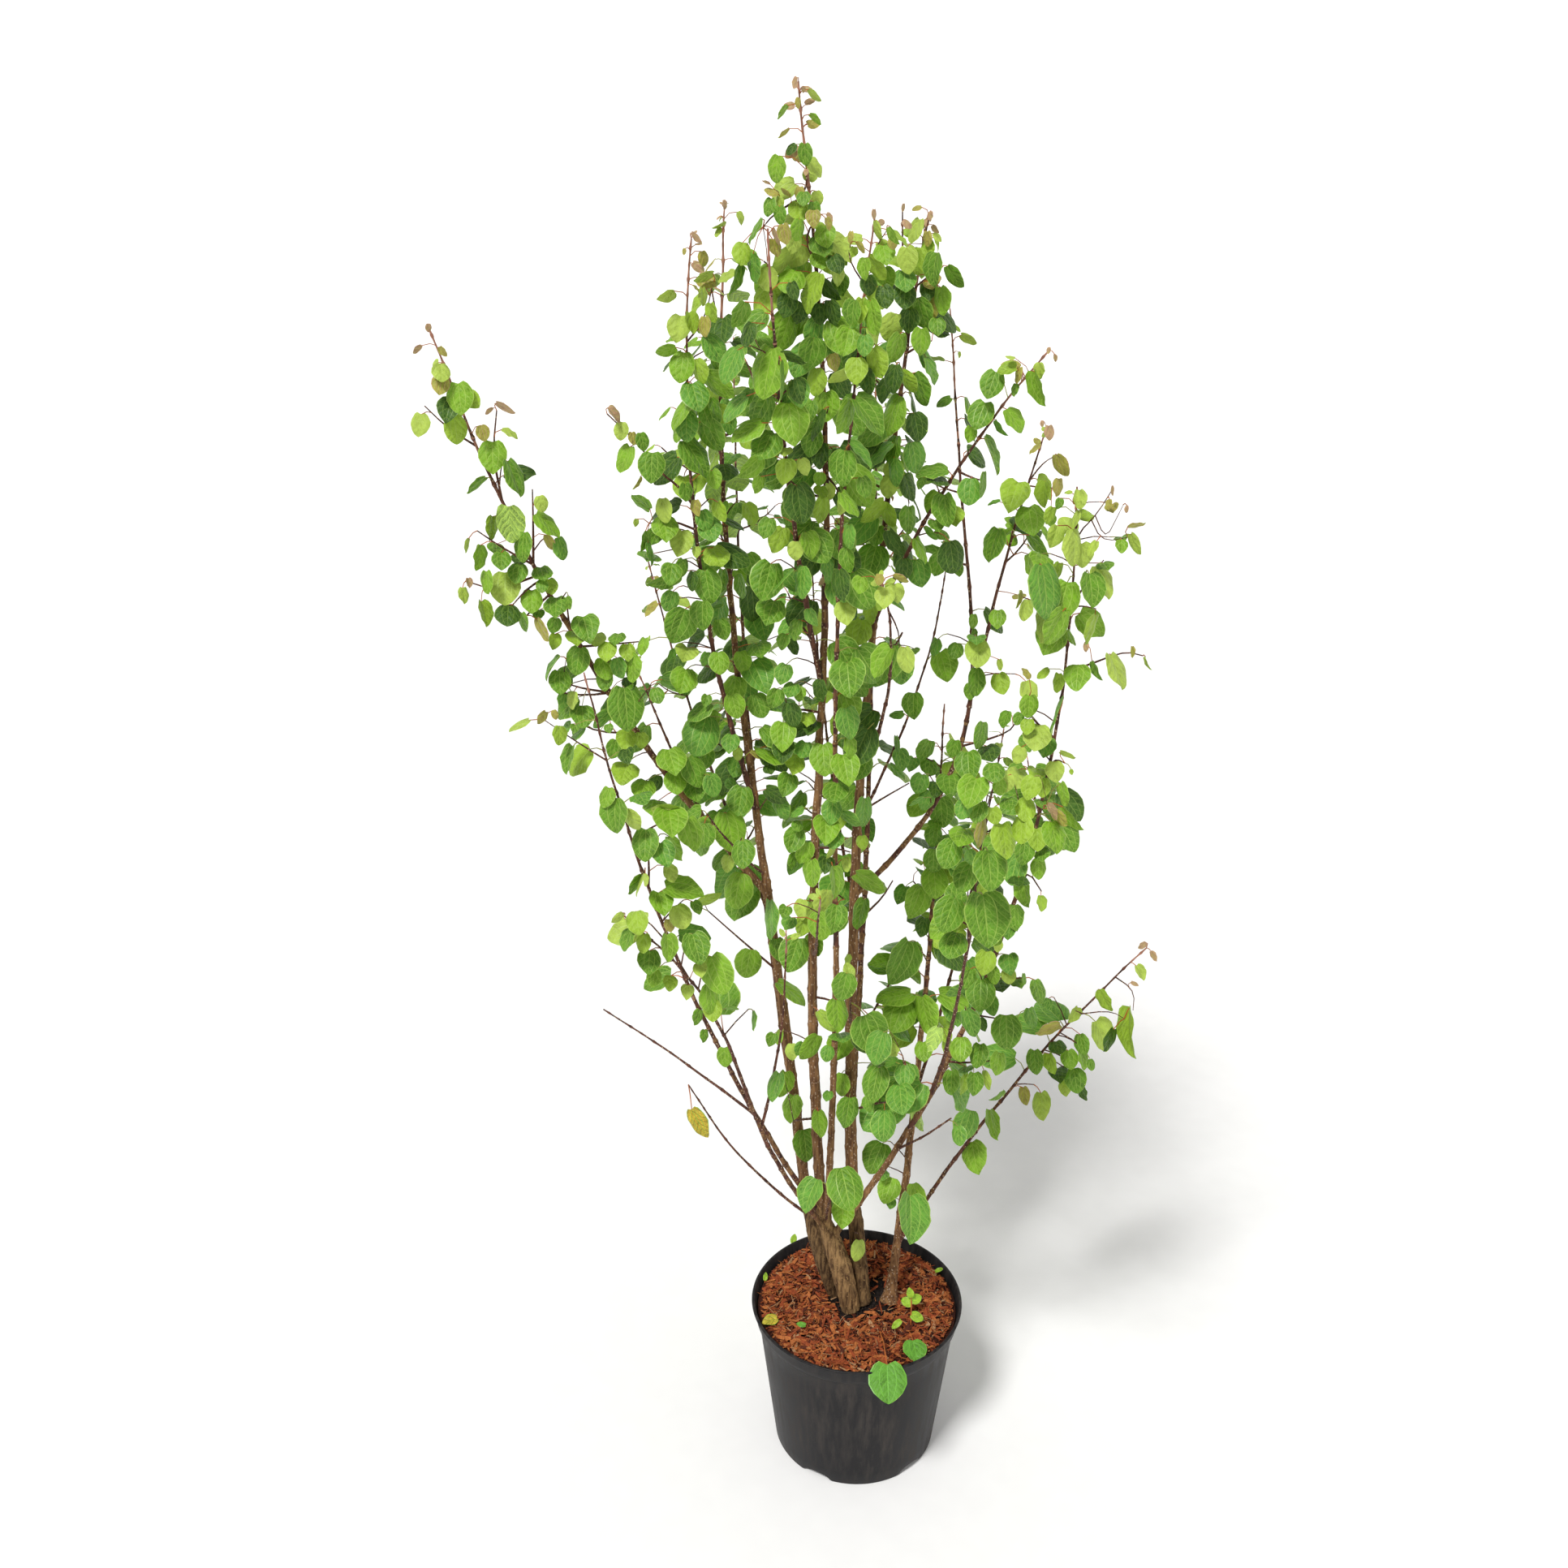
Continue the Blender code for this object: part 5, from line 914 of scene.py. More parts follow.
def stool_mesh(axes, settings):
    """The stool: lobes and the feet of what grows on them, fused, then furrowed like old bark."""
    pile = Pile()
    for shoot in LOBES:
        axis = axes[shoot.name]
        fractions = [k / 10 for k in range(11)]
        pile.add(*tube([axis.point(t) for t in fractions], [axis.radius(t) for t in fractions], 24))
    for shoot in SHOOTS:
        if shoot.parent not in ("front_lobe", "left_lobe", "right_lobe"):
            continue
        axis = axes[shoot.name]
        reach = 0.042 if shoot.base > 0.005 else 0.016
        fractions = [reach * k / 5 / axis.length for k in range(6)]
        swell = 1.0 if shoot.root == 1 else 1.35
        radii = [axis.radius(t) * (swell + (0.80 - swell) * k / 5) for k, t in enumerate(fractions)]
        if shoot.root == 1:
            radii[0] = axes[shoot.parent].radius(1.0)
            radii[1] = (radii[0] + radii[1]) / 2
        pile.add(*tube([axis.point(t) for t in fractions], radii, 16))
    obj = pile.make("stool_bark", [], "bark")
    fusing = obj.modifiers.new("Fuse", "REMESH")
    fusing.mode = "VOXEL"
    fusing.voxel_size = 0.0011
    graph = bpy.context.evaluated_depsgraph_get()
    mesh = bpy.data.meshes.new_from_object(obj.evaluated_get(graph))
    obj.modifiers.clear()
    obj.data = mesh
    count = len(mesh.vertices)
    places = np.zeros(count * 3)
    mesh.vertices.foreach_get("co", places)
    places = places.reshape(count, 3)
    normals = np.zeros(count * 3)
    mesh.vertices.foreach_get("normal", normals)
    normals = normals.reshape(count, 3)
    stand = np.zeros(count)
    for k, (x, y, z) in enumerate(places):
        flute = noise.noise(Vector((x * 80, y * 80, z * 9)))
        ridge = 1 - 2.4 * abs(noise.noise(Vector((x * 300, y * 300, z * 34))))
        crumb = noise.noise(Vector((x * 800, y * 800, z * 260)))
        stand[k] = 1.6 * flute + 0.8 * ridge + 0.35 * crumb
    rise = np.clip((places[:, 2] - SOIL_FOOT_Z) / 0.004, 0, 1)
    fade = np.clip((HEAD_Z + 0.035 - places[:, 2]) / 0.045, 0.25, 1)
    places = places + normals * (stand * settings.ridge_height * rise * fade)[:, None]
    mesh.vertices.foreach_set("co", places.ravel())
    lobes = nearest_lobes(axes, places)
    mesh.polygons.foreach_set("material_index", [lobes[face.vertices[0]] for face in mesh.polygons])
    mesh.shade_smooth()
    mesh.update()
    return obj


def tree_of(vertices, faces):
    return BVHTree.FromPolygons([tuple(v) for v in vertices], faces)


class Space:
    """Everything that is already in place, for testing what is added."""

    def __init__(self):
        self.trees = []
        self.low = np.zeros((0, 3))
        self.high = np.zeros((0, 3))
        self.fresh = []

    def add(self, vertices, faces):
        corners = np.array([tuple(v) for v in vertices])
        self.trees.append(tree_of(vertices, faces))
        self.fresh.append((corners.min(axis=0), corners.max(axis=0)))
        if len(self.fresh) > 40:
            self.settle()

    def settle(self):
        if self.fresh:
            self.low = np.vstack([self.low] + [low for low, _ in self.fresh])
            self.high = np.vstack([self.high] + [high for _, high in self.fresh])
            self.fresh = []

    def hits(self, vertices, faces):
        """True where a shape touches anything in place."""
        self.settle()
        corners = np.array([tuple(v) for v in vertices])
        low = corners.min(axis=0)
        high = corners.max(axis=0)
        near = (self.low <= high).all(axis=1) & (self.high >= low).all(axis=1)
        tree = None
        for index in np.flatnonzero(near):
            tree = tree or tree_of(vertices, faces)
            if tree.overlap(self.trees[index]):
                return True
        return False


# Blade: where its columns and rows of faces run, as shares of half its width and of its length
BLADE_COLUMNS = (-1.0, -0.94, -0.73, -0.462, -0.418, -0.21, -0.026, 0.026, 0.21, 0.418, 0.462, 0.73, 0.94, 1.0)
RIB_COLUMNS = (0, 3, 6, 9, 12)
BLADE_ROWS = (0.03, 0.09, 0.17, 0.27, 0.38, 0.50, 0.62, 0.73, 0.83, 0.91, 0.97)
UNDER_COLUMNS = (-0.44, 0.0, 0.44)
BASE_FULLNESS = 0.47
BLADE_FORMS = 9
LEAVES_A_PIECE = 480
TOP, RIB, UNDER = 0, 1, 2


class BladeForm:
    """One katsura blade of unit length: rounded, a little heart-shaped, ribbed from its base."""

    def __init__(self, dice):
        self.notch = dice.uniform(0.03, 0.13)
        self.fold = dice.uniform(0.20, 0.50)
        self.cup = dice.uniform(0.05, 0.24)
        self.bend = dice.uniform(0.05, 0.26)
        self.curl = dice.uniform(0.0, 0.35)
        self.ruffle = dice.uniform(0.01, 0.035)
        self.turns = dice.uniform(1.4, 2.6)
        self.phase = dice.uniform(0, 6.28)
        self.lean = dice.uniform(-0.05, 0.05)
        self.point = dice.uniform(0.60, 0.80)
        self.scallop = 0.014
        self.points = []
        self.faces = []
        self.slots = []
        self.build()

    def width(self, v):
        """Half the width along the blade: broad at the base, pointed at the tip."""
        widest = BASE_FULLNESS / (BASE_FULLNESS + self.point)
        full = widest ** BASE_FULLNESS * (1 - widest) ** self.point
        return v ** BASE_FULLNESS * (1 - v) ** self.point / full

    def place(self, u, row, lower=0.0):
        v = BLADE_ROWS[row]
        scallop = 1 + self.scallop * (1 if row % 2 else -1) * abs(u)
        x = u * self.width(v) * scallop
        y = v - self.notch * abs(u) ** 1.5 * math.exp(-(v / 0.17) ** 2)
        reach = abs(x)
        z = self.fold * reach * 0.5 - self.cup * reach * reach
        z -= self.bend * y * abs(y) + self.curl * max(0.0, y - 0.72) ** 2 * 2
        z += self.ruffle * u * u * math.sin(2 * math.pi * self.turns * v + self.phase + (u > 0))
        if 0.2 < abs(u) < 0.3 or 0.7 < abs(u) < 0.8:
            z += 0.010
        x += self.lean * y * (1 - y)
        return (x, y, z - lower)

    def build(self):
        rows = len(BLADE_ROWS)
        columns = len(BLADE_COLUMNS)
        for row in range(rows):
            self.points.extend(self.place(u, row) for u in BLADE_COLUMNS)
        under = len(self.points)
        for row in range(rows):
            self.points.extend(self.place(u, row, 0.009) for u in UNDER_COLUMNS)
        base = len(self.points)
        tip = base + 1
        self.points.append((0, 0, 0))
        tip_z = -self.bend - self.curl * 0.157
        self.points.append((0, 1.0, tip_z))

        def low_row(row):
            first = row * columns
            inner = under + row * len(UNDER_COLUMNS)
            return [first] + [inner + k for k in range(len(UNDER_COLUMNS))] + [first + columns - 1]

        for row in range(rows - 1):
            for c in range(columns - 1):
                here = row * columns + c
                self.faces.append((here, here + 1, here + columns + 1, here + columns))
                self.slots.append(RIB if c in RIB_COLUMNS else TOP)
            near = low_row(row)
            far = low_row(row + 1)
            for c in range(len(near) - 1):
                self.faces.append((near[c + 1], near[c], far[c], far[c + 1]))
                self.slots.append(UNDER)
        top_last = (rows - 1) * columns
        for c in range(columns - 1):
            slot = RIB if c in RIB_COLUMNS else TOP
            self.faces.append((base, c + 1, c))
            self.faces.append((tip, top_last + c, top_last + c + 1))
            self.slots.extend([slot, slot])
        near = low_row(0)
        far = low_row(rows - 1)
        for c in range(len(near) - 1):
            self.faces.append((base, near[c], near[c + 1]))
            self.faces.append((tip, far[c + 1], far[c]))
            self.slots.extend([UNDER, UNDER])


def placed_blade(form, base, along, normal, length, ratio):
    """A blade's points on the plant, and the same laid flat, both in metres."""
    shape = np.array(form.points)
    turned = np.array([along.cross(normal) * (length * ratio / 2), along * length, normal * length])
    flat = shape[:, :2] * (length * ratio / 2, length)
    return (shape @ turned + np.array(base)).tolist(), flat.tolist()


Leaf = namedtuple("Leaf", "kind form base along normal length ratio")
Stalk = namedtuple("Stalk", "kind points radii")
Station = namedtuple("Station", "point tangent radius px name t")


def blade_probe(base, along, normal, length, ratio, grow):
    """A plain blade for testing: its outline in eight corners with a low back and belly."""
    across = along.cross(normal)
    half = length * ratio / 2 + grow
    outline = ((0.0, 0.0), (0.55, 0.05), (1.0, 0.36), (0.72, 0.72), (0.0, 1.0), (-0.72, 0.72), (-1.0, 0.36),
               (-0.55, 0.05))
    points = [base + across * (x * half) + along * (y * length) - normal * (0.12 * length * y * y)
              for x, y in outline]
    middle = base + along * (0.45 * length)
    points.append(middle + normal * (0.03 * length + grow))
    points.append(middle - normal * (0.07 * length + grow))
    faces = []
    for k in range(8):
        after = (k + 1) % 8
        faces.append((k, after, 8))
        faces.append((after, k, 9))
    return points, faces


def smoothed(value):
    value = min(max(value, 0.0), 1.0)
    return value * value * (3 - 2 * value)


def picture_axes():
    """The camera's forward, right and up directions."""
    pitch = math.radians(CAMERA_PITCH_DEG)
    forward = Vector((0, math.sin(pitch), -math.cos(pitch)))
    return forward, Vector((1, 0, 0)), Vector((0, math.cos(pitch), math.sin(pitch)))


def in_picture(point):
    """Where a point stands in the photograph, in its pixels."""
    forward, right, up = picture_axes()
    away = Vector(point) - Vector(CAMERA_PLACE)
    depth = away.dot(forward)
    half = PICTURE_SIZE / 2
    return half + FOCAL_PX * away.dot(right) / depth, half - FOCAL_PX * away.dot(up) / depth


def from_picture(px, py, y):
    """The point at a given depth that stands at a place in the photograph."""
    forward, right, up = picture_axes()
    half = PICTURE_SIZE / 2
    ray = forward * FOCAL_PX + right * (px - half) + up * (half - py)
    place = Vector(CAMERA_PLACE)
    return place + ray * ((y - place.y) / ray.y)


def nearest_station(stations, place):
    """The piece of wood nearest to a place in the photograph; that in front wins where two are close."""
    return min(stations, key=lambda s: math.dist(s.px, place) + 60 * s.point.y)


def rounded(path):
    """A line of points with its corners eased."""
    made = [path[0]]
    for k in range(1, len(path) - 1):
        made.append(path[k - 1].lerp(path[k], 0.6))
        made.append((path[k - 1] + path[k] * 6 + path[k + 1]) / 8)
        made.append(path[k].lerp(path[k + 1], 0.4))
    made.append(path[-1])
    return made


# Share of the leaves kept on shoots that the photograph shows thinly leaved
KEPT = {
    "far_left_arm": 0.3, "left_arm": 0.4, "low_left_arm": 0.5, "left_fork": 0.8, "upper_right_arm": 0.15,
    "right_fork": 0.3, "right_whip": 0.4, "right_arm": 0.7, "low_right_arm": 0.3, "far_left_side": 0.4,
    "low_left_side": 0.3, "arm_spur_low": 0.3, "arm_spur_right": 0.4, "stem_spur_low": 0.4, "stem_spur_right": 0.5,
    "foot_spur_front": 0.0, "foot_spur_left": 0.0, "foot_spur_right": 0.0, "foot_spur_rim": 0.0, "rim_sucker": 0.0,
    "front_low_shoot": 0.5, "front_middle_shoot": 0.0, "front_high_shoot": 0.0, "curved_shoot": 0.5,
}


# Discs of the picture, by middle and radius, in which its crown is closed
CLOSED = (
    (1000, 330, 40), (1090, 390, 55), (960, 440, 45), (1030, 440, 70), (1010, 530, 70), (1090, 530, 45),
    (1000, 620, 50), (1060, 620, 45), (870, 420, 30), (872, 495, 22),
)

# How a leaf of the rule keeps clear of one that is seen: search radius in pixels, share of the sum of
# both sizes within which it would hide it, and share of the seen one's size within which it is backed
SEEN_REACH = 75
HIDES = 0.36
BACKED = 0.60
RIM_SHARE = 0.34

# How far below its tip a shoot's leaves are full-grown
TIP_ZONES = {"leader_stem": 0.19, "front_stem": 0.07, "middle_stem": 0.06, "far_left_arm": 0.14}


class Grower:
    """Grows the side twigs and leaves of every mass by the seeded rule, clear of each other."""

    def __init__(self, axes, settings):
        self.axes = axes
        self.settings = settings
        self.space = Space()
        self.leaves = []
        self.stalks = []
        self.twigs = []
        self.used = {}
        self.near = self.axis_tree()
        for axis in axes.values():
            count = max(3, round(axis.length / 0.05))
            fractions = [k / count for k in range(count + 1)]
            self.space.add(*tube([axis.point(t) for t in fractions],
                                 [axis.radius(t) + 0.0008 for t in fractions], 5))
        self.space.add(*self.soil_probe())

    def soil_probe(self):
        """A flat disc on the mulch and the rim, so that no blade dips into the pot."""
        points = [Vector((0, 0, SOIL_CREST_Z + 0.004))]
        for k in range(24):
            angle = 2 * math.pi * k / 24
            points.append(Vector((math.cos(angle) * POT_RIM_RADIUS, math.sin(angle) * POT_RIM_RADIUS,
                                  POT_HEIGHT + 0.001)))
        return points, [(0, k + 1, (k + 1) % 24 + 1) for k in range(24)]

    def axis_tree(self):
        points = []
        self.owners = []
        for name, axis in self.axes.items():
            count = max(3, round(axis.length / 0.012))
            for k in range(count + 1):
                points.append(axis.point(k / count))
                self.owners.append(name)
        tree = KDTree(len(points))
        for index, point in enumerate(points):
            tree.insert(point, index)
        tree.balance()
        return tree

    def own_space(self, point, root, name):
        """True where the point lies nearer its own shoot than a neighbour's, with some slack."""
        slack = 0.022
        found = self.near.find_n(point, 60)
        others = [distance for _, index, distance in found if self.owners[index] != name]
        own = [distance for _, index, distance in found if self.owners[index] == name]
        if not others:
            return True
        reach = own[0] if own else (point - root).length
        return reach < others[0] + slack

    def blade_length(self, height):
        share = min(max((height - 0.45) / 0.95, 0.0), 1.0)
        return self.settings.low_length + (self.settings.top_length - self.settings.low_length) * share

    def facing(self, point, azimuth, dice):
        """Blades turn up and out from the crown, and those in front to the open side as well."""
        outward = Vector((point.x - CROWN_CENTRE[0], point.y - CROWN_CENTRE[1], 0))
        if outward.length > 0.001:
            outward.normalize()
        high = min(max((point.z - 0.35) / 1.1, 0.0), 1.0)
        front = 0.62 * min(max((0.34 - point.y) / 0.34, 0.0), 1.0)
        normal = outward * 0.28 + azimuth * 0.26
        normal += Vector((0, -front, 0.74 - 0.26 * high))
        jitter = Vector([dice.uniform(-1, 1) for _ in range(3)])
        return (normal + jitter * 0.30).normalized()

    def hanging(self, azimuth, normal, youth):
        """A blade hangs from its stalk, outward and down within the plane of its face."""
        heading = azimuth * (0.50 + 0.5 * youth) + Vector((0, 0, -0.85 + 1.25 * youth))
        flat = heading - normal * heading.dot(normal)
        if flat.length < 0.2:
            flat = azimuth - normal * azimuth.dot(normal)
        return flat.normalized()

    def kind(self, point, age, on_twig, dice):
        """The colour that a whole spray takes, by its height, its age and its place in the crown: deep green there is
        painted shade.
        """
        high = point.z > 1.38
        if age < 0.018:
            return "pink" if high else "lime"
        if age < 0.034:
            return dice.choice(("bronze", "pink", "lime") if high else ("lime", "fresh", "bronze"))
        if age < 0.060:
            return dice.choice(("bronze", "lime", "fresh") if high else ("lime", "fresh"))
        if age < 0.120:
            return dice.choice(("lime", "fresh", "fresh", "bright", "mature"))
        if on_twig:
            return dice.choice(("fresh", "bright", "mature", "mature", "cool"))
        inner = math.hypot(point.x - CROWN_CENTRE[0], point.y - CROWN_CENTRE[1]) < 0.10
        if point.z < 0.62:
            return dice.choice(("cool", "cool", "mature", "bright"))
        # Leaves high at the back and those inside the crown take mostly the deep green, painted shade of the crown.
        if point.z > 1.05 and point.y > 0.0:
            return dice.choice(("deep", "deep", "deep", "mature", "cool"))
        if inner or point.y > 0.12:
            return dice.choice(("deep", "deep", "mature", "mature", "cool"))
        return dice.choice(("mature", "mature", "bright", "deep", "cool"))

    def use(self, name, t):
        """Notes how far up a shoot something grows."""
        self.used[name] = max(self.used.get(name, 0.0), t)

    def behind_seen(self, centre, length):
        """True for a leaf that stands behind the photograph's own leaves and closes none of its openings."""
        px, py = in_picture(centre)
        size = length * FOCAL_PX / (centre - Vector(CAMERA_PLACE)).dot(picture_axes()[0])
        for spot, index, distance in self.seen_tree.find_range((px, py, 0), SEEN_REACH):
            seen_size, seen_y = self.seen[index]
            if centre.y < seen_y and distance < HIDES * (size + seen_size):
                return False
        rim = size * RIM_SHARE
        checked = ((px, py), (px - rim, py), (px + rim, py), (px, py - rim), (px, py + rim))
        return sum(self.closed(place) for place in checked) >= 4

    def closed(self, place):
        """True where the photograph shows leaves and no sky."""
        if any(math.dist(place, disc[:2]) < disc[2] for disc in CLOSED):
            return True
        return any(distance < BACKED * self.seen[index][0]
                   for spot, index, distance in self.seen_tree.find_range((*place, 0), SEEN_REACH))

    def index_seen(self):
        """Sorts the placed leaves of the photograph by their place in it."""
        self.seen_tree = KDTree(len(self.leaves))
        self.seen = []
        for index, leaf in enumerate(self.leaves):
            centre = leaf.base + leaf.along * (0.45 * leaf.length)
            self.seen_tree.insert((*in_picture(centre), 0), index)
            depth = (centre - Vector(CAMERA_PLACE)).dot(picture_axes()[0])
            self.seen.append((leaf.length * FOCAL_PX / depth, centre.y))
        self.seen_tree.balance()

    def seen_twig(self, stations, line, dice):
        """A side twig along a line read from the photograph."""
        root = nearest_station(stations, line[0])
        self.use(root.name, root.t)
        forward = dice.uniform(0.004, 0.030)
        path = [root.point]
        for k, place in enumerate(line[1:]):
            path.append(from_picture(*place, root.point.y - forward * (k + 1) / (len(line) - 1)))
        path = rounded(path)
        thick = min(0.0013, root.radius * 0.75)
        radii = [thick * (1.25 - 0.65 * k / (len(path) - 1)) for k in range(len(path))]
        self.add_twig(path, radii)
        made = []
        for k in range(len(path) - 1):
            for step in (0.0, 0.5):
                point = path[k].lerp(path[k + 1], step)
                made.append(Station(point, path[k + 1] - path[k], radii[k], in_picture(point), root.name, root.t))
        made.append(Station(path[-1], path[-1] - path[-2], radii[-1], in_picture(path[-1]), root.name, root.t))
        return made

    def add_twig(self, path, radii):
        self.space.add(*tube(path, [r + 0.0002 for r in radii], 4))
        self.twigs.append((path, radii))

    def seen_leaf(self, stations, spot, kind, dice):
        """A leaf where the photograph shows it, hung from the nearest wood of its group."""
        x, y, width, length, *lean_deg = spot
        root = nearest_station(stations, (x, y))
        forward_axis, right_axis, up_axis = picture_axes()
        long_px = max(length, width / 0.92)
        turn = math.acos(min(1.0, width / (0.92 * long_px)))
        tilt = math.acos(min(1.0, length / long_px))
        for forward in (0.012, 0.022, 0.003, 0.033, -0.007, 0.046, 0.060, -0.020, 0.075):
            centre = from_picture(x, y, root.point.y - forward)
            away = centre - Vector(CAMERA_PLACE)
            size = long_px * away.dot(forward_axis) / FOCAL_PX
            normal = -away.normalized()
            out = centre - root.point
            slim = width < 0.6 * length
            along = out.normalized() * (0.8 if slim else 0.35) + Vector((0, 0, -0.45 if slim else -1))
            if lean_deg:
                angle = math.radians(lean_deg[0])
                along = right_axis * math.sin(angle) - up_axis * math.cos(angle)
            along = (along - normal * along.dot(normal)).normalized()
            swing = math.radians(dice.uniform(-14, 14))
            normal.rotate(Matrix.Rotation(turn * dice.choice((-1, 1)) + swing, 3, along))
            across = along.cross(normal)
            lean = Matrix.Rotation(tilt + math.radians(dice.uniform(-6, 16)), 3, across)
            normal.rotate(lean)
            along.rotate(lean)
            ratio = dice.uniform(0.88, 0.96)
            base = centre - along * (0.45 * size)
            if not self.space.hits(*blade_probe(base, along, normal, size, ratio, 0.0006)):
                break
        else:
            return
        self.use(root.name, root.t)
        form = dice.randrange(BLADE_FORMS)
        self.space.add(*blade_probe(base, along, normal, size, ratio, 0.0))
        if kind == "turned":
            normal = -normal
            kind = "bright"
        self.leaves.append(Leaf(kind, form, base, along, normal, size, ratio))
        start = root.point
        reach = base - start
        if reach.length > 0.032:
            end = base - along * 0.008 - reach.normalized() * 0.010
            path = [start, start.lerp(end, 0.5) + Vector((0, -0.05, 0.06)) * reach.length, end]
            thick = min(0.0009, root.radius * 0.75)
            self.add_twig(path, [thick, thick * 0.85, thick * 0.7])
            start = end
        middle = start.lerp(base, 0.5) - along * (0.15 * (base - start).length)
        thick = 0.00042 + 0.006 * size
        red = kind in ("pink", "bronze", "lime") or dice.random() < (0.85 if base.z > 1.15 else 0.40)
        self.stalks.append(Stalk("red" if red else "green", (start, middle, base),
                                 (thick * 1.25, thick, thick * 0.9)))

    def seen_group(self, order, shoots, twigs, kinds):
        """The side twigs and leaves of one group read from the photograph."""
        dice = random.Random(self.settings.seed + 500 + order)
        stations = []
        for name in shoots:
            axis = self.axes[name]
            for k in range(4, 121):
                t = k / 120
                point = axis.point(t)
                stations.append(Station(point, axis.tangent(min(t, 0.99)), axis.radius(t), in_picture(point),
                                        name, t))
        for line in twigs:
            stations.extend(self.seen_twig(stations, line, dice))
        for kind in kinds:
            for spot in kinds[kind]:
                self.seen_leaf(stations, spot, kind, dice)

    def leaf(self, name, root, azimuth, tangent, scale, kind, youth, radius, dice):
        """Tries a leaf, turned a little each time, and keeps the first that is clear."""
        settings = self.settings
        for turn in (0.0, 30.0, -30.0, 60.0, -60.0):
            heading = azimuth.copy()
            heading.rotate(Matrix.Rotation(math.radians(turn + dice.uniform(-12, 12)), 3, "Z"))
            length = self.blade_length(root.z) * scale * dice.uniform(0.78, 1.16)
            normal = self.facing(root, heading, dice)
            along = self.hanging(heading, normal, youth)
            stalk = length * settings.stalk_share * dice.uniform(0.7, 1.3) + 0.002
            out = (heading * 0.9 + tangent * (0.35 + 0.4 * youth)).normalized()
            first = root + heading * radius * 0.6
            middle = first + out * (stalk * 0.55)
            base = middle + (out * 0.55 + along * 0.45).normalized() * (stalk * 0.5)
            ratio = dice.uniform(0.82, 1.0) * (1 - 0.30 * youth)
            centre = base + along * (length * 0.45)
            if not self.behind_seen(centre, length) or not self.own_space(centre, root, name):
                continue
            if self.space.hits(*blade_probe(base, along, normal, length, ratio, 0.0008)):
                continue
            form = dice.randrange(BLADE_FORMS)
            self.space.add(*blade_probe(base, along, normal, length, ratio, 0.0))
            self.leaves.append(Leaf(kind, form, base, along, normal, length, ratio))
            thick = 0.00042 + 0.006 * length
            red = youth > 0.2 or dice.random() < (0.85 if base.z > 1.15 else 0.40)
            self.stalks.append(Stalk("red" if red else "green", (first, middle, base),
                                     (thick * 1.25, thick, thick * 0.9)))
            return True
        return False

    def twig(self, name, root, azimuth, radius, dice, kind):
        """A side twig with its own pairs of leaves, finer to its tip."""
        settings = self.settings
        length = settings.twig_length * dice.uniform(0.5, 1.5)
        heading = (azimuth + Vector((0, 0, 0.62))).normalized()
        bend = Vector((0, 0, -0.06 * length)) + azimuth * (0.05 * length)
        path = [root + heading * (length * t) + bend * (4 * t * (1 - t)) for t in (0, 0.25, 0.5, 0.75, 1)]
        if not self.own_space(path[-1], root, name) or not self.behind_seen(path[2], 0.03):
            return False
        clear = [path[0].lerp(path[1], 0.6)] + path[1:]
        if self.space.hits(*tube(clear, [0.0016] * 5, 4)):
            return False
        thick = min(0.0014, radius * 0.7)
        radii = [thick * 1.3, thick, thick * 0.88, thick * 0.76, thick * 0.6]
        self.space.add(*tube(path, [r + 0.0003 for r in radii], 4))
        count = max(1, round(length / 0.026))
        side = heading.cross(Vector((0, 0, 1))).normalized()
        across = heading.cross(side)
        first = dice.uniform(0, 360)
        reached = 0.0
        for k in range(count):
            share = (k + 0.8) / (count + 0.4)
            place = min(3, int(share * 4))
            point = path[place].lerp(path[place + 1], share * 4 - place)
            size = 0.86 - 0.30 * share
            for half in (0, 180):
                angle = math.radians(first + 90 * k + half)
                out = side * math.cos(angle) + across * math.sin(angle)
                if self.leaf(name, point, (out + heading * 0.35).normalized(), heading, size, kind, 0.12,
                             radii[place], dice):
                    reached = share
        if self.leaf(name, path[-1], heading, heading, 0.5, kind, 0.5, radii[-1], dice):
            reached = 1.0
        if reached:
            cut = [min(3.99, 4 * reached * k / 4) for k in range(5)]
            self.twigs.append(([path[int(c)].lerp(path[int(c) + 1], c - int(c)) for c in cut], radii))
        return reached > 0

    def mass(self, axis, order):
        """Opposite pairs up the leafy stem; near its tip the leaves are young and small."""
        settings = self.settings
        shoot = axis.shoot
        dice = random.Random(settings.seed + 1000 + order)
        spur = shoot.leafy == 0 and axis.length < 0.26
        zone = 0.05 if spur else TIP_ZONES.get(shoot.name, 0.10)
        smallest = 0.62 if spur else 0.25
        kept = KEPT.get(shoot.name, 1.0)
        for t, azimuth, grows in axis.pairs:
            if not grows:
                continue
            distance = (1 - t) * axis.length
            grown = smoothed(distance / zone)
            youth = 0.0 if spur else 1 - smoothed(distance / (0.66 * zone))
            scale = smallest + (1 - smallest) * grown
            point = axis.point(t)
            tangent = axis.tangent(min(t, 0.99))
            age = distance * 2.5 + 0.08 if spur else distance * 0.10 / zone
            kind = self.kind(point, age, False, dice)
            for half in (1, -1):
                if dice.random() > kept:
                    continue
                heading = azimuth * half
                wants = dice.random() < settings.twig_chance and distance > 0.14 and axis.length > 0.2
                if wants:
                    spray = self.kind(point, age, True, dice)
                    if self.twig(shoot.name, point, heading, axis.radius(t), dice, spray):
                        self.use(shoot.name, t)
                        continue
                if self.leaf(shoot.name, point, heading, tangent, scale, kind, youth, axis.radius(t), dice):
                    self.use(shoot.name, t)
        tip = axis.point(1.0)
        tangent = axis.tangent(0.99)
        kind = "pink" if tip.z > 1.38 else "lime"
        for turn in (20, 200):
            side = tangent.orthogonal().normalized()
            side.rotate(Matrix.Rotation(math.radians(turn), 3, tangent))
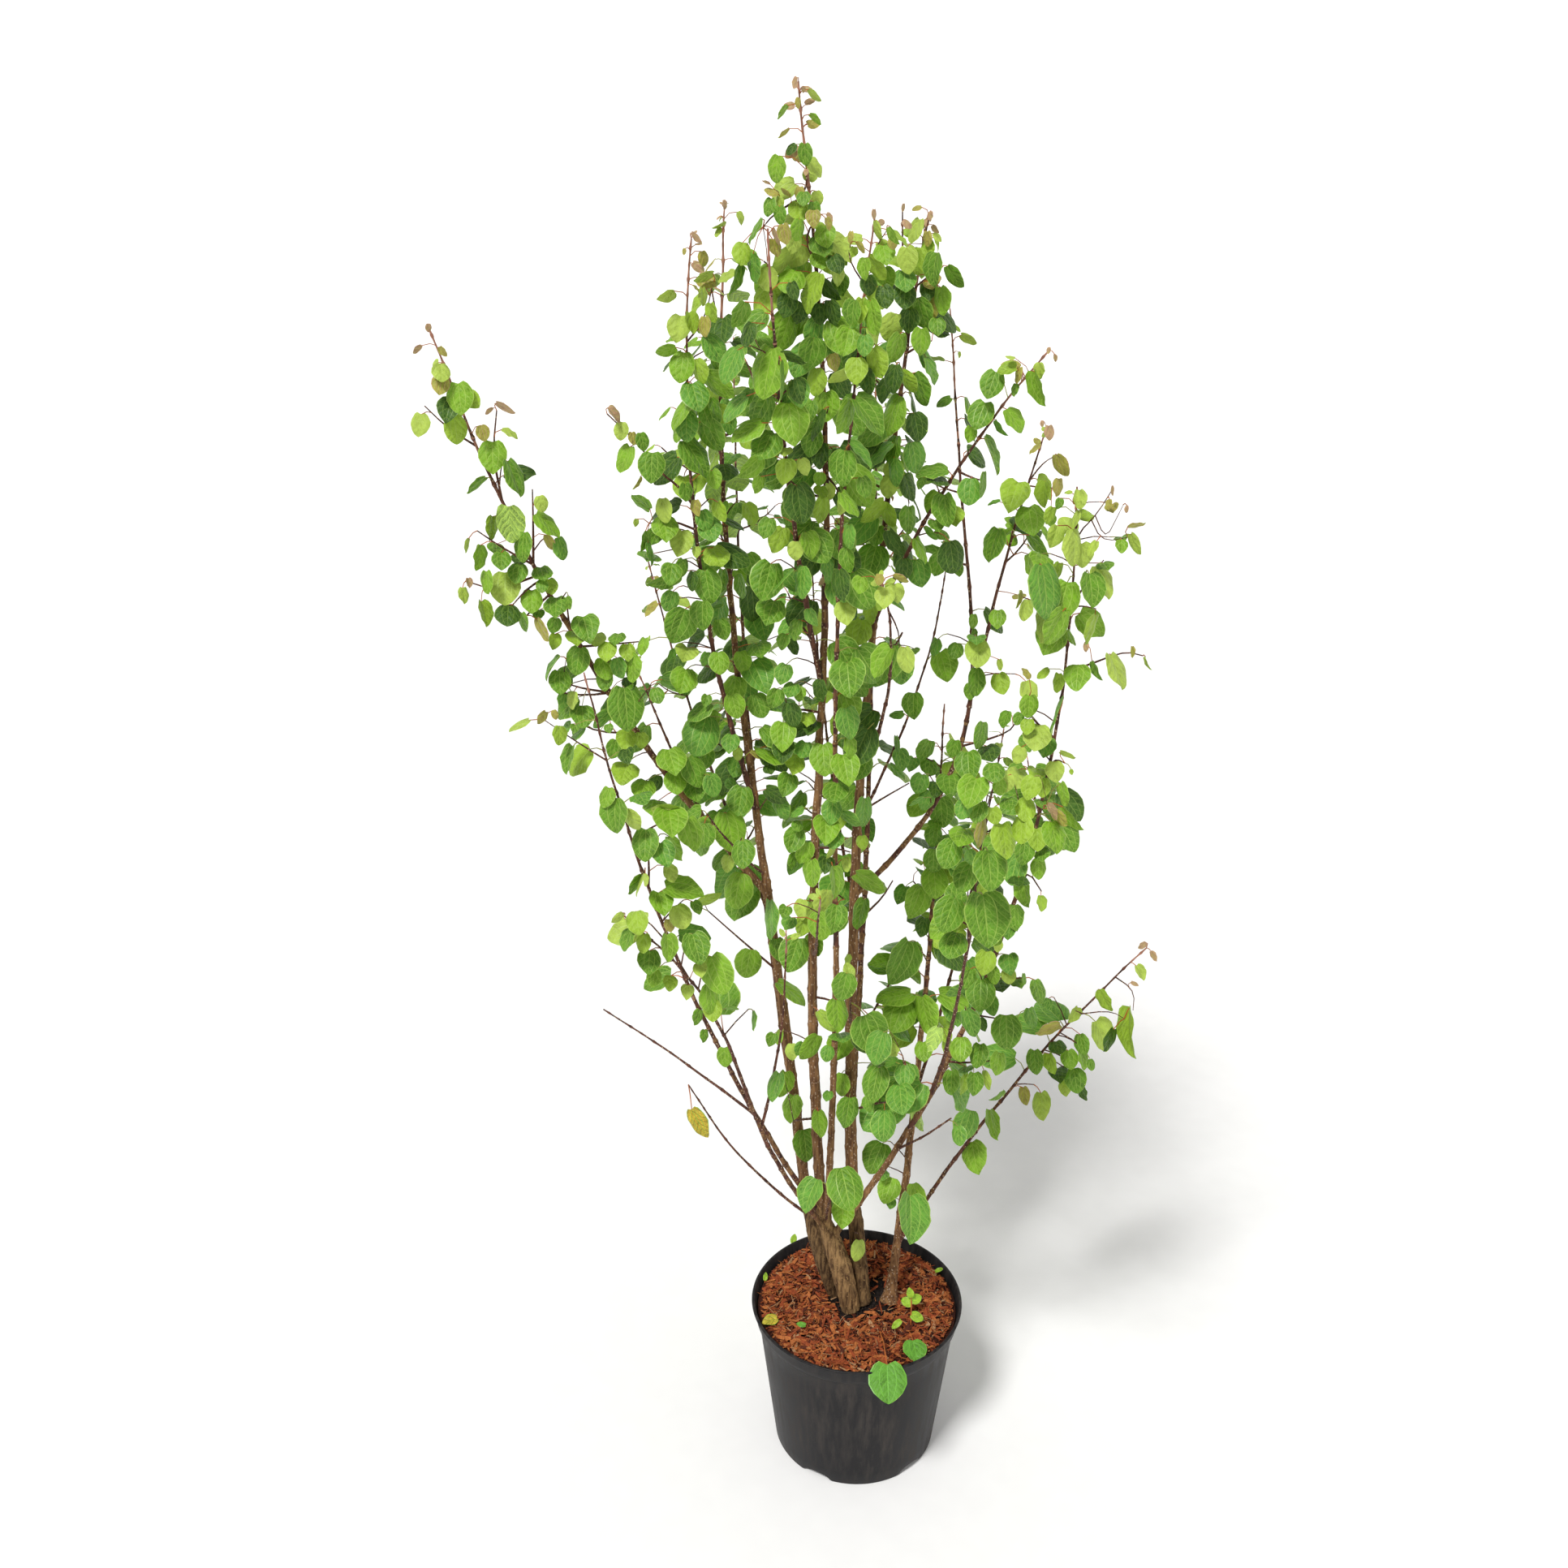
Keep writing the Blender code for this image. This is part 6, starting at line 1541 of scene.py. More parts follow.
            if self.leaf(shoot.name, tip, (side * 0.4 + tangent).normalized(), tangent, smallest * 0.8, kind, 0.9,
                         TIP_RADIUS, dice):
                self.use(shoot.name, 1.0)


def grow_all(grower):
    """The leaves read from the photograph first, then every mass by the rule."""
    for order, group in enumerate(SEEN):
        grower.seen_group(order, *group)
    grower.index_seen()
    for order, shoot in enumerate(SHOOTS):
        if shoot.leafy < 1 and KEPT.get(shoot.name, 1.0) > 0:
            grower.mass(grower.axes[shoot.name], order)


def make_leaf_pieces(leaves, forms, materials):
    """Joins the blades of each kind into one piece."""
    pieces = []
    piles = {}
    counts = {}
    for leaf in leaves:
        counts[leaf.kind] = counts.get(leaf.kind, 0) + 1
        part = counts[leaf.kind] // LEAVES_A_PIECE
        form = forms[leaf.form]
        points, flat = placed_blade(form, leaf.base, leaf.along, leaf.normal, leaf.length, leaf.ratio)
        piles.setdefault((leaf.kind, part), Pile()).add(points, form.faces, form.slots, flat)
    for kind, part in sorted(piles):
        rib = "rib_pink" if kind in ("pink", "bronze") else f"rib_{kind}"
        name = f"leaves_{kind}_{part + 1}" if part else f"leaves_{kind}"
        pieces.append(piles[kind, part].make(name, [materials[kind], materials[rib], materials["under"]],
                                             "foliage", 60.0))
    return pieces


def leaf_materials(settings):
    """The leaf finishes by kind."""
    made = {}
    for kind in ("deep", "mature", "bright", "fresh", "lime", "cool", "bronze", "pink", "yellow"):
        colour = tuple(getattr(settings, kind))
        # On the deep green, which is painted shade, the veins are paled only half as much.
        light = 0.5 if kind == "deep" else 1.0
        pale = tuple(c + 0.60 * light * (v - c) for c, v in zip(colour, settings.vein))
        vein = tuple(c + 0.32 * light * (v - c) for c, v in zip(colour, settings.vein))
        made[kind] = blade_material(f"katsura_blade_{kind}", colour, vein)
        made[f"rib_{kind}"] = plain_material(f"katsura_rib_{kind}", pale, 4, 0.85, 0.40, 0.4)
    made["rib_pink"] = plain_material("katsura_rib_young", tuple(settings.pink), 4, 0.85, 0.40, 0.4)
    made["under"] = blade_material("katsura_underside", tuple(settings.underside), dimmed(settings.vein, 1.3))
    for kind in ("red", "green"):
        colour = tuple(getattr(settings, f"{kind}_stalk"))
        made[kind] = plain_material(f"katsura_stalk_{kind}", colour, 15, 0.65, 0.45, 0.4)
    return made


class KATSURA_OT_limbs(bpy.types.Operator):
    """Bark with its relief on the stool, the stems and the whips"""

    bl_idname = "katsura.limbs"
    bl_label = "Stool, stems and whips"

    def execute(self, context):
        bark = context.scene.katsura_bark
        leaf = context.scene.katsura_leaves
        axes = find_axes(leaf.node_spacing, leaf.seed)
        stem = bark_material("stem_katsura_bark", tuple(bark.stem), tuple(bark.stem_dark), tuple(bark.lenticel),
                             (3.0, 3.0, 24), 0.82)
        whip = bark_material("whip_katsura_bark", tuple(bark.whip), tuple(bark.whip_dark), tuple(bark.lenticel),
                             (3.0, 3.0, 14), 0.70)
        tip = plain_material("growing_tip", tuple(bark.tip), 12, 0.6, 0.6, 0.3, 0.2)
        stool = stool_mesh(axes, bark)
        for shoot, share in zip(LOBES, LOBE_TINTS):
            pale = dimmed(bark.ridge, share)
            old = bark_material(f"old_bark_of_{shoot.name}", pale, dimmed(bark.furrow, share), pale,
                                (3.2, 3.2, 26), 0.92)
            stool.data.materials.append(old)
        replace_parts(stool, "trunk")
        dice = random.Random(leaf.seed + 5)
        stems = Pile()
        whips = Pile()
        stem_nodes = []
        whip_nodes = []
        for shoot in SHOOTS:
            if shoot.leafy == 0:
                continue
            axis = axes[shoot.name]
            thick = shoot.base >= 0.0090
            sides = 12 if thick else (9 if shoot.base > 0.0048 else 7)
            knob = bark.knob_height * (1.1 if thick else 0.6 + 60 * shoot.base)
            pile = stems if thick else whips
            pile.add(*limb(axis, 0.0, 1.0, sides, knob, dice))
            (stem_nodes if thick else whip_nodes).append(shoot.name)
        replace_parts(stems.make("stem_bark", [stem, whip, tip], "bark"), *stem_nodes)
        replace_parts(whips.make("whip_bark", [stem, whip, tip], "bark"), *whip_nodes)
        return {"FINISHED"}


class KATSURA_OT_foliage(bpy.types.Operator):
    """Side twigs, stalks and blades, grown by the seeded rule"""

    bl_idname = "katsura.foliage"
    bl_label = "Side twigs and leaves"

    def execute(self, context):
        settings = context.scene.katsura_leaves
        bark = context.scene.katsura_bark
        axes = find_axes(settings.node_spacing, settings.seed)
        grower = Grower(axes, settings)
        grow_all(grower)
        dice = random.Random(settings.seed)
        forms = [BladeForm(dice) for _ in range(BLADE_FORMS)]
        materials = leaf_materials(settings)
        pieces = make_leaf_pieces(grower.leaves, forms, materials)
        for kind in ("red", "green"):
            pile = Pile()
            for stalk in grower.stalks:
                if stalk.kind == kind:
                    pile.add(*tube(stalk.points, stalk.radii, 4))
            pile.make(f"stalks_{kind}", [materials[kind]], "foliage")
        whip = bark_material("twig_katsura_bark", tuple(bark.whip), tuple(bark.whip_dark), tuple(bark.lenticel),
                             (3.0, 3.0, 14), 0.70)
        tip = plain_material("growing_twig_tip", tuple(bark.tip), 12, 0.6, 0.6, 0.3, 0.2)
        pile = Pile()
        for path, radii in grower.twigs:
            pile.add(*tube(path, radii, 6))
        for shoot in SHOOTS:
            if shoot.leafy == 0 and shoot.name in grower.used:
                axis = axes[shoot.name]
                high = min(1.0, grower.used[shoot.name] + 0.006 / axis.length)
                knob = bark.knob_height * (0.6 + 60 * shoot.base)
                pile.add(*limb(axis, 0.0, high, 9 if shoot.base > 0.0048 else 7, knob, dice))
        twigs = pile.make("side_twigs", [whip, whip, tip], "bark")
        nodes = [shoot.name + "_leaves" for shoot in SHOOTS if shoot.leafy < 1]
        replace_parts(twigs, *nodes)
        print("leaves", len(grower.leaves), "twigs", len(grower.twigs),
              "triangles", sum(len(p.data.loops) - 2 * len(p.data.polygons) for p in pieces))
        return {"FINISHED"}


class KATSURA_OT_pot(bpy.types.Operator):
    """Thin moulded pot with its collar, rolled lip and drain arches"""

    bl_idname = "katsura.pot"
    bl_label = "Pot"

    def execute(self, context):
        segments = 240
        top = POT_HEIGHT - COLLAR_HEIGHT

        def wall(height):
            return POT_BASE_RADIUS + (COLLAR_FOOT_RADIUS - COLLAR_STEP - POT_BASE_RADIUS) * height / top

        rings = []
        for k in range(segments):
            angle = 2 * math.pi * k / segments
            arch = 0.0
            for d in range(DRAIN_COUNT):
                centre = math.radians(DRAIN_FIRST_DEG + 360.0 * d / DRAIN_COUNT)
                off = (angle - centre + math.pi) % (2 * math.pi) - math.pi
                across = abs(off) * POT_BASE_RADIUS / (DRAIN_WIDTH / 2)
                if across < 1:
                    arch = DRAIN_HEIGHT * math.sqrt(1 - across * across)
            notch = POT_BASE_RADIUS - DRAIN_DEPTH
            lip = POT_HEIGHT - LIP_HEIGHT
            profile = [(notch - 0.0006, 0), (notch, 0.0), (notch + 0.0002, arch), (wall(arch) - 0.0018, arch),
                       (wall(arch) - 0.0005, arch + 0.0005), (wall(arch + 0.002), arch + 0.002)]
            profile += [(wall(h), h) for h in (0.02, 0.05, 0.08, 0.11, 0.14, 0.17)]
            profile += [(wall(top - 0.0016), top - 0.0016), (wall(top) + 0.0004, top - 0.0004),
                        (COLLAR_FOOT_RADIUS - 0.0008, top + 0.0004), (COLLAR_FOOT_RADIUS, top + 0.0016)]
            for share in (0.3, 0.6, 0.9):
                profile.append((COLLAR_FOOT_RADIUS + (POT_RIM_RADIUS - LIP_STAND - COLLAR_FOOT_RADIUS) * share,
                                top + 0.001 + (lip - top - 0.001) * share))
            for turn in range(7):
                roll = math.radians(-90 + 30 * turn)
                profile.append((POT_RIM_RADIUS - LIP_STAND + LIP_STAND * math.cos(roll),
                                lip + LIP_HEIGHT / 2 + LIP_HEIGHT / 2 * math.sin(roll)))
            inner = POT_RIM_RADIUS - LIP_STAND - POT_WALL
            profile += [(inner + 0.0006, POT_HEIGHT - 0.0003), (inner, POT_HEIGHT - 0.0012),
                        (COLLAR_FOOT_RADIUS - POT_WALL, top + 0.003), (wall(top) - POT_WALL, top),
                        (wall(POT_FLOOR + DRAIN_HEIGHT) - POT_WALL, POT_FLOOR + DRAIN_HEIGHT)]
            rings.append([(r * math.cos(angle), r * math.sin(angle), z) for r, z in profile])
        rows = len(rings[0])
        points = [p for ring in rings for p in ring]
        bottom = len(points)
        inside = bottom + 1
        points += [(0, 0, 0), (0, 0, POT_FLOOR + DRAIN_HEIGHT)]
        faces = []
        for k in range(segments):
            here = k * rows
            after = ((k + 1) % segments) * rows
            faces.append((bottom, after, here))
            for r in range(rows - 1):
                faces.append((here + r, after + r, after + r + 1, here + r + 1))
            faces.append((inside, here + rows - 1, after + rows - 1))
        pile = Pile()
        pile.add(points, faces)
        pot = pile.make("pot_shell", [pot_material(context.scene.katsura_pot)], "pot", 40.0)
        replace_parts(pot, "pot")
        return {"FINISHED"}


def soil_height(x, y):
    """The mulch: flat round the feet, a low crest, then down to the wall."""
    radius = math.hypot(x, y)
    if radius < SOIL_FLAT_RADIUS:
        return SOIL_FOOT_Z
    if radius < SOIL_CREST_RADIUS:
        share = smoothed((radius - SOIL_FLAT_RADIUS) / (SOIL_CREST_RADIUS - SOIL_FLAT_RADIUS))
        return SOIL_FOOT_Z + (SOIL_CREST_Z - SOIL_FOOT_Z) * share
    share = (radius - SOIL_CREST_RADIUS) / (SOIL_EDGE_RADIUS - SOIL_CREST_RADIUS)
    return SOIL_CREST_Z + (SOIL_EDGE_Z - SOIL_CREST_Z) * share


def in_hollow(x, y, grow=0.0):
    """True in the ragged hollow round the feet, where the bare soil shows."""
    far_x = (x - HOLLOW_CENTRE[0]) / (HOLLOW_RADII[0] + grow)
    far_y = (y - HOLLOW_CENTRE[1]) / (HOLLOW_RADII[1] + grow)
    ragged = 1 + 0.35 * noise.noise(Vector((x * 70, y * 70, 2.0)))
    return math.hypot(far_x, far_y) < ragged


def chip_form(dice):
    """A torn flake of unit length, width and thickness: six ragged corners, a little twisted."""
    outline = ((-0.5, 0.1), (-0.34, 0.5), (0.28, 0.42), (0.5, -0.06), (0.25, -0.5), (-0.4, -0.4))
    points = []
    for lift in (0.5, -0.5):
        for x, y in outline:
            points.append((x + dice.uniform(-0.08, 0.08), (y + dice.uniform(-0.12, 0.12)) * (0.85 + 0.3 * lift),
                           lift + dice.uniform(-0.25, 0.25) + 0.8 * x * y))
    faces = [tuple(range(6)), tuple(range(11, 5, -1))]
    for k in range(6):
        after = (k + 1) % 6
        faces.append((after, k, 6 + k, 6 + after))
    return points, faces


class KATSURA_OT_mulch(bpy.types.Operator):
    """Soil, shredded bark and loose fibres in the pot"""

    bl_idname = "katsura.mulch"
    bl_label = "Soil and mulch"

    def execute(self, context):
        settings = context.scene.katsura_pot
        dice = random.Random(11)
        self.bed(settings)
        kinds = ("red", "dark", "orange", "pale")
        shades = {kind: crumb_material(f"shredded_bark_{kind}", tuple(getattr(settings, kind + "_chip")),
                                       2.2, 0.3, 0.7, 0.5, 1.0, 0.85, 0.5) for kind in kinds}
        forms = [chip_form(dice) for _ in range(12)]
        piles = {kind: Pile() for kind in kinds}
        edge = SOIL_EDGE_RADIUS - 0.002
        for k in range(settings.chip_count):
            radius = edge * math.sqrt(dice.random())
            angle = dice.uniform(0, 2 * math.pi)
            x = radius * math.cos(angle)
            y = radius * math.sin(angle)
            if in_hollow(x, y) and dice.random() > 0.05:
                continue
            length = settings.chip_length * math.exp(dice.gauss(-0.1, 0.45))
            length = min(length, 0.032)
            width = length * dice.uniform(0.12, 0.38)
            thick = dice.uniform(0.0006, 0.0015)
            layer = dice.random()
            lift = 0.0005 + 0.0045 * layer
            spin = Matrix.Rotation(dice.uniform(0, 2 * math.pi), 3, "Z")
            tilt = Matrix.Rotation(dice.gauss(0, 0.22), 3, "Y") @ Matrix.Rotation(dice.gauss(0, 0.5), 3, "X")
            turned = spin @ tilt @ Matrix.Diagonal((length, width, thick))
            if radius + length * 0.5 > edge:
                radius = edge - length * 0.5
                x = radius * math.cos(angle)
                y = radius * math.sin(angle)
            place = Vector((x, y, soil_height(x, y) + lift))
            # Chips low in the layer take the dark colour, painted shade under the chips above; among the higher ones
            # dark bark comes by chance.
            kind = "dark" if layer < 0.3 else dice.choice(("red", "red", "red", "orange", "dark", "orange", "pale"))
            if kind == "pale" and dice.random() < 0.55:
                kind = "orange"
            points, faces = forms[k % len(forms)]
            piles[kind].add([turned @ Vector(p) + place for p in points], faces)
        for kind in kinds:
            piles[kind].make(f"mulch_{kind}", [shades[kind]], "mulch", 25.0)
        self.fibres(settings, dice, shades)
        self.crumbs(settings, dice)
        return {"FINISHED"}

    def bed(self, settings):
        """The bed that the chips lie on: dark mulch colour as painted shade between the chips, and bare soil in the
        hollow.
        """
        rows = 30
        segments = 96
        points = []
        faces = []
        slots = []
        for row in range(1, rows + 1):
            for k in range(segments):
                radius = (SOIL_EDGE_RADIUS - 0.0002) * row / rows
                angle = 2 * math.pi * k / segments
                x = radius * math.cos(angle)
                y = radius * math.sin(angle)
                rough = 0.0014 * noise.noise(Vector((x * 190, y * 190, 0)))
                dip = 0.0016 if in_hollow(x, y) else 0.0
                points.append((x, y, soil_height(x, y) + rough - dip - 0.0006))
        centre = len(points)
        points.append((0, 0, SOIL_FOOT_Z - 0.0016))
        for k in range(segments):
            after = (k + 1) % segments
            faces.append((centre, k, after))
            slots.append(1)
            for row in range(rows - 1):
                low = row * segments
                face = (low + k, low + segments + k, low + segments + after, low + after)
                faces.append(face)
                slots.append(1 if in_hollow(*points[face[0]][:2]) else 0)
        foot = len(points)
        low_radius = POT_BASE_RADIUS - 0.004
        low_z = POT_FLOOR + DRAIN_HEIGHT + GAP
        ring_z = POT_HEIGHT - COLLAR_HEIGHT - 0.002
        ring_radius = COLLAR_FOOT_RADIUS - COLLAR_STEP - POT_WALL - 0.001
        for radius, height in ((ring_radius, ring_z), (low_radius, low_z)):
            for k in range(segments):
                angle = 2 * math.pi * k / segments
                points.append((radius * math.cos(angle), radius * math.sin(angle), height))
        under = len(points)
        points.append((0, 0, low_z))
        last = (rows - 1) * segments
        for k in range(segments):
            after = (k + 1) % segments
            faces.append((last + k, foot + k, foot + after, last + after))
            faces.append((foot + k, foot + segments + k, foot + segments + after, foot + after))
            faces.append((under, foot + segments + after, foot + segments + k))
            slots.extend([0, 1, 1])
        pile = Pile()
        pile.add(points, faces, slots)
        # The bed is the dark chip colour darkened further: painted shade in the gaps between the chips.
        base = crumb_material("shaded_mulch", tuple(settings.dark_chip), 2.2, 0.3, 0.7, 0.25, 0.5, 0.85, 0.5)
        peat = crumb_material("moist_peat", tuple(settings.soil), 2.4, 0.4, 0.8, 1.0, 3.2, 0.7, 1.6)
        bed = pile.make("mulch_bed", [base, peat], "mulch", 80.0)
        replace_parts(bed, "soil")

    def fibres(self, settings, dice, shades):
        """Loose bast fibres, bent and lying every way."""
        pile = Pile()
        for _ in range(settings.fibre_count):
            radius = (SOIL_EDGE_RADIUS - 0.012) * math.sqrt(dice.random())
            angle = dice.uniform(0, 2 * math.pi)
            x = radius * math.cos(angle)
            y = radius * math.sin(angle)
            if in_hollow(x, y) and dice.random() > 0.12:
                continue
            length = dice.uniform(0.006, 0.020)
            heading = dice.uniform(0, 2 * math.pi)
            curve = dice.uniform(-1.4, 1.4)
            height = soil_height(x, y) + dice.uniform(0.003, 0.0058)
            rise = dice.uniform(-0.0015, 0.0020)
            path = []
            for share in (0, 0.33, 0.67, 1):
                path.append(Vector((x, y, height + rise * share)))
                x += math.cos(heading + curve * share) * length / 3
                y += math.sin(heading + curve * share) * length / 3
            thick = dice.uniform(0.00022, 0.00050)
            pile.add(*tube(path, [thick, thick, thick * 0.9, thick * 0.5], 3), dice.choice((0, 0, 1, 1, 2)))
        pile.make("mulch_fibres", [shades["red"], shades["orange"], shades["pale"]], "mulch")

    def crumbs(self, settings, dice):
        """Crumbs of peat in the hollow round the feet."""
        pile = Pile()
        for _ in range(420):
            angle = dice.uniform(0, 2 * math.pi)
            share = math.sqrt(dice.random()) * 1.05
            x = HOLLOW_CENTRE[0] + HOLLOW_RADII[0] * share * math.cos(angle)
            y = HOLLOW_CENTRE[1] + HOLLOW_RADII[1] * share * math.sin(angle)
            size = dice.uniform(0.0007, 0.0022)
            points = []
            for turn in range(2):
                for k in range(5):
                    around = 2 * math.pi * (k + 0.5 * turn) / 5
                    reach = size * dice.uniform(0.7, 1.1) * (1.0 if turn == 0 else 0.6)
                    points.append((x + reach * math.cos(around), y + reach * math.sin(around),
                                   SOIL_FOOT_Z - 0.0014 + size * (0.3 + 1.1 * turn)))
            points.append((x, y, SOIL_FOOT_Z - 0.0014 + size * 1.8))
            faces = [(4, 3, 2, 1, 0)]
            for k in range(5):
                after = (k + 1) % 5
                faces += [(k, after, 5 + k), (after, 5 + after, 5 + k), (5 + k, 5 + after, 10)]
            pile.add(points, faces)
        peat = crumb_material("peat_crumb", tuple(settings.soil), 2.4, 0.4, 0.8, 1.4, 4.5, 0.7, 1.6)
        pile.make("peat_crumbs", [peat], "mulch", 30.0)


class KATSURA_OT_litter(bpy.types.Operator):
    """Leaf over the rim, seedling, fallen leaf and the yellow leaf on the bare twig"""

    bl_idname = "katsura.litter"
    bl_label = "Seedling and loose leaves"

    def execute(self, context):
        settings = context.scene.katsura_leaves
        dice = random.Random(settings.seed + 31)
        forms = [BladeForm(dice) for _ in range(BLADE_FORMS)]
        materials = {
            "fresh": blade_material("seedling_blade", tuple(settings.fresh), dimmed(settings.fresh, 1.2)),
            "cool": blade_material("rim_blade", tuple(settings.cool), dimmed(settings.cool, 1.2)),
            "yellow": blade_material("fallen_blade", tuple(settings.yellow), dimmed(settings.yellow, 0.35)),
            "rib": plain_material("loose_rib", dimmed(settings.cool, 1.5), 4, 0.85, 0.40, 0.4),
            "under": blade_material("loose_underside", tuple(settings.underside), tuple(settings.vein)),
            "stalk": plain_material("loose_stalk", tuple(settings.red_stalk), 15, 0.65, 0.45, 0.4),
        }
        up = Vector((0, 0, 1))
        rim = POT_RIM_RADIUS
        mulch = SOIL_CREST_Z + 0.005
        twig_end = Vector((-0.221, 0.060, 0.518))
        # kind, foot of the stalk, base of the blade, tip direction, face, length, width share
        loose = (
            ("cool", (0.028, -0.060, mulch), (0.0330, -0.1290, POT_HEIGHT + 0.004), (0.02, -0.85, -0.55),
             (0.05, -0.55, 0.83), 0.047, 1.05),
            ("cool", (0.0665, -0.062, mulch), (0.0690, -0.0830, mulch + 0.006), (0.15, -1, -0.05),
             (0.1, -0.2, 1), 0.030, 1.05),
            ("fresh", (0.0690, -0.048, mulch), (0.0700, -0.0330, mulch + 0.020), (-0.5, 0.3, 0.2),
             (-0.1, -0.6, 0.8), 0.015, 0.85),
            ("fresh", (0.0690, -0.048, mulch), (0.0710, -0.0300, mulch + 0.024), (0.7, 0.4, 0.1),
             (0.2, -0.6, 0.8), 0.016, 0.85),
            ("fresh", (0.0660, -0.052, mulch), (0.0560, -0.0480, mulch + 0.008), (-0.4, -0.6, 0.2),
             (-0.1, -0.7, 0.7), 0.016, 0.55),
            ("fresh", (0.0690, -0.048, mulch), (0.0700, -0.0420, mulch + 0.012), (0.8, -0.3, 0.0),
             (0.1, -0.5, 0.9), 0.017, 0.85),
            ("fresh", (0.0690, -0.048, mulch), (0.0700, -0.0300, mulch + 0.030), (-0.2, 0.2, 0.8),
             (-0.1, -0.9, 0.3), 0.013, 0.80),
            ("yellow", (-0.104, -0.036, mulch), (-0.1060, -0.0370, mulch + 0.001), (-0.9, -0.35, 0.05),
             (0.1, -0.25, 0.95), 0.021, 0.80),
            ("cool", (-0.070, -0.050, mulch), (-0.0690, -0.0500, mulch + 0.001), (-0.9, 0.2, 0.1),
             (0.2, -0.3, 0.95), 0.012, 0.7),
            ("fresh", (-0.084, 0.112, mulch), (-0.0850, 0.1130, mulch + 0.002), (0.2, 0.8, 0.3),
             (0.1, -0.7, 0.7), 0.013, 0.7),
            ("fresh", (-0.123, 0.037, mulch - 0.003), (-0.1230, 0.0380, mulch), (0.1, 0.7, 0.5),
             (0.3, -0.7, 0.7), 0.011, 0.6),
            ("fresh", (0.109, 0.052, mulch), (0.1100, 0.0530, mulch + 0.002), (0.8, 0.4, 0.1),
             (0.0, -0.4, 0.9), 0.012, 0.5),
            ("yellow", tuple(twig_end), (-0.2170, 0.0520, 0.4850), (0.52, -0.12, -0.84),
             (-0.30, -0.75, 0.20), 0.043, 0.62),
        )
        piles = {kind: Pile() for kind in ("fresh", "cool", "yellow")}
        stalks = Pile()
        for k, (kind, foot, base, along, normal, length, ratio) in enumerate(loose):
            normal = Vector(normal).normalized()
            along = Vector(along)
            along = (along - normal * along.dot(normal)).normalized()
            form = forms[k % BLADE_FORMS]
            points, flat = placed_blade(form, base, along, normal, length, ratio)
            piles[kind].add(points, form.faces, form.slots, flat)
            foot = Vector(foot)
            base = Vector(base)
            middle = foot.lerp(base, 0.5) + up * (0.12 * (base - foot).length)
            thick = 0.0005 + 0.006 * length
            stalks.add(*tube((foot, middle, base), (thick * 1.2, thick, thick * 0.9), 5))
        names = {"fresh": "seedling_leaves", "cool": "rim_leaves", "yellow": "yellow_leaves"}
        for kind, pile in piles.items():
            pile.make(names[kind], [materials[kind], materials["rib"], materials["under"]], "foliage", 60.0)
        stalks.make("loose_stalks", [materials["stalk"]], "foliage")
        return {"FINISHED"}


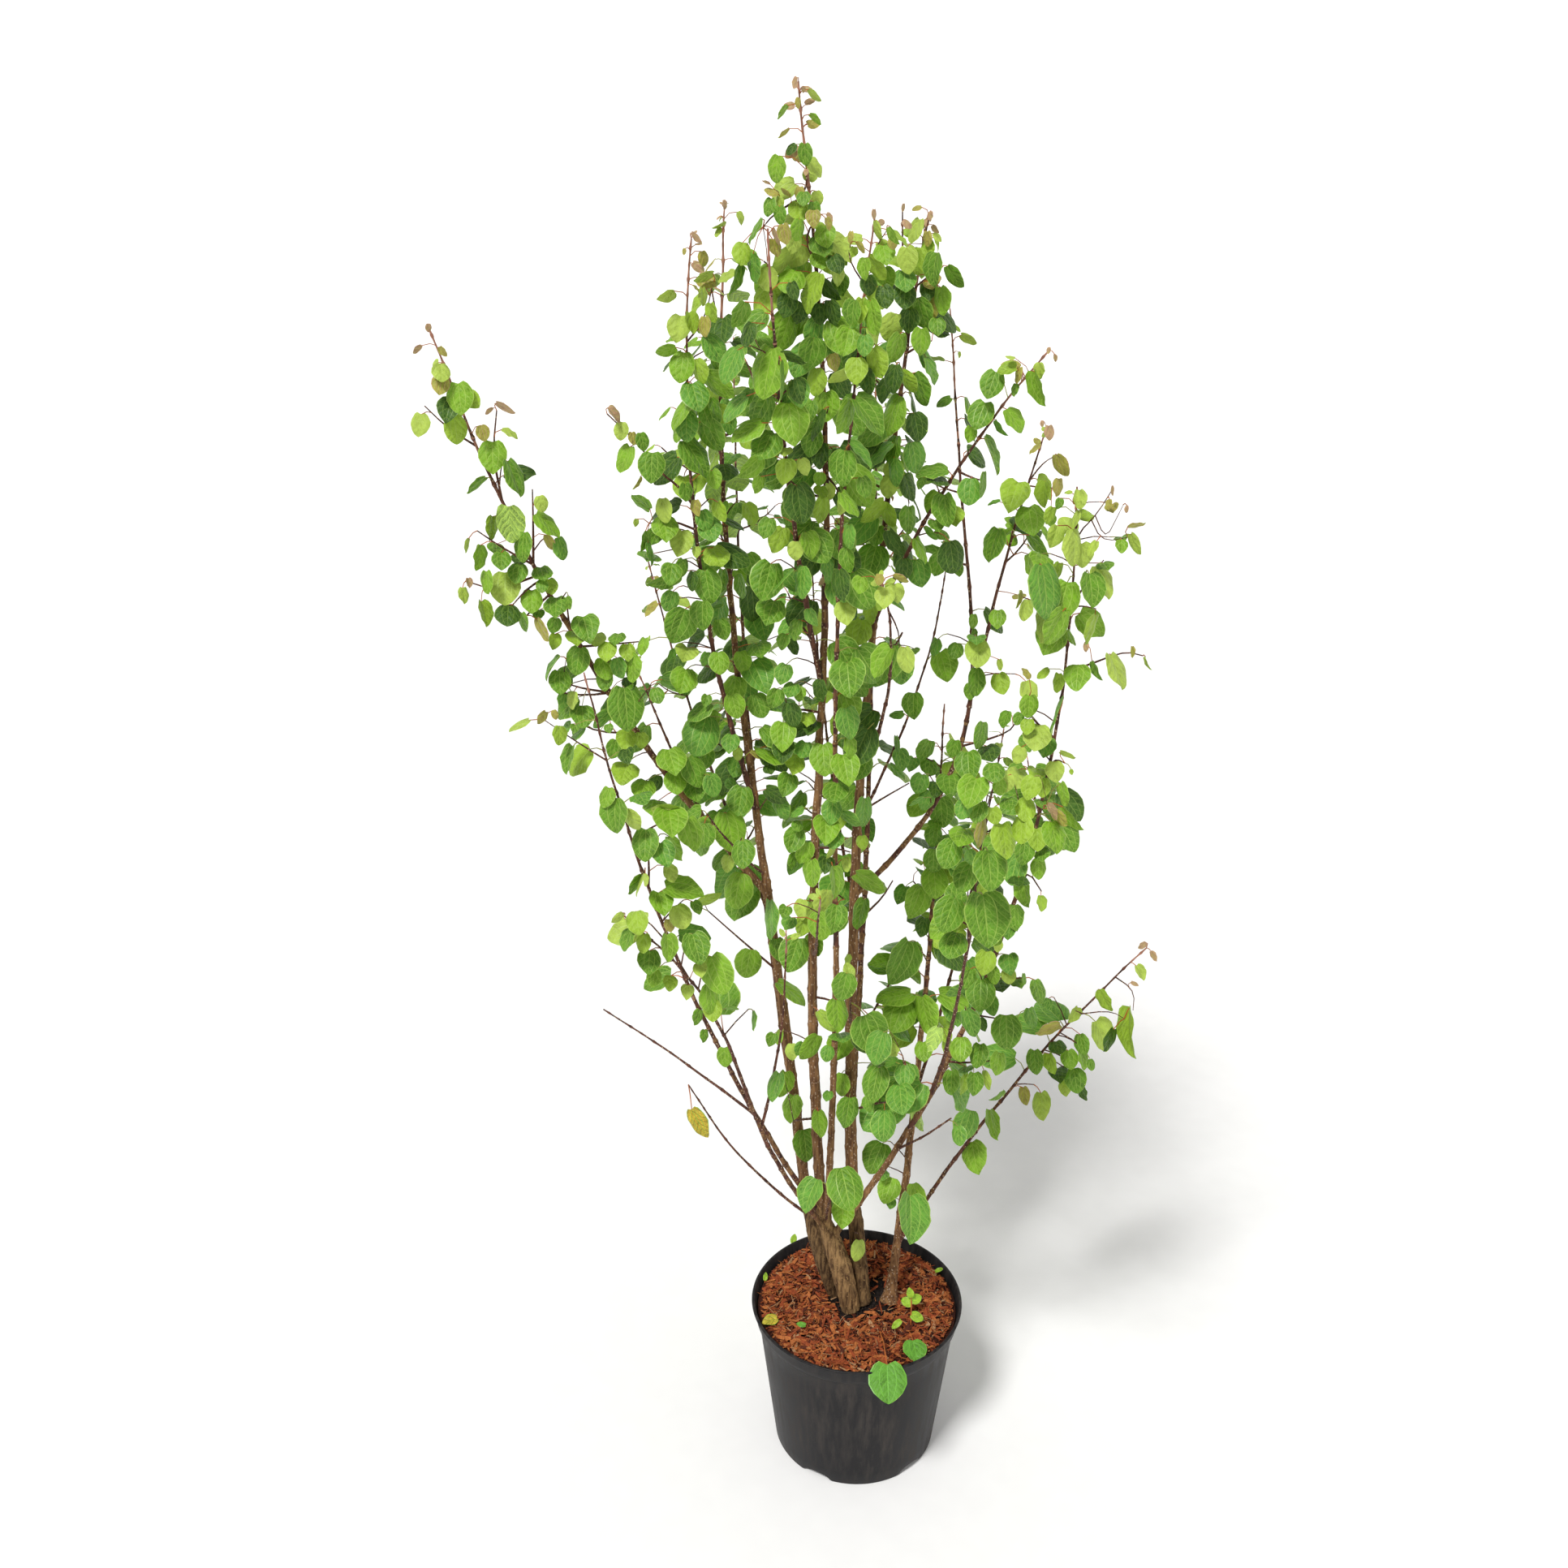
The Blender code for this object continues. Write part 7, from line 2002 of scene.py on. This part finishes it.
class KATSURA_OT_stage(bpy.types.Operator):
    """Pale floor, soft studio light and the camera"""

    bl_idname = "katsura.stage"
    bl_label = "Floor, lights and camera"

    def execute(self, context):
        settings = context.scene.katsura_stage
        scene = context.scene
        scene.view_settings.view_transform = "Standard"
        mesh = self.cove()
        mesh.materials.append(plain_material("matt_floor_paint", tuple(settings.floor), 40, 0.985, 0.9, 0.2))
        floor = bpy.data.objects.new("floor", mesh)
        scene.collection.objects.link(floor)
        world = bpy.data.worlds.new("studio")
        scene.world = world
        world.use_nodes = True
        background = world.node_tree.nodes["Background"]
        background.inputs["Color"].default_value = (0.985, 0.99, 1.0, 1.0)
        background.inputs["Strength"].default_value = 0.44
        self.lamp(scene, "key", (-1.1, -1.7, 3.9), 12.0, 2.45)
        self.lamp(scene, "fill", (2.4, -1.8, 2.2), 60.0, 0.25)
        camera = bpy.data.objects.new("camera", bpy.data.cameras.new("camera"))
        scene.collection.objects.link(camera)
        camera.location = settings.camera_place
        camera.rotation_euler = (settings.camera_pitch, 0.0, 0.0)
        camera.data.lens = settings.camera_lens
        camera.data.sensor_width = 36.0
        scene.camera = camera
        return {"FINISHED"}

    def cove(self):
        """A round floor that curves up far behind the plant, so that no edge shows."""
        profile = [(COVE_FLAT + COVE_BEND * math.sin(a), COVE_BEND * (1 - math.cos(a)))
                   for a in [math.radians(6 * k) for k in range(16)]]
        count = 96
        points = [(0, 0, 0)]
        for radius, height in profile:
            for k in range(count):
                angle = 2 * math.pi * k / count
                points.append((radius * math.cos(angle), radius * math.sin(angle), height))
        faces = [(0, 1 + k, 1 + (k + 1) % count) for k in range(count)]
        for ring in range(len(profile) - 1):
            low = 1 + ring * count
            high = low + count
            for k in range(count):
                after = (k + 1) % count
                faces.append((low + k, high + k, high + after, low + after))
        mesh = bpy.data.meshes.new("floor")
        mesh.from_pydata(points, [], faces)
        mesh.polygons.foreach_set("use_smooth", [True] * len(faces))
        return mesh

    def lamp(self, scene, name, place, spread_deg, strength):
        """A soft, even light from one side, so wide that it casts no hard shadow."""
        light = bpy.data.lights.new(name, "SUN")
        light.angle = math.radians(spread_deg)
        light.energy = strength
        obj = bpy.data.objects.new(name, light)
        scene.collection.objects.link(obj)
        obj.location = place
        aim = Vector((0.0, 0.05, 0.85)) - Vector(place)
        obj.rotation_euler = aim.to_track_quat("-Z", "Y").to_euler()


class KATSURA_PT_panel(bpy.types.Panel):
    """The katsura's pieces and settings"""

    bl_label = "Potted Katsura"
    bl_space_type = "VIEW_3D"
    bl_region_type = "UI"
    bl_category = "Katsura"

    def draw(self, context):
        layout = self.layout
        for operator in (KATSURA_OT_stage, KATSURA_OT_pot, KATSURA_OT_mulch, KATSURA_OT_limbs,
                         KATSURA_OT_foliage, KATSURA_OT_litter):
            layout.operator(operator.bl_idname)
        for group in (context.scene.katsura_leaves, context.scene.katsura_bark, context.scene.katsura_pot,
                      context.scene.katsura_stage):
            box = layout.box()
            for name in group.__annotations__:
                box.prop(group, name)


CLASSES = (KatsuraLeafSettings, KatsuraBarkSettings, KatsuraPotSettings, KatsuraStageSettings,
           KATSURA_OT_stage, KATSURA_OT_pot, KATSURA_OT_mulch, KATSURA_OT_limbs, KATSURA_OT_foliage,
           KATSURA_OT_litter, KATSURA_PT_panel)


def register():
    for cls in CLASSES:
        bpy.utils.register_class(cls)
    bpy.types.Scene.katsura_leaves = PointerProperty(type=KatsuraLeafSettings)
    bpy.types.Scene.katsura_bark = PointerProperty(type=KatsuraBarkSettings)
    bpy.types.Scene.katsura_pot = PointerProperty(type=KatsuraPotSettings)
    bpy.types.Scene.katsura_stage = PointerProperty(type=KatsuraStageSettings)


def unregister():
    del bpy.types.Scene.katsura_leaves
    del bpy.types.Scene.katsura_bark
    del bpy.types.Scene.katsura_pot
    del bpy.types.Scene.katsura_stage
    for cls in reversed(CLASSES):
        bpy.utils.unregister_class(cls)


def main():
    register()
    bpy.ops.katsura.stage()
    bpy.ops.katsura.pot()
    bpy.ops.katsura.mulch()
    bpy.ops.katsura.limbs()
    bpy.ops.katsura.foliage()
    bpy.ops.katsura.litter()


if __name__ == "__main__":
    main()
